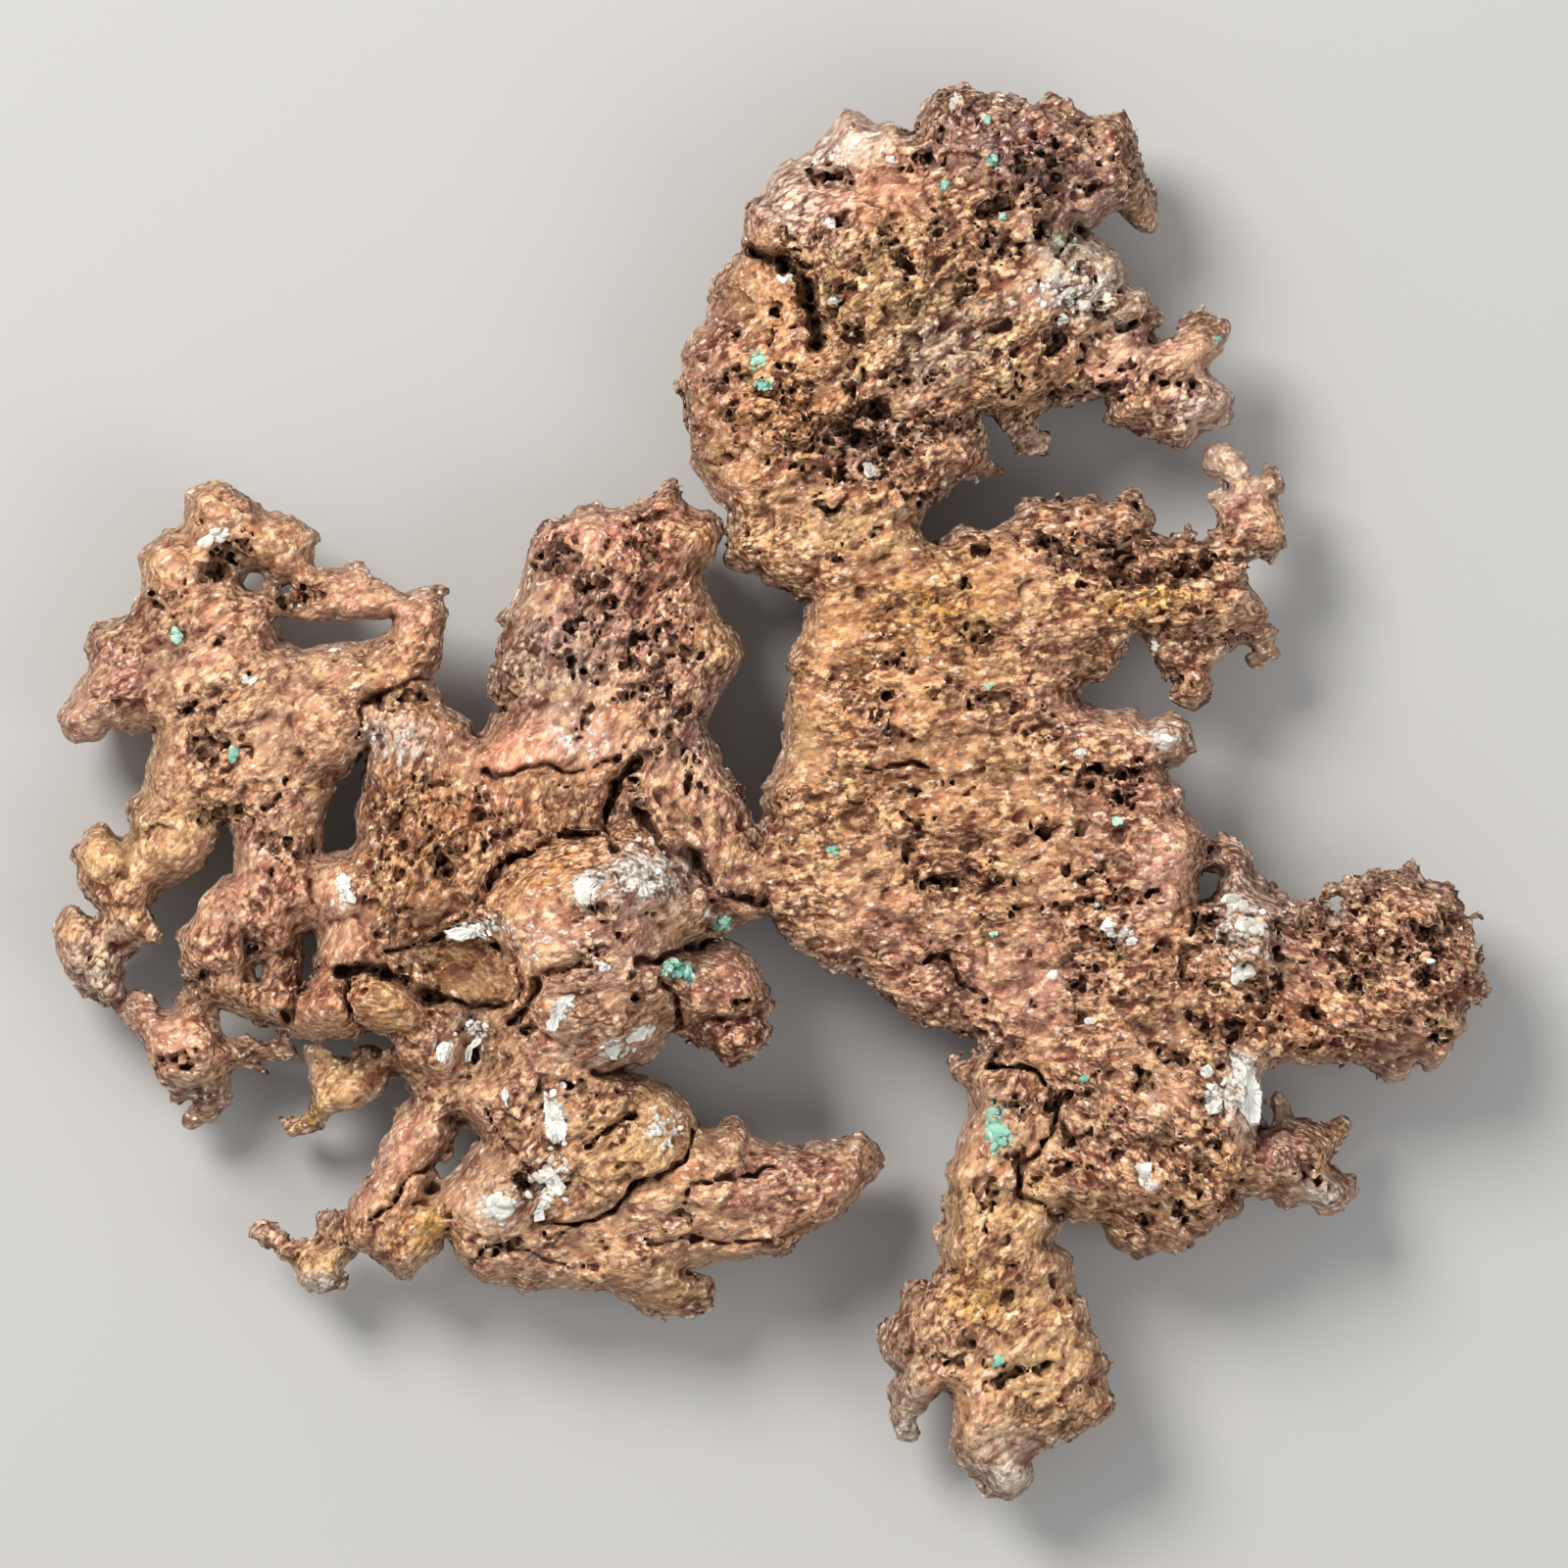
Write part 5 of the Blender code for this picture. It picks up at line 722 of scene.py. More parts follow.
# Patches of a colour: x, y, half length, half width, turn, share. Later colours lie over earlier ones.
TINTS = [
    (AMBER, [
        (900, 620, 120, 90, 0, 0.6), (880, 760, 100, 120, 0, 0.4), (1080, 600, 80, 40, 0, 0.4),
        (780, 310, 50, 50, 0, 0.5), (800, 430, 80, 50, -10, 0.7),
        (560, 890, 50, 36, 20, 0.8), (720, 540, 18, 30, 0, 0.6), (1190, 1200, 90, 50, 0, 0.4)]),
    (SAND, [
        (895, 280, 75, 65, 0, 0.8), (1000, 330, 60, 50, 0, 0.6), (1020, 430, 60, 40, 0, 0.5),
        (850, 550, 90, 30, 0, 0.6), (770, 530, 40, 20, 0, 0.5), (830, 800, 35, 140, 0, 0.3),
        (1040, 1270, 80, 100, 0, 0.5), (1070, 1400, 70, 60, 0, 0.5), (640, 1170, 80, 60, -10, 0.6),
        (700, 1310, 50, 25, 0, 0.6), (180, 850, 70, 25, 10, 0.7), (95, 880, 35, 45, 0, 0.5),
        (350, 1090, 50, 30, -40, 0.5), (330, 1290, 40, 25, 0, 0.6), (740, 660, 30, 50, 0, 0.5),
        (1400, 985, 50, 20, -10, 0.6)]),
    (TAN, [
        (250, 690, 130, 110, -40, 0.5), (290, 850, 60, 60, 0, 0.4), (440, 770, 70, 25, 0, 0.4),
        (500, 1110, 70, 70, 50, 0.5), (700, 1240, 100, 40, 10, 0.4), (560, 1290, 80, 25, -10, 0.5),
        (1130, 545, 90, 35, 10, 0.5), (1270, 590, 50, 60, 0, 0.5), (960, 440, 50, 40, 0, 0.5),
        (1020, 1140, 40, 50, 0, 0.5), (1150, 1150, 90, 70, 0, 0.5), (1490, 990, 30, 60, 0, 0.5),
        (940, 1360, 40, 40, 0, 0.6)]),
    (BROWN, [(240, 540, 75, 40, -20, 0.5), (1190, 570, 60, 40, 0, 0.4)]),
    (UMBER, [(420, 860, 80, 90, 0, 0.7)]),
    (ORANGE, [(500, 830, 60, 30, 0, 0.5), (1310, 1050, 60, 35, 0, 0.6), (500, 990, 30, 20, 0, 0.5)]),
    (OCHRE, [(470, 1000, 60, 30, 10, 0.7), (396, 1027, 38, 34, 0, 0.6), (1000, 800, 90, 60, 0, 0.3)]),
    (ROSE, [
        (600, 600, 90, 80, 50, 0.6), (120, 690, 60, 50, 0, 0.6), (400, 615, 80, 35, -10, 0.5),
        (250, 930, 80, 70, 40, 0.5), (340, 910, 40, 40, 0, 0.5), (160, 1045, 60, 35, -10, 0.7),
        (270, 1075, 30, 20, 10, 0.5), (560, 725, 60, 30, 20, 0.6), (750, 820, 30, 60, -65, 0.5),
        (810, 1200, 90, 38, 10, 0.6), (390, 1190, 70, 20, 55, 0.7), (275, 1270, 25, 15, 0, 0.6),
        (1175, 860, 65, 90, 0, 0.7), (970, 990, 130, 45, -25, 0.6), (1080, 1000, 60, 60, 0, 0.4),
        (1100, 730, 60, 20, 0, 0.5), (1220, 690, 35, 35, 0, 0.5), (730, 380, 30, 80, 0, 0.5),
        (1400, 960, 110, 60, -10, 0.5), (1256, 880, 30, 30, 0, 0.6), (1420, 1070, 70, 25, 0, 0.4),
        (1040, 280, 50, 40, 0, 0.4), (1010, 475, 30, 20, 0, 0.6)]),
    (RUST, [(331, 1022, 32, 36, 0, 0.7), (1160, 800, 50, 40, 0, 0.4)]),
    (BRICK, [(735, 1000, 50, 40, 0, 0.7), (750, 1052, 42, 36, 0, 0.8)]),
    (PLUM, [(720, 890, 60, 30, -30, 0.6)]),
    (MAUVE, [
        (620, 970, 80, 70, 0, 0.5), (90, 735, 45, 25, 0, 0.5), (720, 750, 50, 70, -40, 0.6),
        (1310, 1170, 40, 40, 0, 0.6), (980, 140, 50, 50, 0, 0.4), (1108, 215, 28, 26, 0, 0.7)]),
    (DUSK, [(1060, 160, 120, 60, -15, 0.8), (880, 460, 50, 30, 0, 0.6), (1450, 900, 60, 30, 0, 0.4)]),
    (GREY, [
        (560, 670, 60, 65, 50, 0.7), (960, 360, 70, 40, 35, 0.7), (1090, 250, 40, 20, 0, 0.8),
        (200, 1120, 30, 40, 60, 0.7), (620, 1070, 50, 25, 0, 0.5)]),
    (CORAL, [
        (660, 530, 60, 40, 20, 0.6), (530, 765, 60, 25, 5, 0.9), (900, 200, 50, 40, 0, 0.5),
        (690, 610, 35, 40, 0, 0.4)]),
    (PINK, [
        (560, 545, 40, 35, 0, 0.5), (650, 670, 45, 75, 60, 0.5), (592, 750, 36, 26, 0, 0.7),
        (820, 200, 40, 60, 40, 0.6), (1190, 755, 35, 25, 0, 0.8), (1180, 365, 80, 35, 15, 0.6)]),
    (GOLD, [
        (960, 620, 60, 40, 20, 0.6), (1175, 612, 50, 14, 8, 0.8), (1000, 1325, 40, 25, 0, 0.7),
        (440, 1255, 30, 30, 0, 0.8), (310, 1140, 40, 20, 30, 0.6), (405, 1040, 20, 16, 0, 0.4)]),
    (SHELL, [
        (860, 145, 60, 30, 10, 0.8), (800, 205, 30, 55, 35, 0.7), (410, 750, 35, 25, -20, 0.6),
        (1260, 480, 35, 45, 0, 0.5), (1060, 440, 25, 15, 0, 0.6), (1225, 415, 50, 30, 10, 0.8),
        (1270, 1110, 30, 50, -12, 0.6)]),
    (ASH, [
        (90, 985, 32, 45, -20, 0.6), (658, 895, 42, 32, 0, 0.8), (510, 1230, 40, 40, 0, 0.5),
        (325, 1312, 25, 14, 0, 0.8), (1145, 285, 45, 45, 0, 0.6), (1280, 930, 50, 60, 0, 0.5),
        (1350, 1220, 30, 20, 0, 0.8), (925, 1435, 20, 45, 0, 0.6), (1030, 1490, 50, 35, 0, 0.6)]),
    (CREAM, [(1100, 300, 50, 35, 0, 0.6), (925, 1462, 14, 16, 0, 0.8), (1030, 1515, 25, 14, 0, 0.7)]),
]

# White mineral plates, drawn as outlines
WHITE_PLATES = [
    [(557, 1115), (569, 1126), (577, 1135), (581, 1151), (578, 1163), (566, 1166), (558, 1159), (557, 1146),
     (556, 1130)],
    [(548, 1193), (563, 1188), (571, 1175), (576, 1180), (577, 1188), (568, 1194), (579, 1211), (573, 1221),
     (561, 1213), (554, 1203)],
    [(545, 1236), (553, 1222), (562, 1224), (563, 1231), (556, 1234), (556, 1244), (546, 1247)],
    [(1250, 1071), (1260, 1076), (1274, 1090), (1282, 1102), (1287, 1117), (1284, 1146), (1274, 1148),
     (1260, 1129), (1264, 1119), (1262, 1102), (1255, 1085)],
    [(1222, 1087), (1231, 1084), (1238, 1092), (1232, 1099), (1223, 1096)],
    [(1226, 1126), (1234, 1120), (1245, 1122), (1243, 1134), (1233, 1137)],
    [(589, 898), (595, 893), (613, 896), (606, 908), (603, 923), (597, 925), (589, 914)],
    [(453, 949), (472, 944), (488, 941), (501, 930), (509, 930), (507, 940), (511, 946), (507, 960),
     (501, 962),
     (491, 955), (472, 960), (458, 957)],
    [(345, 895), (353, 890), (361, 896), (359, 908), (366, 917), (365, 922), (357, 920), (356, 909),
     (346, 901)],
    [(570, 1016), (587, 1010), (590, 1013), (581, 1022), (577, 1035), (568, 1051), (560, 1050), (558, 1042),
     (569, 1035)],
    [(638, 1057), (648, 1048), (660, 1043), (664, 1051), (660, 1059), (648, 1062), (641, 1064)],
    [(619, 1064), (632, 1062), (633, 1073), (630, 1081), (624, 1080), (617, 1070)],
    [(477, 1048), (488, 1041), (494, 1043), (486, 1050), (478, 1053)],
    [(475, 1070), (485, 1059), (494, 1059), (488, 1066), (482, 1072), (480, 1083), (474, 1085)],
    [(446, 1067), (453, 1061), (461, 1064), (460, 1077), (455, 1086), (447, 1081)],
    [(512, 1114), (517, 1106), (520, 1116), (519, 1130), (514, 1120)],
]

# White mineral: x, y, half length, half width, turn, height in mm
WHITE_GRAINS = [
    (1258, 922, 14, 9, -40, 0.9), (1275, 946, 15, 10, 10, 0.9), (1266, 992, 10, 11, 0, 0.9),
    (508, 1230, 15, 13, 0, 0.8), (1190, 757, 13, 7, 10, 0.8), (617, 983, 6, 6, 0, 1.0),
    (722, 933, 4, 4, 0, 0.8), (1130, 945, 6, 8, 10, 1.0), (1152, 960, 6, 5, 0, 0.9),
    (1118, 924, 4, 3, 0, 0.7), (1103, 770, 3, 6, 10, 0.8), (1103, 311, 7, 7, 0, 0.9),
    (1083, 327, 6, 5, 0, 0.9), (906, 166, 5, 5, 0, 0.8), (846, 230, 4, 7, 10, 0.8),
    (800, 288, 9, 6, 10, 1.0), (853, 308, 3, 8, 10, 0.7), (1165, 1195, 7, 8, 0, 0.9),
    (1175, 1208, 6, 5, 0, 0.8), (976, 100, 3, 9, 10, 0.8), (887, 480, 5, 9, 20, 0.9),
    (1180, 659, 5, 5, 0, 0.8), (1460, 983, 5, 5, 0, 0.8), (218, 548, 18, 7, 30, 0.8),
    (343, 663, 7, 4, 0, 0.6), (256, 692, 6, 5, 0, 0.6), (1110, 1040, 6, 4, 0, 0.7),
    (1075, 995, 6, 5, 0, 0.7), (669, 1150, 5, 9, 20, 0.8), (680, 1165, 5, 5, 0, 0.7),
]

# White mineral crusts of many small crystals: x, y, half length, half width, turn, how many, and their
# least and largest half size in mm
WHITE_CRUSTS = [
    (1270, 1105, 38, 22, -68, 15, 0.25, 0.5), (1240, 1115, 16, 16, 0, 10, 0.2, 0.45),
    (665, 892, 36, 26, 0, 20, 0.15, 0.35), (600, 908, 16, 20, 0, 12, 0.2, 0.45),
    (490, 946, 34, 9, 10, 15, 0.2, 0.4), (575, 1028, 16, 10, 40, 10, 0.18, 0.4),
    (560, 1205, 28, 18, 50, 20, 0.2, 0.5), (568, 1140, 12, 30, 8, 12, 0.2, 0.45),
    (508, 1230, 18, 16, 0, 12, 0.18, 0.4), (628, 1066, 16, 12, 30, 10, 0.18, 0.4),
    (655, 1052, 16, 8, 20, 8, 0.18, 0.35), (486, 1055, 14, 20, 60, 12, 0.15, 0.35),
    (455, 1070, 12, 20, 0, 8, 0.15, 0.35), (1085, 302, 34, 20, 0, 30, 0.18, 0.42),
    (1262, 940, 26, 28, 0, 10, 0.2, 0.35), (1190, 752, 26, 14, 10, 8, 0.15, 0.35),
    (352, 908, 9, 16, 10, 8, 0.2, 0.4), (1168, 1200, 14, 16, 0, 8, 0.18, 0.4),
    (680, 1150, 18, 18, 20, 10, 0.15, 0.35), (218, 548, 18, 8, 30, 6, 0.15, 0.3),
    (1142, 952, 16, 12, 0, 6, 0.18, 0.4), (850, 160, 60, 16, 0, 12, 0.12, 0.28),
    (410, 755, 34, 22, -20, 10, 0.12, 0.28), (982, 488, 18, 6, 10, 6, 0.12, 0.3),
]

# Green mineral grains, columns as for the white grains
GREEN_GRAINS = [
    (694, 988, 13, 9, 0, 1.2), (1016, 1158, 8, 13, 10, 1.2), (181, 650, 9, 8, 0, 1.0),
    (241, 769, 7, 7, 0, 1.0), (772, 369, 8, 7, 0, 1.0), (780, 395, 5, 5, 0, 0.8), (962, 190, 4, 6, 0, 0.8),
    (1013, 166, 6, 5, 0, 0.8), (1008, 126, 4, 4, 0, 0.7), (1021, 224, 3, 4, 0, 0.7),
    (850, 867, 4, 5, 0, 0.7), (1010, 700, 6, 3, 10, 0.6), (1137, 838, 5, 5, 0, 0.7),
    (1013, 952, 5, 3, 0, 0.6), (1103, 1100, 4, 5, 0, 0.7), (1245, 345, 3, 3, 0, 0.5),
    (738, 940, 8, 6, 0, 0.6), (1018, 1388, 5, 6, 0, 0.6),
]

GREEN_CRUSTS = [
    (694, 988, 15, 11, 0, 26, 0.15, 0.35), (1016, 1156, 9, 16, 10, 26, 0.15, 0.35),
    (1016, 1133, 8, 8, 0, 8, 0.12, 0.25), (772, 369, 8, 7, 0, 6, 0.15, 0.3),
    (780, 395, 8, 7, 0, 8, 0.12, 0.25), (738, 940, 10, 7, 0, 10, 0.12, 0.22),
]

# White crust over the metal: x, y, half length, half width, turn, share, how much
WHITE_PATCHES = [
    (658, 892, 44, 30, 0, 1.0, 0.75), (601, 905, 15, 21, 0, 1.0, 0.9), (490, 947, 36, 10, 12, 1.0, 0.9),
    (568, 1138, 12, 32, 8, 1.0, 0.85), (560, 1205, 30, 20, 50, 1.0, 0.65),
    (508, 1228, 20, 17, 0, 1.0, 0.85), (490, 1050, 12, 24, 50, 1.0, 0.6), (455, 1070, 11, 24, 0, 1.0, 0.5),
    (575, 1028, 18, 11, 40, 1.0, 0.65), (628, 1068, 15, 12, 30, 1.0, 0.75),
    (655, 1052, 16, 9, 20, 1.0, 0.7), (1270, 1105, 40, 20, -68, 1.0, 0.95),
    (1240, 1115, 18, 17, 0, 1.0, 0.75), (1264, 940, 30, 40, 0, 1.0, 0.55),
    (1190, 752, 32, 20, 10, 1.0, 0.5), (1085, 302, 38, 24, 0, 1.0, 0.45), (860, 155, 78, 26, 8, 1.0, 0.36),
    (410, 755, 42, 26, -20, 1.0, 0.36), (1168, 1200, 16, 17, 0, 1.0, 0.7), (680, 1150, 18, 22, 0, 1.0, 0.5),
    (352, 908, 10, 20, 10, 1.0, 0.85), (218, 548, 20, 8, 30, 1.0, 0.7), (1350, 1222, 30, 18, 0, 1.0, 0.3),
    (925, 1460, 14, 20, 0, 1.0, 0.4), (1030, 1515, 32, 16, 0, 1.0, 0.36), (95, 1000, 18, 24, 0, 1.0, 0.36),
    (325, 1314, 26, 12, 0, 1.0, 0.5), (595, 755, 36, 24, 0, 1.0, 0.42), (1142, 952, 20, 12, -20, 1.0, 0.75),
    (560, 900, 30, 20, 0, 1.0, 0.3), (540, 960, 26, 26, 0, 1.0, 0.36), (1100, 745, 40, 12, 0, 1.0, 0.3),
    (1230, 900, 24, 30, 0, 1.0, 0.3),
]

GREEN_PATCHES = [
    (694, 988, 22, 14, 0, 1.0, 0.85), (738, 940, 16, 13, 20, 1.0, 0.6), (1016, 1156, 12, 24, 0, 1.0, 0.75),
    (1016, 1131, 13, 13, 0, 1.0, 0.5), (780, 395, 10, 9, 0, 1.0, 0.7), (772, 369, 11, 10, 0, 1.0, 0.5),
    (962, 190, 8, 12, 0, 1.0, 0.5), (1013, 166, 9, 8, 0, 1.0, 0.5), (1090, 252, 42, 16, 0, 1.0, 0.25),
    (757, 1180, 20, 15, 0, 1.0, 0.25), (1245, 345, 9, 9, 0, 1.0, 0.4), (1021, 224, 6, 7, 0, 1.0, 0.5),
]

# Painted shade over pits and cracks and beside grains: columns as for the white crust
PAINTED_SHADE_PATCHES = [
    (180, 650, 16, 14, 0, 0.6, 0.8), (880, 450, 40, 22, 0, 0.5, 0.7), (1075, 190, 30, 40, 0, 0.5, 0.6),
    (1060, 230, 24, 24, 0, 0.6, 0.7), (560, 575, 34, 20, -20, 0.5, 0.7), (1140, 575, 30, 26, 0, 0.5, 0.6),
    (390, 705, 30, 12, 10, 0.5, 0.8), (1258, 1055, 20, 18, 0, 0.5, 0.7), (470, 1040, 24, 16, 20, 0.6, 0.8),
    (380, 985, 40, 12, 12, 0.6, 0.9), (240, 575, 34, 16, -30, 0.6, 0.8), (640, 810, 16, 36, 20, 0.4, 0.8),
]

# The two minerals: slot, CAD grains replaced, plates, lumps, crusts, roughness and the copper's stain
MINERALS = {
    "white_grains": (
        "pale_mineral", WHITE_NODES, WHITE_PLATES, WHITE_GRAINS, WHITE_CRUSTS, 0.45, (190, 160, 135)),
    "green_grains": ("green_mineral", GREEN_NODES, (), GREEN_GRAINS, GREEN_CRUSTS, 0.55, (120, 130, 100)),
}


def in_mm(x, y):
    """Plan places as millimetres from the origin."""
    return (np.asarray(x) - PLAN_X) * STEP_MM, (PLAN_Y - np.asarray(y)) * STEP_MM


# Noise ----------------------------------------------------------------------------------------------

_shuffle = np.random.default_rng(SEED)
HASH = np.tile(_shuffle.permutation(256), 3).astype(np.int32)
SLOPES = _shuffle.normal(size=(256, 3)).astype(np.float32)
SLOPES /= np.linalg.norm(SLOPES, axis=1)[:, None]


def in_parts(field):
    """Lets a field take long rows of places a part at a time, which is quicker and gives the same values."""
    def taken(x, y, z, size, layer):
        if np.ndim(x) != 1 or len(x) <= PART_LENGTH:
            return field(x, y, z, size, layer)
        starts = range(0, len(x), PART_LENGTH)
        parts = [slice(start, start + PART_LENGTH) for start in starts]
        return np.concatenate([field(x[part], y[part], z[part], size, layer) for part in parts])
    return taken


@in_parts
def noise(x, y, z, size, layer):
    """Smooth gradient noise in about -1 to 1, with knobs of the given size. All in millimetres."""
    shift = 19.7 * layer
    corner, inner, fade = [], [], []
    for values in (x, y, z):
        scaled = np.asarray(values, np.float32) / np.float32(size) + np.float32(shift + 40.0)
        whole = np.floor(scaled)
        part = scaled - whole
        corner.append(whole.astype(np.int32))
        inner.append(part)
        fade.append(part * part * part * (part * (part * 6.0 - 15.0) + 10.0))
    total = np.float32(0.0)
    for i in (0, 1):
        first = HASH[(corner[0] + i) & 255]
        weight_x = fade[0] if i else 1.0 - fade[0]
        for j in (0, 1):
            second = HASH[first + ((corner[1] + j) & 255)]
            weight_xy = weight_x * (fade[1] if j else 1.0 - fade[1])
            for k in (0, 1):
                slope = SLOPES[HASH[second + ((corner[2] + k) & 255)]]
                rise = slope[..., 0] * (inner[0] - i) + slope[..., 1] * (inner[1] - j)
                rise += slope[..., 2] * (inner[2] - k)
                total = total + weight_xy * (fade[2] if k else 1.0 - fade[2]) * rise
    return total * 1.6


@in_parts
def facets(x, y, z, size, layer):
    """Offsets in about -1 to 1 that make flat, tilted flakes of a size in mm with sharp steps between."""
    shift = np.float32(60.0 + 13.3 * layer)
    scaled = [np.asarray(values, np.float32) / np.float32(size) + shift for values in (x, y, z)]
    low = [np.floor(v - 0.5).astype(np.int32) for v in scaled]
    nearest = np.full(scaled[0].shape, 9.0, np.float32)
    height = np.zeros(scaled[0].shape, np.float32)
    for i in (0, 1):
        first = HASH[(low[0] + i) & 255]
        for j in (0, 1):
            second = HASH[first + ((low[1] + j) & 255)]
            for k in (0, 1):
                pick = HASH[second + ((low[2] + k) & 255)]
                seed = SLOPES[pick]
                lean = SLOPES[HASH[pick + 7]]
                dx = scaled[0] - (low[0] + i + 0.5) - 0.32 * seed[..., 0]
                dy = scaled[1] - (low[1] + j + 0.5) - 0.32 * seed[..., 1]
                dz = scaled[2] - (low[2] + k + 0.5) - 0.32 * seed[..., 2]
                distance = dx * dx + dy * dy + dz * dz
                rise = 0.9 * lean[..., 1] + 1.1 * (dx * lean[..., 0] + dy * lean[..., 2] + dz * lean[..., 1])
                closer = distance < nearest
                height = np.where(closer, rise, height)
                nearest = np.where(closer, distance, nearest)
    return height


# Flat fields over the plan ---------------------------------------------------------------------------

class Plan:
    """Everything that is worked out over the plan, on a square grid of places."""

    def __init__(self):
        self.xs = np.arange(PLAN_LOW_X, PLAN_HIGH_X, CELL / STEP_MM, dtype=np.float32)
        self.ys = np.arange(PLAN_LOW_Y, PLAN_HIGH_Y, CELL / STEP_MM, dtype=np.float32)
        self.x, self.y = np.meshgrid(self.xs, self.ys, indexing="ij")
        self.mm_x, self.mm_y = in_mm(self.x, self.y)
        self.shape = self.x.shape
        self.inside()
        self.edge_distance()
        self.limb_width()
        self.form()
        self.wander()

    def inside(self):
        """Which places lie on the metal."""
        self.solid = np.zeros(self.shape, bool)
        for loop in LOOPS:
            for (ax, ay), (bx, by) in zip(loop, np.roll(loop, -1, axis=0)):
                if ay == by:
                    continue
                low, high = np.searchsorted(self.ys, sorted((ay, by)))
                for row in range(low, high):
                    crossing = ax + (self.ys[row] - ay) * (bx - ax) / (by - ay)
                    self.solid[np.searchsorted(self.xs, crossing):, row] ^= True

    def window(self, x, y, reach):
        """The slice of the grid within a reach of a place or a box of places, in plan steps."""
        lows = (np.min(x) - reach, np.min(y) - reach)
        highs = (np.max(x) + reach, np.max(y) + reach)
        i = slice(*np.clip(np.searchsorted(self.xs, (lows[0], highs[0])), 0, self.shape[0]))
        j = slice(*np.clip(np.searchsorted(self.ys, (lows[1], highs[1])), 0, self.shape[1]))
        return i, j

    def edge_distance(self):
        """Distance in from the outline, in mm, below zero outside it."""
        nearest = np.full(self.shape, EDGE_REACH, np.float32)
        for loop in LOOPS:
            for a, b in zip(loop, np.roll(loop, -1, axis=0)):
                part = self.window((a[0], b[0]), (a[1], b[1]), EDGE_REACH)
                distance = to_segment(self.x[part], self.y[part], a, b)[0]
                nearest[part] = np.minimum(nearest[part], distance)
        self.depth = np.where(self.solid, nearest, -nearest) * STEP_MM

    def limb_width(self):
        """Half the width of the limb that each place lies in, in mm: the largest circle inside the
        outline that covers the place, smoothed a little."""
        cells = max(int(round(WIDTH_CELL / CELL)), 1)
        coarse = np.clip(self.depth[::cells, ::cells], 0.0, None)
        widest = coarse.copy()
        spacing = cells * CELL
        order = np.argwhere(coarse > spacing)
        i_all, j_all = np.mgrid[0:coarse.shape[0], 0:coarse.shape[1]]
        for i, j in order:
            reach = coarse[i, j] / spacing
            near = (slice(max(0, int(i - reach)), int(i + reach) + 2),
                    slice(max(0, int(j - reach)), int(j + reach) + 2))
            covered = (i_all[near] - i) ** 2 + (j_all[near] - j) ** 2 <= reach ** 2
            widest[near] = np.where(covered, np.maximum(widest[near], coarse[i, j]), widest[near])
        fine = np.repeat(np.repeat(widest, cells, 0), cells, 1)[:self.shape[0], :self.shape[1]]
        self.width = np.maximum(blurred(fine, WIDTH_BLUR), np.maximum(self.depth, 0.0))

    def form(self):
        """Heights of the plain top and underside, and the half thickness of each lobe, in mm."""
        total = np.full(self.shape, 1e-12, np.float32)
        top = total * FORM[0][3]
        under = total * FORM[0][4]
        for x, y, reach, high, low in FORM:
            weight = np.exp(-((self.x - x) ** 2 + (self.y - y) ** 2) / reach ** 2)
            total += weight
            top += weight * high
            under += weight * low
        top /= total
        under /= total
        self.middle = (top + under) / 2.0
        self.half = np.minimum((top - under) / 2.0, LIMB_ROUNDNESS * self.width + TIP_HALF)
        self.rim = np.minimum(self.width, self.half * RIM_SHARE + RIM_LEAST)
        self.rim = np.maximum(self.rim, RIM_LEAST)
        inward = 1.0 - np.clip(self.depth / self.rim, 0.0, 1.0)
        self.rise = np.clip(1.0 - inward ** RIM_POWER, 0.0, 1.0) ** (1.0 / RIM_POWER)

    def wander(self):
        """Small shifts and shares that keep borders, ledges and cracks from running straight."""
        self.warp_x = self.uneven(0.0, WARP, 21)
        self.warp_y = self.uneven(0.0, WARP, 23)
        self.ragged = np.clip(self.uneven(1.0, RAGGED, 25), *RAGGED_RANGE)
        self.gape = np.clip(self.uneven(1.05, GAPE, 27), *GAPE_RANGE)
        self.patchy = np.clip(0.95 + 1.1 * self.uneven(0.0, PATCHES, 28), *PATCHY_RANGE)

    def uneven(self, field, layers, first):
        """A field with layers of noise added, numbered from first."""
        flat = np.zeros_like(self.mm_x)
        for layer, (rise, size) in enumerate(layers, first):
            field = field + rise * noise(self.mm_x, self.mm_y, flat, size, layer)
        return field

    def oval(self, x, y, half_length, half_width, turn):
        """A window on the plan and the squared distance from an oval's middle, 1 on its rim."""
        part = self.window(x, y, 2.6 * max(half_length, half_width))
        angle = math.radians(turn)
        dx = self.x[part] - x
        dy = y - self.y[part]
        along = dx * math.cos(angle) + dy * math.sin(angle)
        across = dy * math.cos(angle) - dx * math.sin(angle)
        return part, (along / half_length) ** 2 + (across / half_width) ** 2

    def at(self, field, x, y):
        """A field's value at plan places, blended between grid places."""
        i = np.clip((np.asarray(x) - self.xs[0]) / (self.xs[1] - self.xs[0]), 0, self.shape[0] - 1.001)
        j = np.clip((np.asarray(y) - self.ys[0]) / (self.ys[1] - self.ys[0]), 0, self.shape[1] - 1.001)
        i0 = i.astype(int)
        j0 = j.astype(int)
        u = i - i0
        v = j - j0
        if field.ndim == 3:
            u = u[..., None]
            v = v[..., None]
        near = field[i0, j0] * (1 - v) + field[i0, j0 + 1] * v
        far = field[i0 + 1, j0] * (1 - v) + field[i0 + 1, j0 + 1] * v
        return near * (1 - u) + far * u


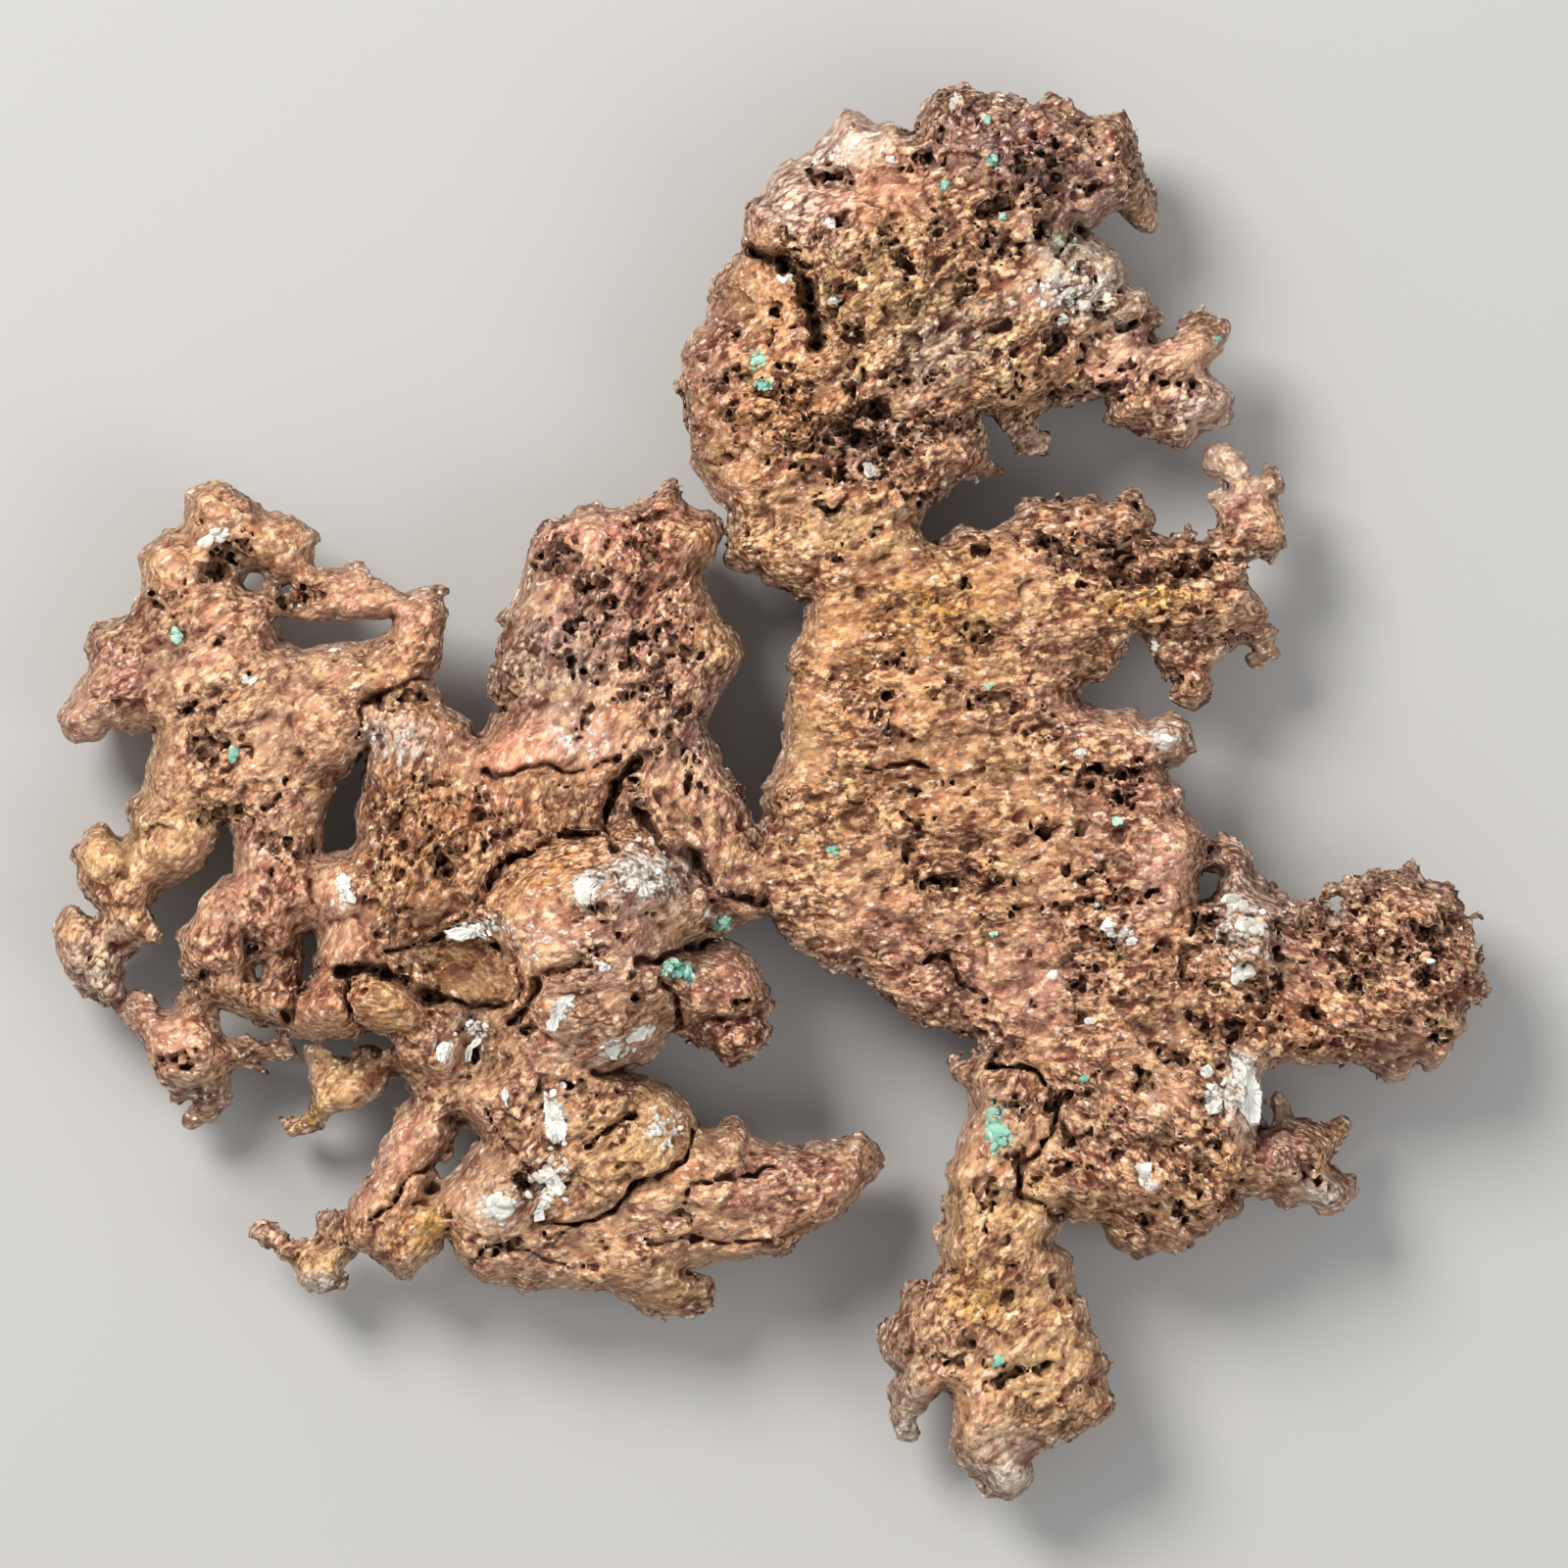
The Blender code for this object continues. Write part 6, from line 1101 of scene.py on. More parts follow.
def to_segment(x, y, a, b):
    """Distance from places to a segment, and how far along it they lie (0 to 1)."""
    dx = float(b[0] - a[0])
    dy = float(b[1] - a[1])
    share = ((x - a[0]) * dx + (y - a[1]) * dy) / max(dx * dx + dy * dy, 1e-9)
    share = np.clip(share, 0.0, 1.0)
    return np.hypot(x - a[0] - share * dx, y - a[1] - share * dy), share


def blurred(field, radius):
    """A field smoothed over a radius in mm, by three box blurs."""
    size = max(int(round(radius / CELL)), 1)
    for _ in range(3):
        for axis in (0, 1):
            pad = [(size, size) if k == axis else (0, 0) for k in range(field.ndim)]
            total = np.cumsum(np.pad(field, pad, mode="edge"), axis=axis, dtype=np.float64)
            total = np.concatenate((np.zeros_like(total.take([0], axis)), total), axis)
            span = 2 * size + 1
            count = total.shape[axis] - span
            high = total.take(range(span, span + count), axis)
            low = total.take(range(0, count), axis)
            field = ((high - low) / span).astype(np.float32)
    return field


# Relief of the top and the underside -----------------------------------------------------------------

def lumps_and_shelves(plan):
    """Adds the lumps, shelves and swells that stand on the plain form, in mm."""
    up = np.zeros(plan.shape, np.float32)
    for x, y, half_length, half_width, turn, height in LUMPS:
        part, q = plan.oval(x, y, half_length, half_width, turn)
        up[part] += height * np.sqrt(np.clip(1.0 - q, 0.0, 1.0))
    for start, end, drop, reach in SHELVES:
        part = plan.window((start[0], end[0]), (start[1], end[1]), 4.0 * reach)
        x = plan.x[part] + plan.warp_x[part]
        y = plan.y[part] + plan.warp_y[part]
        dx = end[0] - start[0]
        dy = end[1] - start[1]
        length = math.hypot(dx, dy)
        share = ((x - start[0]) * dx + (y - start[1]) * dy) / length ** 2
        side = ((x - start[0]) * dy - (y - start[1]) * dx) / length
        fade = np.clip(np.minimum(share, 1.0 - share) * SHELF_FADE + SHELF_END, 0.0, 1.0)
        below = np.clip(side / SHELF_LIP, 0.0, 1.0) * np.exp(-np.clip(side, 0.0, None) / reach)
        up[part] -= drop * fade * below
    wave = np.sin(plan.x / LONG_WAVES[0] + 1.3) * np.sin(plan.y / LONG_WAVES[1] + 0.4)
    ripple = np.sin(plan.x / SHORT_WAVES[0] + plan.y / SHORT_WAVES[1])
    down = UNDER_SWELL * (wave + SHORT_WAVE_SHARE * ripple)
    for x, y, half_length, half_width, turn, depth in FEET:
        part, q = plan.oval(x, y, half_length, half_width, turn)
        down[part] -= depth * np.exp(-FOOT_STEEPNESS * q)
    return up, down


def runs(plan):
    """Ledges that follow the run of the metal, in mm, and the run itself, turned to steps of 30 degrees."""
    total = np.full(plan.shape, TINY, np.float32)
    cosine = np.zeros(plan.shape, np.float32)
    sine = np.zeros(plan.shape, np.float32)
    strength = np.zeros(plan.shape, np.float32)
    for x, y, reach, turn, amount in RUNS:
        weight = np.exp(-((plan.x - x) ** 2 + (plan.y - y) ** 2) / reach ** 2)
        total += weight
        cosine += weight * math.cos(2.0 * math.radians(turn))
        sine += weight * math.sin(2.0 * math.radians(turn))
        strength += weight * amount
    angle = 0.5 * np.arctan2(sine, cosine)
    ledges = np.zeros(plan.shape, np.float32)
    for size, length, share in LEDGES:
        streak = np.zeros(plan.shape, np.float32)
        for along in np.linspace(-0.5, 0.5, LEDGE_SAMPLES):
            x = plan.mm_x + along * length * np.cos(angle)
            y = plan.mm_y + along * length * np.sin(angle)
            streak += noise(x, y, np.full_like(x, 3.0 * size), size, LEDGE_LAYER)
        streak *= LEDGE_SPREAD / max(float(np.std(streak)), TINY)
        ledges += share * (streak - np.sin(2.0 * math.pi * streak) / (2.0 * math.pi)) / LEDGE_SPREAD
    stepped = np.round(angle / RUN_STEP) * RUN_STEP
    plan.run_x = np.cos(stepped)
    plan.run_y = np.sin(stepped)
    return ledges * strength / total


def painted(plan, base, ovals):
    """A field that starts as base and takes each oval's value in turn, with ragged borders."""
    field = np.broadcast_to(np.asarray(base, np.float32), plan.shape + np.shape(base)).copy()
    for x, y, half_length, half_width, turn, strength, value in ovals:
        part, q = plan.oval(x, y, half_length, half_width, turn)
        weight = strength * np.exp(-np.clip(q * plan.ragged[part], 0.0, 40.0) ** 1.5)
        if field.ndim == 3:
            weight = weight[..., None]
        field[part] = field[part] * (1.0 - weight) + np.asarray(value, np.float32) * weight
    return field


# The volume ------------------------------------------------------------------------------------------

class Volume:
    """Signed distance to the metal's surface on a grid, in mm, below zero in the metal."""

    def __init__(self, plan, up, down):
        self.plan = plan
        self.zs = np.arange(Z_LOW, Z_HIGH, CELL, dtype=np.float32)
        self.values = np.full(plan.shape + (len(self.zs),), FAR, np.float32)
        i, j = np.nonzero(plan.depth > -COLUMN_REACH)
        rim = plan.rim[i, j][:, None]
        middle = plan.middle[i, j][:, None]
        high = np.maximum(plan.half + up, TIP_HALF)[i, j][:, None]
        low = np.maximum(plan.half - down, TIP_HALF)[i, j][:, None]
        out = np.clip(1.0 - plan.depth[i, j][:, None] / rim, 0.0, None) ** RIM_POWER
        z = self.zs[None, :]
        half = np.where(z > middle, high, low)
        off = (np.abs(z - middle) / half) ** RIM_POWER
        total = out + off
        scale = (out * rim + (off + TINY) * half) / (total + TINY)
        self.values[i, j] = (total ** (1.0 / RIM_POWER) - 1.0) * scale

    def places(self, band):
        """Millimetre coordinates of the grid points picked by band."""
        x = self.plan.mm_x[:, 0][band[0]]
        y = self.plan.mm_y[0][band[1]]
        return x, y, self.zs[band[2]]

    def band(self, reach):
        """The grid points within a reach of the surface."""
        return np.nonzero(np.abs(self.values) < reach)

    def block(self, x, y, z, reach):
        """Slices of the grid round a place, and coordinates in mm from that place."""
        i, j = self.plan.window(x, y, reach / STEP_MM)
        k = slice(*np.clip(np.searchsorted(self.zs, (z - reach, z + reach)), 0, len(self.zs)))
        mm_x, mm_y = in_mm(x, y)
        dx = (self.plan.mm_x[i, 0] - mm_x)[:, None, None]
        dy = (self.plan.mm_y[0, j] - mm_y)[None, :, None]
        dz = (self.zs[k] - z)[None, None, :]
        return (i, j, k), dx, dy, dz

    def ellipsoid(self, x, y, z, radii, turn, tilt, power=2.0, ragged=0.0, knob=1.3):
        """Signed distance to a turned and tilted ellipsoid, and the block it is given for."""
        part, dx, dy, dz = self.block(x, y, z, 1.35 * max(radii) + 1.0)
        angle = math.radians(turn)
        slope = math.radians(tilt)
        along = dx * math.cos(angle) + dy * math.sin(angle)
        across = dy * math.cos(angle) - dx * math.sin(angle)
        lying = along * math.cos(slope) + dz * math.sin(slope)
        rising = dz * math.cos(slope) - along * math.sin(slope)
        q = (np.abs(lying) / radii[0]) ** power + (np.abs(across) / radii[1]) ** power
        q = (q + (np.abs(rising) / radii[2]) ** power) ** (1.0 / power)
        distance = (q - 1.0) * min(radii)
        if ragged and distance.size:
            gx = dx + x * STEP_MM + 0.0 * (dy + dz)
            gy = dy + y * STEP_MM + 0.0 * (dx + dz)
            gz = dz + z + 0.0 * (dx + dy)
            distance = distance + ragged * facets(gx, gy, gz, knob, RAGGED_LAYER)
            distance = distance + 0.3 * ragged * noise(gx, gy, gz, knob, RAGGED_LAYER)
        return part, distance

    def carve(self, part, distance):
        """Takes a shape out of the metal."""
        self.values[part] = np.maximum(self.values[part], -distance)

    def add(self, part, distance):
        """Joins a shape to the metal."""
        self.values[part] = np.minimum(self.values[part], distance)

    def top(self):
        """Height of the topmost surface over each plan place, in mm, and 0 where there is none."""
        solid = self.values < 0.0
        any_solid = solid.any(axis=2)
        last = solid.shape[2] - 1 - np.argmax(solid[:, :, ::-1], axis=2)
        last = np.minimum(last, solid.shape[2] - 2)
        i, j = np.indices(last.shape)
        inner = self.values[i, j, last]
        outer = self.values[i, j, last + 1]
        share = np.clip(inner / np.minimum(inner - outer, -TINY), 0.0, 1.0)
        return np.where(any_solid, self.zs[last] + share * CELL, 0.0).astype(np.float32)

    def bottom(self):
        """Height of the lowest surface over each plan place, in mm."""
        return self.zs[np.argmax(self.values < 0.0, axis=2)]


def roughen(volume, plan):
    """Knobs and hollows all over the surface."""
    band = volume.band(KNOB_BAND)
    x, y, z = volume.places(band)
    rough = plan.rough[band[0], band[1]]
    bend = 0.8 * noise(x, y, z, *PLANE_BEND)
    knobs = KNOB_RISE * (np.abs(noise(x, y, z, *KNOBS)) - 0.3)
    knobs += LUMP_RISE * (np.abs(noise(x, y, z, *LUMPINESS)) - np.abs(noise(x, y, z, *DENTS)))
    knobs += PLANE_RISE * facets(x + bend, y - bend, z, *PLANES)
    seams = np.clip(1.0 - np.abs(noise(x + bend, y, z, *SEAMS)) / SEAM_SHARE, 0.0, 1.0)
    seams *= np.clip(0.4 + 1.6 * noise(x, y, z, *SEAM_PATCHES), 0.0, 1.0)
    seamed = np.clip(2.0 * rough - 1.2, 0.0, 1.4)
    volume.values[band] += seamed * SEAM_DEPTH * seams - np.sqrt(rough) * knobs


def flakes(volume, plan):
    """Small flakes with sharp edges that lie along the run of the metal, and grains on them."""
    band = volume.band(FLAKE_BAND)
    x, y, z = volume.places(band)
    rough = plan.rough[band[0], band[1]]
    run_x = plan.run_x[band[0], band[1]]
    run_y = plan.run_y[band[0], band[1]]
    along = (x * run_x + y * run_y) / FLAKE_STRETCH
    across = y * run_x - x * run_y
    bend = 0.35 * noise(x, y, z, *FLAKE_BEND)
    relief = LARGE_FLAKE_RISE * facets(along + bend, across - bend, z, *LARGE_FLAKES)
    relief += SMALL_FLAKE_RISE * facets(along, across + bend, z, *SMALL_FLAKES)
    relief += GRAIN_NOISE_RISE * (np.abs(noise(along, across, z, *GRAIN_NOISE)) - 0.27)
    volume.values[band] -= rough * relief


def pits(volume, plan):
    """The pits and pockets, each an uneven hollow at its own place."""
    height = volume.top()
    for number, (x, y, half_length, half_width, turn, depth) in enumerate(PITS):
        z = float(plan.at(height, x, y))
        radii = (half_length * STEP_MM * PIT_SPREAD, half_width * STEP_MM * PIT_SPREAD, depth)
        tilt = PIT_TILT * math.sin(number * 2.4)
        part, distance = volume.ellipsoid(x, y, z, radii, turn, tilt, PIT_POWER, PIT_RAGGED, PIT_KNOB)
        volume.carve(part, distance)


def scattered(chance, x, y, half_length, half_width, turn):
    """A random place in an oval, thickest at its middle."""
    along, across = chance.normal(size=2) * 0.5 * (half_length, half_width)
    angle = math.radians(turn)
    return (x + along * math.cos(angle) + across * math.sin(angle),
            y - along * math.sin(angle) + across * math.cos(angle))


def pores(volume, plan):
    """Scattered small pores, thick where the metal is spongy. Most are small and a few are large."""
    chance = np.random.default_rng(SEED + 1)
    height = volume.top()
    for x, y, half_length, half_width, turn, count, small, large in POROUS:
        for _ in range(int(count * PORE_SHARE)):
            px, py = scattered(chance, x, y, half_length, half_width, turn)
            radius = small + (large - small) * chance.uniform() ** PORE_SKEW
            stretch = chance.uniform(*PORE_STRETCH)
            run = math.atan2(plan.at(plan.run_y, px, py), plan.at(plan.run_x, px, py))
            direction = math.degrees(run) + chance.normal() * PORE_TURN
            deep = radius * chance.uniform(*PORE_DEEP)
            lean = chance.normal() * PORE_LEAN
            z = float(plan.at(height, px, py))
            if z <= 0.0 or plan.at(plan.depth, px, py) < PORE_RIM:
                continue
            radii = (radius * stretch, radius, deep)
            part, distance = volume.ellipsoid(
                px, py, z - 0.1 * radius, radii, direction, lean, 2.0, PORE_RAGGED * radius, 0.8)
            volume.carve(part, distance)


def hidden_pores(volume, plan):
    """A few pores in the side the nugget lies on."""
    chance = np.random.default_rng(SEED + 4)
    height = volume.bottom()
    for _ in range(HIDDEN_PORES):
        px = chance.uniform(PLAN_LOW_X, PLAN_HIGH_X)
        py = chance.uniform(PLAN_LOW_Y, PLAN_HIGH_Y)
        radius = HIDDEN_RADIUS[0] + HIDDEN_RADIUS[1] * chance.uniform() ** PORE_SKEW
        long = radius * chance.uniform(*HIDDEN_STRETCH)
        deep = radius * chance.uniform(*HIDDEN_DEEP)
        direction = chance.uniform(0.0, 180.0)
        if plan.at(plan.depth, px, py) < HIDDEN_RIM:
            continue
        z = float(plan.at(height, px, py))
        part, distance = volume.ellipsoid(
            px, py, z, (long, radius, deep), direction, 0.0, 2.0, HIDDEN_RAGGED * radius)
        volume.carve(part, distance)


def cracks(volume, plan):
    """Open cracks and the creases where one lump lies against another."""
    height = volume.top()
    for width, depth, route in CRACKS:
        for a, b in zip(route[:-1], route[1:]):
            reach = (width + 1.2) / STEP_MM
            i, j = plan.window((a[0], b[0]), (a[1], b[1]), reach)
            if i.start >= i.stop or j.start >= j.stop:
                continue
            x = plan.x[i, j] + plan.warp_x[i, j]
            y = plan.y[i, j] + plan.warp_y[i, j]
            away = to_segment(x, y, a, b)[0] * STEP_MM
            sunk = (height[i, j][:, :, None] - volume.zs[None, None, :]) / depth
            open_half = width * 0.5 * np.sqrt(np.clip(1.0 - sunk, 0.0, 1.0)) * plan.gape[i, j][:, :, None]
            wall = away[:, :, None] - open_half
            floor = (sunk - 1.0) * depth
            part = (i, j, slice(None))
            volume.carve(part, np.maximum(wall, floor))


def crumbs(volume, plan):
    """Small knobs grown on the rims and rough places."""
    chance = np.random.default_rng(SEED + 2)
    height = volume.top()
    for x, y, half_length, half_width, turn, count, small, large in KNOBBY:
        for _ in range(count):
            px, py = scattered(chance, x, y, half_length, half_width, turn)
            radius = chance.uniform(small, large)
            direction = chance.uniform(0.0, 180.0)
            z = float(plan.at(height, px, py))
            if z <= 0.0 or plan.at(plan.depth, px, py) < radius * 0.6:
                continue
            sizes = (radius * 1.3, radius, radius * 0.9)
            sunk = z - 0.2 * radius
            part, distance = volume.ellipsoid(px, py, sunk, sizes, direction, 0.0, KNOB_SQUARENESS)
            volume.add(part, distance)


# From volume to mesh ---------------------------------------------------------------------------------

def surface_net(volume):
    """The surface as points in mm and four-sided faces that face outwards."""
    values = volume.values
    solid = values < 0.0
    shape = np.array(values.shape)
    mixed = np.zeros(shape - 1, np.uint8)
    corners = [(i, j, k) for i in (0, 1) for j in (0, 1) for k in (0, 1)]
    for i, j, k in corners:
        mixed += solid[i:shape[0] - 1 + i, j:shape[1] - 1 + j, k:shape[2] - 1 + k]
    cells = np.argwhere((mixed > 0) & (mixed < 8))
    number = np.full(shape - 1, -1, np.int32)
    number[tuple(cells.T)] = np.arange(len(cells))
    at = {c: values[cells[:, 0] + c[0], cells[:, 1] + c[1], cells[:, 2] + c[2]] for c in corners}
    total = np.zeros((len(cells), 3), np.float32)
    count = np.zeros(len(cells), np.float32)
    for a in corners:
        for axis in range(3):
            if a[axis]:
                continue
            b = tuple(1 if k == axis else a[k] for k in range(3))
            crossing = (at[a] < 0.0) != (at[b] < 0.0)
            share = at[a] / np.where(crossing, at[a] - at[b], 1.0)
            spot = np.tile(np.array(a, np.float32), (len(cells), 1))
            spot[:, axis] = share
            total += np.where(crossing[:, None], spot, 0.0)
            count += crossing
    points = (cells + total / count[:, None]) * CELL
    points[:, 0] += volume.plan.mm_x[0, 0]
    points[:, 1] = volume.plan.mm_y[0, 0] - points[:, 1]
    points[:, 2] += volume.zs[0]
    faces = []
    for axis in range(3):
        one, two = [k for k in range(3) if k != axis]
        low = [slice(1, None)] * 3
        high = [slice(1, None)] * 3
        low[axis] = slice(0, -1)
        here = solid[tuple(low)]
        there = solid[tuple(high)]
        for inside_low in (True, False):
            edge = np.argwhere(here & ~there) if inside_low else np.argwhere(~here & there)
            edge[:, one] += 1
            edge[:, two] += 1
            keep = (edge[:, one] < shape[one] - 1) & (edge[:, two] < shape[two] - 1)
            edge = edge[keep]
            ring = []
            for back_one, back_two in ((1, 1), (0, 1), (0, 0), (1, 0)):
                cell = edge.copy()
                cell[:, one] -= back_one
                cell[:, two] -= back_two
                ring.append(number[tuple(cell.T)])
            quad = np.column_stack(ring)
            turned = inside_low == (axis == 1)
            faces.append(quad[:, ::-1] if not turned else quad)
    return points, np.vstack(faces)


def largest_body(points, faces):
    """Only the biggest connected body, so that no loose crumb or bubble is left."""
    label = np.arange(len(points))
    a = faces[:, [0, 1, 2]].ravel()
    b = faces[:, [1, 2, 3]].ravel()
    while True:
        least = np.minimum(label[a], label[b])
        new = label.copy()
        np.minimum.at(new, label[a], least)
        np.minimum.at(new, label[b], least)
        new = new[new]
        new = new[new]
        if np.array_equal(new, label):
            break
        label = new
    main_label = np.bincount(label).argmax()
    kept = label == main_label
    order = np.cumsum(kept) - 1
    faces = faces[kept[faces[:, 0]]]
    return points[kept], order[faces]


def smoothed(points, faces, rounds):
    """Each point moved to the middle of its neighbours, round by round, on a closed surface."""
    here = faces.ravel()
    beside = np.roll(faces, -1, axis=1).ravel()
    count = np.bincount(here, minlength=len(points))
    for _ in range(rounds):
        sums = [np.bincount(here, points[beside, axis], len(count)) for axis in range(3)]
        points = np.column_stack(sums) / count[:, None]
    return points


def point_normals(points, faces):
    """Outward normals of the points."""
    one = points[faces[:, 2]] - points[faces[:, 0]]
    two = points[faces[:, 3]] - points[faces[:, 1]]
    across = np.cross(one, two)
    normals = np.zeros_like(points)
    for axis in range(3):
        for corner in range(4):
            normals[:, axis] += np.bincount(faces[:, corner], across[:, axis], len(points))
    return normals / np.maximum(np.linalg.norm(normals, axis=1), 1e-12)[:, None]


# Pieces ----------------------------------------------------------------------------------------------

def lobe_map(plan):
    """Which lobe of the metal each plan place belongs to."""
    corners, faces, owner = [], [], []
    for number, name in enumerate(LOBES):
        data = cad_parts[name].data
        start = len(corners)
        corners.extend(v.co for v in data.vertices)
        for face in data.polygons:
            faces.append([start + k for k in face.vertices])
            owner.append(number)
    tree = BVHTree.FromPolygons(corners, faces)
    step = max(int(round(LOBE_STEP / CELL)), 1)
    xs = plan.mm_x[::step, 0] * 0.001
    ys = plan.mm_y[0, ::step] * 0.001
    label = np.full((len(xs), len(ys)), -1, np.int32)
    down = Vector((0.0, 0.0, -1.0))
    for i, x in enumerate(xs):
        for j, y in enumerate(ys):
            hit = tree.ray_cast(Vector((x, y, 0.1)), down)[2]
            if hit is not None:
                label[i, j] = owner[hit]
    while (label < 0).any():
        for shift, axis in ((1, 0), (-1, 0), (1, 1), (-1, 1)):
            moved = np.roll(label, shift, axis)
            label = np.where(label < 0, moved, label)
    fine = np.repeat(np.repeat(label, step, 0), step, 1)
    return fine[:plan.shape[0], :plan.shape[1]]


def make_mesh(name, points, faces, normals=None, fields=None, smooth=True):
    """An object from arrays, its points in mm."""
    mesh = bpy.data.meshes.new(name)
    mesh.vertices.add(len(points))
    mesh.vertices.foreach_set("co", (points * 0.001).astype(np.float32).ravel())
    sides = faces.shape[1]
    mesh.loops.add(faces.size)
    mesh.loops.foreach_set("vertex_index", faces.astype(np.int32).ravel())
    mesh.polygons.add(len(faces))
    mesh.polygons.foreach_set("loop_start", np.arange(0, faces.size, sides, dtype=np.int32))
    mesh.polygons.foreach_set("loop_total", np.full(len(faces), sides, np.int32))
    mesh.update(calc_edges=True)
    mesh.polygons.foreach_set("use_smooth", np.full(len(faces), smooth))
    if normals is not None:
        mesh.normals_split_custom_set_from_vertices(normals)
    for field, values in (fields or {}).items():
        colour = np.ones((len(points), 4), np.float32)
        colour[:, :3] = values
        attribute = mesh.attributes.new(field, "FLOAT_COLOR", "POINT")
        attribute.data.foreach_set("color", colour.ravel())
    piece = bpy.data.objects.new(name, mesh)
    bpy.context.scene.collection.objects.link(piece)
    return piece


def linear(colour):
    """A colour as seen, 0 to 255, as light."""
    share = np.asarray(colour, np.float32) / 255.0
    return np.where(share > 0.04045, ((share + 0.055) / 1.055) ** 2.4, share / 12.92)


def thinned(points, faces, normals, fields):
    """The skin with fewer triangles, most of them kept where it is rough, and the fields at its points."""
    held = dict(fields, normal=normals)
    whole = make_mesh("whole_skin", points, faces, fields=held)
    modifier = whole.modifiers.new("thin", "DECIMATE")
    modifier.ratio = SKIN_SHARE
    modifier.use_collapse_triangulate = True
    result = whole.evaluated_get(bpy.context.evaluated_depsgraph_get()).to_mesh()
    places = np.empty(len(result.vertices) * 3, np.float32)
    result.vertices.foreach_get("co", places)
    result.calc_loop_triangles()
    corners = np.empty(len(result.loop_triangles) * 3, np.int32)
    result.loop_triangles.foreach_get("vertices", corners)
    values = {}
    for field in held:
        colour = np.empty(len(result.vertices) * 4, np.float32)
        result.attributes[field].data.foreach_get("color", colour)
        values[field] = colour.reshape(-1, 4)[:, :3]
    skin = whole.data
    bpy.data.objects.remove(whole)
    bpy.data.meshes.remove(skin)
    normals = values.pop("normal")
    normals /= np.maximum(np.linalg.norm(normals, axis=1), 1e-12)[:, None]
    places = places.reshape(-1, 3) * 1000.0
    corners = corners.reshape(-1, 3)
    one = places[corners[:, 1]] - places[corners[:, 0]]
    two = places[corners[:, 2]] - places[corners[:, 0]]
    area = np.linalg.norm(np.cross(one, two), axis=1)
    return places, corners[area > LEAST_AREA], normals, values


def metal_pieces(volume, plan):
    """The eighteen lobes of the metal, cut from one skin."""
    points, faces = largest_body(*surface_net(volume))
    points[:, 2] = np.maximum(points[:, 2], 0.0)
    normals = point_normals(points, faces)
    near = smoothed(points, faces, FINE_ROUNDS)
    far = smoothed(near, faces, COARSE_ROUNDS - FINE_ROUNDS)
    px = PLAN_X + points[:, 0] / STEP_MM
    py = PLAN_Y - points[:, 1] / STEP_MM
    # How far each point lies sunk, at three scales; the copper paints shade from these in hollows, creases
    # and sunk places, and light on ridges and raised places
    painted_light_and_shade = np.column_stack((
        np.clip(0.5 + np.sum((far - points) * normals, axis=1) / HOLLOW_RANGE, 0.0, 1.0),
        np.clip(0.5 + np.sum((near - points) * normals, axis=1) / FINE_RANGE, 0.0, 1.0),
        np.clip(0.5 + plan.at(plan.sunk, px, py) * np.clip(normals[:, 2], 0.0, 1.0) / BROAD_RANGE, 0.0, 1.0)))
    place = np.column_stack((
        np.clip(plan.at(plan.depth, px, py) / DEPTH_RANGE, 0.0, 1.0),
        np.clip(plan.at(plan.rough, px, py) / ROUGH_RANGE, 0.0, 1.0),
        np.zeros(len(points))))
    # The white and green crusts, faded on walls well below the crests, and the painted shade patches
    below = plan.at(plan.crest, px, py) - points[:, 2]
    lying = np.clip(1.0 - (below - CRUST_LOW) / CRUST_FADE, 0.0, 1.0)
    crust = plan.at(plan.crust, px, py) * np.column_stack((lying, lying, np.ones(len(points))))
    fields = {"tint": plan.at(plan.tint, px, py), "painted_light_and_shade": painted_light_and_shade, "place": place, "crust": crust}
    points, faces, normals, fields = thinned(points, faces, normals, fields)
    middle = points[faces].mean(axis=1)
    i = np.clip(np.searchsorted(plan.xs, PLAN_X + middle[:, 0] / STEP_MM), 0, plan.shape[0] - 1)
    j = np.clip(np.searchsorted(plan.ys, PLAN_Y - middle[:, 1] / STEP_MM), 0, plan.shape[1] - 1)
    owner = lobe_map(plan)[i, j]
    for number, (name, (slot, turn)) in enumerate(LOBES.items()):
        mine = faces[owner == number]
        used, index = np.unique(mine, return_inverse=True)
        own_fields = {key: values[used] for key, values in fields.items()}
        piece = make_mesh(name + "_skin", points[used], index.reshape(mine.shape), normals[used], own_fields)
        piece.data.materials.append(copper_material(name + "_copper", turn))
        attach(piece, "root")
        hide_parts(name)


def pebble(chance):
    """The corners of one rough crystal, about 1 in radius, with flat faces."""
    planes = chance.normal(size=(PEBBLE_SIDES, 3))
    planes /= np.linalg.norm(planes, axis=1)[:, None]
    offsets = chance.uniform(*PEBBLE_SIDE, PEBBLE_SIDES)
    reach = BALL_POINTS @ planes.T
    sizes = np.where(reach > 0.05, offsets / np.maximum(reach, 0.05), 9.0).min(axis=1)
    sizes = np.minimum(sizes, PEBBLE_LARGEST)
    sizes *= 1.0 + PEBBLE_UNEVEN * chance.normal(size=len(sizes))
    return BALL_POINTS * sizes[:, None]


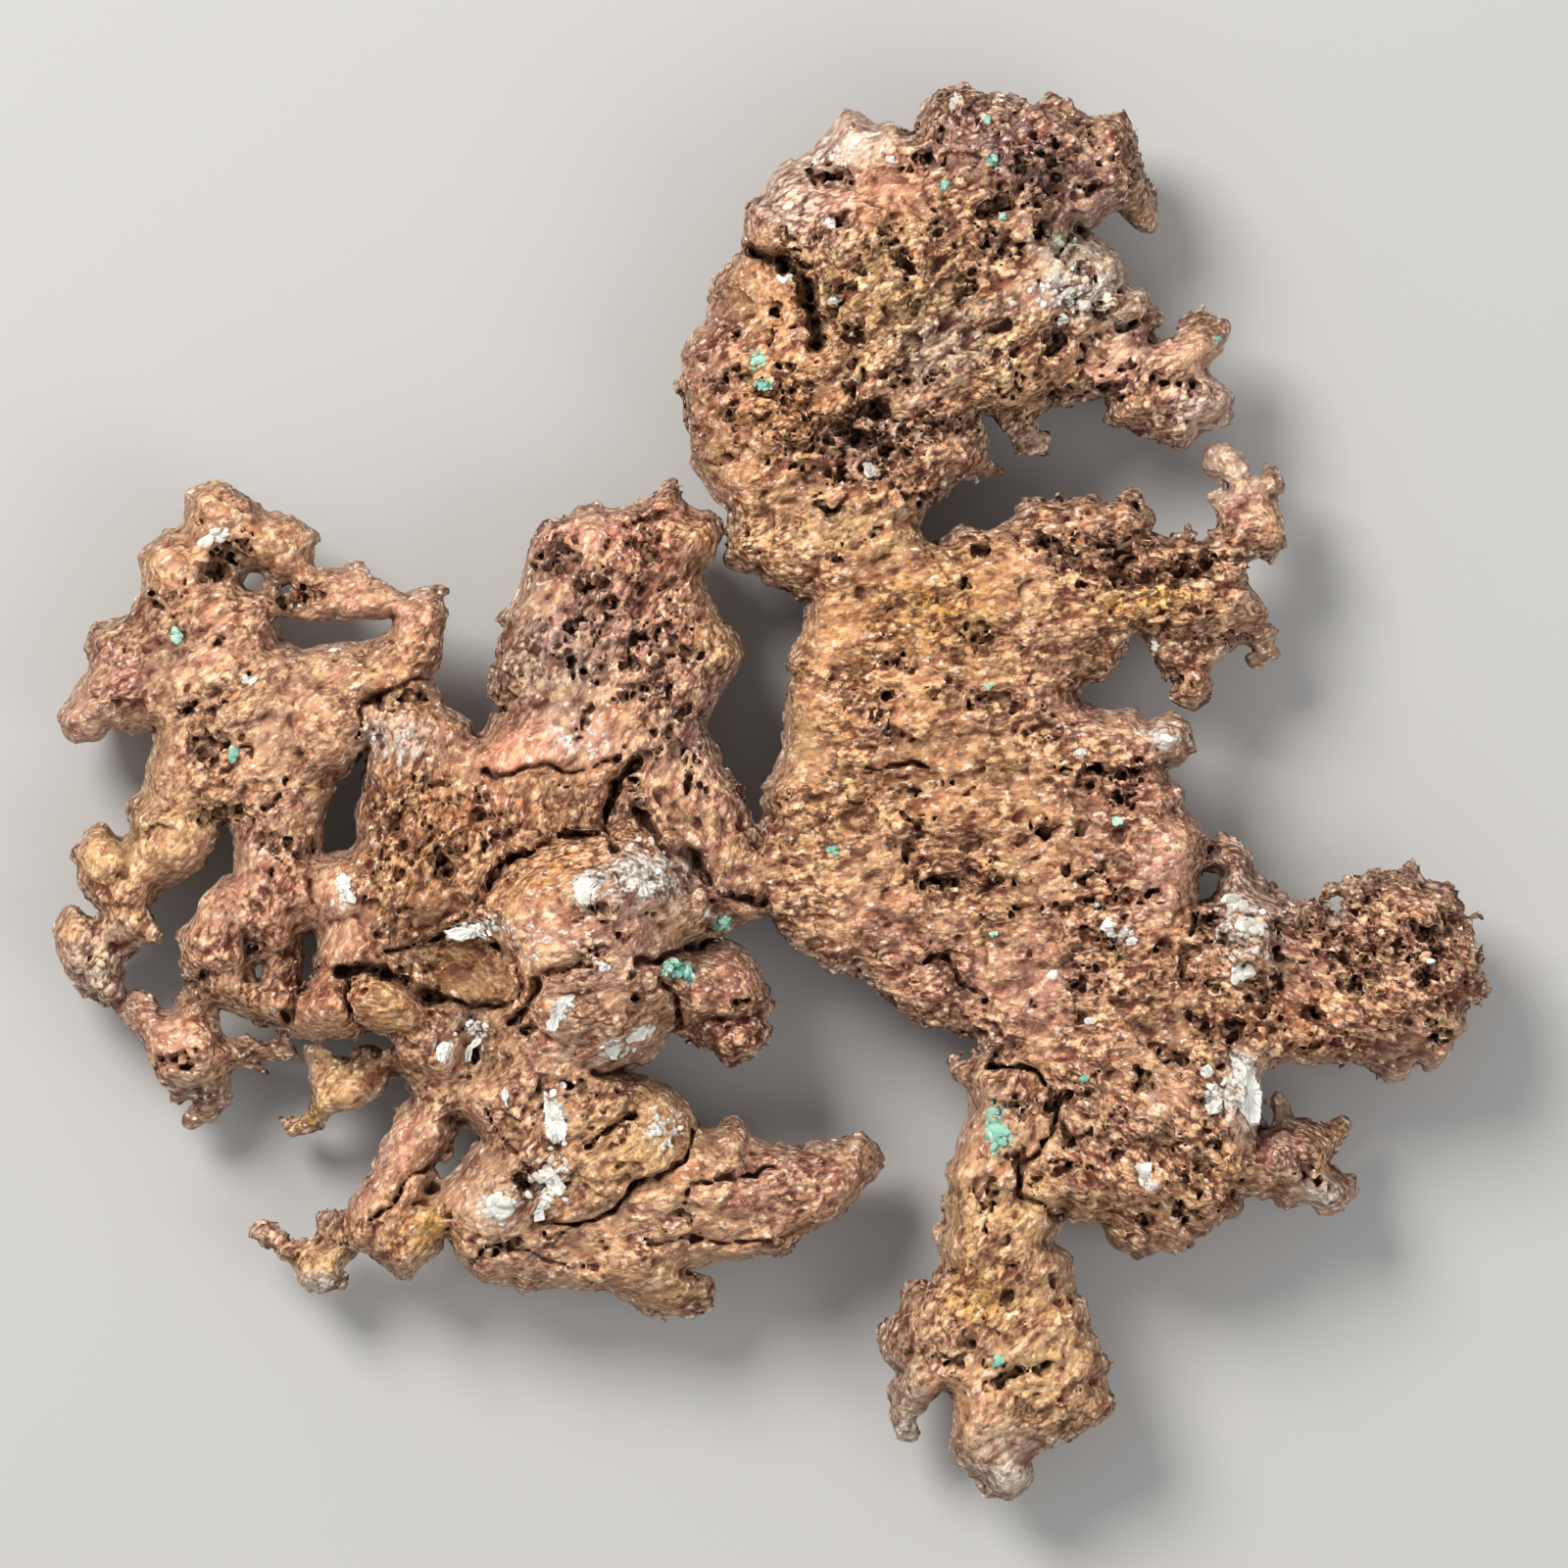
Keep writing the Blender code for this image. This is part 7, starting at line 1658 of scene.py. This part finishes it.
class Grains:
    """The grains of one mineral, gathered into one mesh and seated in the metal."""

    def __init__(self, height, plan, chance):
        self.height = height
        self.plan = plan
        self.chance = chance
        self.points = []
        self.faces = []
        self.tones = []

    def gather(self, points, faces, tone):
        """Adds a grain's points, faces and tone to the mesh."""
        self.faces.append(faces + sum(len(earlier) for earlier in self.points))
        self.points.append(points)
        self.tones.append(np.full(len(points), tone))

    def seat(self, x, y, half_length, half_width, turn, tall, raised=0.0):
        """One crystal at a plan place, its sizes in mm."""
        z = float(self.plan.at(self.height, x, y))
        if z <= 0.0:
            return
        shape = pebble(self.chance) * (half_length, half_width, tall)
        shape[:, 2] += shape[:, 0] * self.chance.normal() * 0.2
        angle = math.radians(turn)
        mm_x, mm_y = in_mm(x, y)
        placed = np.column_stack((
            shape[:, 0] * math.cos(angle) - shape[:, 1] * math.sin(angle) + mm_x,
            shape[:, 0] * math.sin(angle) + shape[:, 1] * math.cos(angle) + mm_y,
            shape[:, 2] + z + raised + GRAIN_RISE * tall))
        self.gather(placed, BALL_FACES, self.chance.uniform())

    def lump(self, x, y, half_length, half_width, turn, tall):
        """A grain grown from several crystals, its plan sizes in plan steps."""
        chance = self.chance
        self.seat(x, y, 0.8 * half_length * STEP_MM, 0.7 * half_width * STEP_MM, turn, 0.55 * tall)
        angle = math.radians(turn)
        for _ in range(3 + int(half_length * half_width / 30.0)):
            bearing = chance.uniform(0.0, 2.0 * math.pi)
            out = 0.85 * math.sqrt(chance.uniform())
            along = half_length * out * math.cos(bearing)
            across = half_width * out * math.sin(bearing)
            px = x + along * math.cos(angle) + across * math.sin(angle)
            py = y - along * math.sin(angle) + across * math.cos(angle)
            size = chance.uniform(0.25, 0.55) * half_width * STEP_MM + 0.10
            raised = 0.3 * tall * (1.0 - out * out)
            long = size * chance.uniform(1.0, 1.9)
            self.seat(px, py, long, size, turn + chance.normal() * 40.0, 0.6 * size, raised)

    def plate(self, outline):
        """A flat, ragged crystal plate with a drawn outline."""
        ring = []
        for a, b in zip(outline, np.roll(outline, -1, axis=0)):
            count = max(int(math.dist(a, b) / PLATE_STEP), 1)
            ring.extend(np.asarray(a) + (np.asarray(b) - a) * k / count for k in range(count))
        ring = np.array(ring) + PLATE_RAGGED * self.chance.uniform(-1.0, 1.0, (len(ring), 2))
        middle = ring.mean(axis=0)
        size = len(ring)
        inner = [middle + share * (ring - middle) for share in PLATE_RINGS]
        spots = np.vstack((ring, *inner, [middle]))
        usual = np.median(self.plan.at(self.height, ring[:, 0], ring[:, 1]))
        level = self.plan.at(self.height, spots[:, 0], spots[:, 1])
        level = np.clip(level, usual - PLATE_DIP, usual + PLATE_DIP)
        lift = np.repeat((-PLATE_ROOT, 0.7 * PLATE_RISE, PLATE_RISE, PLATE_RISE), (size, size, size, 1))
        uneven = np.repeat((0.0, PLATE_UNEVEN, PLATE_UNEVEN), (size, size, size + 1))
        lift = lift + uneven * self.chance.normal(size=len(spots))
        mm_x, mm_y = in_mm(spots[:, 0], spots[:, 1])
        here = np.arange(size)
        after = np.roll(here, -1)
        faces = [np.column_stack((here + 2 * size, after + 2 * size, np.full(size, 3 * size)))]
        for low in (0, size):
            faces.append(np.column_stack((here + low, after + low, after + low + size)))
            faces.append(np.column_stack((here + low, after + low + size, here + low + size)))
        placed = np.column_stack((mm_x, mm_y, level + lift))
        self.gather(placed, np.vstack(faces)[:, ::-1], 0.25 * self.chance.uniform())

    def crust(self, x, y, half_length, half_width, turn, count, least, largest):
        """Many small crystals over an oval, their sizes in mm."""
        for _ in range(count):
            px, py = scattered(self.chance, x, y, half_length, half_width, turn)
            size = self.chance.uniform(least, largest)
            wide = size * self.chance.uniform(1.0, 1.8)
            self.seat(px, py, wide, size, self.chance.uniform(0.0, 180.0), 0.5 * size)

    def piece(self, name, tones):
        """The gathered mesh."""
        share = np.concatenate(self.tones)[:, None]
        colours = {"tint": linear(tones[0]) * (1.0 - share) + linear(tones[1]) * share}
        return make_mesh(name, np.vstack(self.points), np.vstack(self.faces), None, colours, False)


def ball(rounds):
    """Points and triangles of a ball of radius 1."""
    mesh = bmesh.new()
    bmesh.ops.create_icosphere(mesh, subdivisions=rounds, radius=1.0)
    points = np.array([v.co[:] for v in mesh.verts])
    faces = np.array([[v.index for v in f.verts] for f in mesh.faces])
    mesh.free()
    return points, faces


# Materials -------------------------------------------------------------------------------------------

class Nodes:
    """Short ways to build a material."""

    def __init__(self, name):
        self.material = bpy.data.materials.new(name)
        self.material.use_nodes = True
        self.tree = self.material.node_tree
        self.shader = self.tree.nodes["Principled BSDF"]
        self.place = self.new("ShaderNodeTexCoord").outputs["Object"]

    def new(self, kind):
        """A node of a kind."""
        return self.tree.nodes.new(kind)

    def link(self, value, socket):
        """Joins an output, or sets a plain value."""
        if isinstance(value, bpy.types.NodeSocket):
            self.tree.links.new(value, socket)
        else:
            socket.default_value = value

    def attribute(self, name):
        """A colour field of the mesh."""
        node = self.new("ShaderNodeAttribute")
        node.attribute_name = name
        return node.outputs["Color"]

    def stretched(self, turn, stretch):
        """Places drawn together along a run, so that marks come out long that way."""
        node = self.new("ShaderNodeMapping")
        node.vector_type = "TEXTURE"
        node.inputs["Rotation"].default_value = (0.0, 0.0, math.radians(turn))
        node.inputs["Scale"].default_value = (stretch, 1.0, 1.0)
        self.link(self.place, node.inputs["Vector"])
        return node.outputs["Vector"]

    def noise(self, size, detail=3.0, place=None):
        """Noise about 0 to 1, with knobs of a size in mm."""
        node = self.new("ShaderNodeTexNoise")
        self.link(place or self.place, node.inputs["Vector"])
        node.inputs["Scale"].default_value = 1000.0 / size
        node.inputs["Detail"].default_value = detail
        return node.outputs["Fac"]

    def flakes(self, size, place):
        """Flakes of a size in mm: distance from a flake's middle, a chance tone, and its slope's height."""
        node = self.new("ShaderNodeTexVoronoi")
        self.link(place, node.inputs["Vector"])
        node.inputs["Scale"].default_value = 1000.0 / size
        offset = self.vector("SUBTRACT", place, node.outputs["Position"])
        lean = self.vector("SUBTRACT", node.outputs["Color"], (0.5, 0.5, 0.5))
        slope = self.vector("DOT_PRODUCT", offset, lean, "Value")
        tone = self.split(node.outputs["Color"])[0]
        return node.outputs["Distance"], tone, self.times(slope, 1000.0 / size)

    def vector(self, kind, a, b, output="Vector"):
        """Two directions joined by a plain operation."""
        node = self.new("ShaderNodeVectorMath")
        node.operation = kind
        self.link(a, node.inputs[0])
        self.link(b, node.inputs[1])
        return node.outputs[output]

    def split(self, colour):
        """The three channels of a colour."""
        node = self.new("ShaderNodeSeparateColor")
        self.link(colour, node.inputs["Color"])
        return node.outputs["Red"], node.outputs["Green"], node.outputs["Blue"]

    def ramp(self, value, low, high, low_out=0.0, high_out=1.0):
        """A value carried smoothly from one range to another."""
        node = self.new("ShaderNodeMapRange")
        node.interpolation_type = "SMOOTHSTEP"
        for socket, number in zip(node.inputs[:5], (value, low, high, low_out, high_out)):
            self.link(number, socket)
        return node.outputs["Result"]

    def math(self, kind, a, b):
        """Two values joined by a plain operation."""
        node = self.new("ShaderNodeMath")
        node.operation = kind
        self.link(a, node.inputs[0])
        self.link(b, node.inputs[1])
        return node.outputs[0]

    def times(self, *values):
        """Values multiplied together."""
        product = values[0]
        for value in values[1:]:
            product = self.math("MULTIPLY", product, value)
        return product

    def scaled(self, colour, value):
        """A colour made lighter or darker by a value."""
        node = self.new("ShaderNodeVectorMath")
        node.operation = "SCALE"
        self.link(colour, node.inputs[0])
        self.link(value, node.inputs["Scale"])
        return node.outputs["Vector"]

    def mix(self, share, a, b):
        """Two colours mixed."""
        node = self.new("ShaderNodeMix")
        node.data_type = "RGBA"
        self.link(share, node.inputs["Factor"])
        colours = [socket for socket in node.inputs if socket.type == "RGBA"]
        self.link(a, colours[0])
        self.link(b, colours[1])
        return next(socket for socket in node.outputs if socket.type == "RGBA")

    def bump(self, height, distance, strength):
        """Fine relief, of a height in mm."""
        node = self.new("ShaderNodeBump")
        node.inputs["Strength"].default_value = strength
        node.inputs["Distance"].default_value = distance * 0.001
        self.link(height, node.inputs["Height"])
        return node.outputs["Normal"]


def rgb(colour):
    """A colour as seen, as a socket's value."""
    return tuple(float(v) for v in linear(colour)) + (1.0,)


def copper_material(name, turn):
    """Dull, weathered copper: its own tints, flaky along its run, with painted shade in hollows, creases,
    pits and sunk places and painted light on ridges, rims and raised places.
    """
    made = Nodes(name)
    hollow, fine, broad = made.split(made.attribute("painted_light_and_shade"))
    white, green, dark = made.split(made.attribute("crust"))
    depth, rough, _ = made.split(made.attribute("place"))
    along = made.stretched(turn, FLAKE_RUN)
    gap, tone, slope = made.flakes(LARGE_FLAKE_MARKS, along)
    _, small_tone, small_slope = made.flakes(SMALL_FLAKE_MARKS, along)
    patches = made.noise(PATCH_MARKS, 3.0, along)
    speckle = made.noise(SPECKLE_MARKS, 3.0, along)
    clouds = made.noise(CLOUD_MARKS, 2.0)
    streaks = made.noise(STREAK_MARKS, 3.0, made.stretched(turn, STREAK_RUN))
    patterns = {"clouds": clouds, "patches": patches, "streaks": streaks, "tone": tone}
    tint = made.attribute("tint")
    for pattern, low, high, most, colour in SHADES:
        tint = made.mix(made.ramp(patterns[pattern], low, high, 0.0, most), tint, rgb(colour))
    # Lighter and darker flakes at random; the same patterns raise the fine bump, so this is also painted
    # light on its high flakes and painted shade in its dents
    swing = made.math("ADD", made.times(tone, 0.70), made.times(small_tone, 0.56))
    swing = made.math("ADD", swing, made.ramp(speckle, 0.30, 0.70, -1.15, -0.16))
    value = made.math("ADD", made.times(swing, made.ramp(rough, 0.2, 0.55, 0.42, 1.0)), 1.04)
    # Painted shade where the skin lies below the places round it, painted light where it stands above them
    value = made.times(value, made.ramp(broad, 0.30, 0.70, 1.16, 0.66))
    # Painted light: paler on the thin rims near the outline
    tint = made.mix(made.ramp(depth, 0.35, 0.04, 0.0, 0.35), tint, rgb(PAINTED_RIM_LIGHT))
    tint = made.scaled(tint, value)
    # A painted glint: pale on some small flakes on the ridges
    ridge = made.ramp(fine, 0.60, 0.34)
    painted_glint_share = made.times(made.ramp(small_tone, 0.68, 0.80), ridge, made.ramp(speckle, 0.46, 0.60))
    tint = made.mix(made.times(painted_glint_share, 0.80), tint, rgb(PAINTED_RIDGE_GLINT))
    ragged = made.ramp(speckle, 0.25, 0.75, -0.45, 0.45)
    crust = made.mix(made.ramp(small_tone, 0.1, 0.5), *map(rgb, WHITE_SHADES))
    tint = made.mix(made.ramp(made.math("ADD", white, ragged), 0.46, 0.58), tint, crust)
    stain = made.mix(made.ramp(tone, 0.2, 0.8), *map(rgb, GREEN_SHADES))
    tint = made.mix(made.ramp(made.math("ADD", green, ragged), 0.46, 0.62, 0.0, 0.85), tint, stain)
    # Painted shade in the creases of the skin and in the grooves, dents and furrows of the fine bump
    creases = made.ramp(fine, 0.56, 0.84)
    seams = made.times(made.ramp(speckle, 0.41, 0.27), made.ramp(rough, 0.06, 0.3, 0.3, 1.0))
    rims = made.times(made.ramp(gap, 0.54, 0.85), made.ramp(rough, 0.1, 0.45))
    furrows = made.times(made.ramp(streaks, 0.39, 0.31), made.ramp(rough, 0.15, 0.4))
    for lines in (seams, rims, furrows):
        creases = made.math("MAXIMUM", creases, lines)
    tint = made.mix(made.times(creases, 0.85), tint, rgb(PAINTED_CREASE_SHADE))
    # Painted shade in the hollows
    tint = made.mix(made.ramp(hollow, 0.57, 0.86, 0.0, 0.92), tint, rgb(PAINTED_HOLLOW_SHADE))
    # Painted shade over pits and cracks and beside grains
    tint = made.mix(made.times(dark, 0.8), tint, rgb(PAINTED_PIT_SHADE))
    made.link(tint, made.shader.inputs["Base Color"])
    made.shader.inputs["Metallic"].default_value = METALLIC
    made.shader.inputs["Specular IOR Level"].default_value = GLOSS
    made.link(made.ramp(small_tone, 0.0, 1.0, 0.62, 0.88), made.shader.inputs["Roughness"])
    relief = made.math("ADD", made.times(slope, 1.3), made.times(small_slope, 0.7))
    relief = made.math("ADD", relief, made.math("ADD", made.times(tone, 0.35), made.times(small_tone, 0.22)))
    relief = made.math("ADD", relief, made.math("SUBTRACT", made.times(speckle, 1.0), made.times(gap, 0.5)))
    relief = made.math("ADD", relief, made.times(streaks, 2.2))
    relief = made.times(relief, made.ramp(rough, 0.0, 0.4, 0.35, 1.0))
    made.link(made.bump(relief, 0.45, 1.0), made.shader.inputs["Normal"])
    return made.material


def grain_material(name, roughness, stain):
    """Pale or green mineral, with a little of the copper's brown in its joints."""
    made = Nodes(name)
    spots = made.ramp(made.noise(0.6), 0.54, 0.68, 0.0, 0.4)
    tint = made.mix(spots, made.attribute("tint"), rgb(stain))
    made.link(tint, made.shader.inputs["Base Color"])
    rough = made.ramp(made.noise(0.4, 2.0), 0.3, 0.7, roughness - 0.08, roughness + 0.1)
    made.link(rough, made.shader.inputs["Roughness"])
    made.link(made.bump(made.noise(0.22, 4.0), 0.16, 0.8), made.shader.inputs["Normal"])
    return made.material


# Stage -----------------------------------------------------------------------------------------------

def floor():
    """A plain pale floor, its sheet far wider than the view."""
    half = FLOOR_HALF
    corners = np.array([(-half, -half, 0.0), (half, -half, 0.0), (half, half, 0.0), (-half, half, 0.0)])
    sheet = make_mesh("floor", corners * 1000.0, np.array([[0, 1, 2, 3]]))
    made = Nodes("pale_floor")
    made.shader.inputs["Base Color"].default_value = rgb(FLOOR_COLOUR)
    made.shader.inputs["Roughness"].default_value = FLOOR_ROUGHNESS
    sheet.data.materials.append(made.material)


def light(name, place, size, power, colour):
    """A soft lamp that faces the nugget."""
    lamp = bpy.data.lights.new(name, "AREA")
    lamp.shape = "DISK"
    lamp.size = size
    lamp.energy = power
    lamp.color = colour
    holder = bpy.data.objects.new(name, lamp)
    holder.location = place
    holder.rotation_euler = (Vector(LIGHT_AIM) - Vector(place)).to_track_quat("-Z", "Y").to_euler()
    bpy.context.scene.collection.objects.link(holder)


def studio():
    """Soft light all round, a brighter lamp at the upper left, and a camera straight above."""
    scene = bpy.context.scene
    world = bpy.data.worlds.new("studio")
    world.use_nodes = True
    sky = world.node_tree.nodes["Background"]
    sky.inputs["Color"].default_value = (1.0, 1.0, 1.0, 1.0)
    sky.inputs["Strength"].default_value = WORLD_LIGHT
    scene.world = world
    light("key", KEY_PLACE, KEY_SIZE, KEY_POWER, KEY_COLOUR)
    light("fill", FILL_PLACE, FILL_SIZE, FILL_POWER, FILL_COLOUR)
    lens = bpy.data.cameras.new("camera")
    lens.sensor_width = SENSOR_WIDTH
    lens.lens = SENSOR_WIDTH * (CAMERA_HEIGHT - VIEW_LEVEL) / VIEW_WIDTH
    lens.clip_end = VIEW_REACH
    camera = bpy.data.objects.new("camera", lens)
    camera.location = (CAMERA_X, CAMERA_Y, CAMERA_HEIGHT)
    scene.collection.objects.link(camera)
    scene.camera = camera
    scene.view_settings.view_transform = "Standard"


# The nugget ------------------------------------------------------------------------------------------

def shaped_volume(plan):
    """The nugget as a volume, with everything that stands on it or is sunk in it."""
    up, down = lumps_and_shelves(plan)
    up += runs(plan)
    volume = Volume(plan, up * plan.rise, down * plan.rise)
    roughen(volume, plan)
    crumbs(volume, plan)
    pits(volume, plan)
    cracks(volume, plan)
    pores(volume, plan)
    hidden_pores(volume, plan)
    flakes(volume, plan)
    volume.values = np.maximum(volume.values, -volume.zs[None, None, :])
    return volume


def crest(height):
    """Height of the highest place near each plan place, in mm."""
    highest = height
    for _ in range(max(int(round(CREST_REACH / CELL)), 1)):
        for axis in (0, 1):
            beside = np.maximum(np.roll(highest, 1, axis), np.roll(highest, -1, axis))
            highest = np.maximum(highest, beside)
    return highest


def colour_fields(plan):
    """The tint of the metal, its white and green crusts, and the painted shade over pits and cracks, over the
    plan.
    """
    ovals = [oval + (linear(tone),) for tone, group in TINTS for oval in group]
    plan.tint = painted(plan, linear(BASE_TINT), ovals)
    crusts = [painted(plan, 0.0, patches) for patches in (WHITE_PATCHES, GREEN_PATCHES, PAINTED_SHADE_PATCHES)]
    plan.crust = np.stack(crusts, axis=-1)


def height_fields(plan, height):
    """How far each place is sunk below those round it, which sets the painted shade and light on the copper,
    and the height of the crests beside it, in mm.
    """
    covered = np.maximum(blurred(plan.solid.astype(np.float32), BROAD_BLUR), 0.05)
    plan.sunk = blurred(height * plan.solid, BROAD_BLUR) / covered - height
    plan.crest = crest(height)


def grain_pieces(height, plan):
    """The white and the green grains, each in place of the CAD grains of their kind."""
    chance = np.random.default_rng(SEED + 3)
    for name, (slot, nodes, plates, lumps, crusts, roughness, stain) in MINERALS.items():
        grains = Grains(height, plan, chance)
        for outline in plates:
            grains.plate(outline)
        for row in lumps:
            grains.lump(*row)
        for row in crusts:
            grains.crust(*row)
        material = grain_material(name + "_mineral", roughness, stain)
        piece = grains.piece(name, GRAIN_TONES[slot])
        piece.data.materials.append(material)
        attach(piece, "root")
        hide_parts(*nodes)


def main():
    """Builds the nugget's skin and grains in place of the CAD solids."""
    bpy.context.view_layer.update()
    plan = Plan()
    plan.rough = painted(plan, BASE_ROUGH, ROUGH) * plan.patchy
    colour_fields(plan)
    volume = shaped_volume(plan)
    height = volume.top()
    height_fields(plan, height)
    metal_pieces(volume, plan)
    grain_pieces(height, plan)
    floor()
    studio()


BALL_POINTS, BALL_FACES = ball(2)
main()
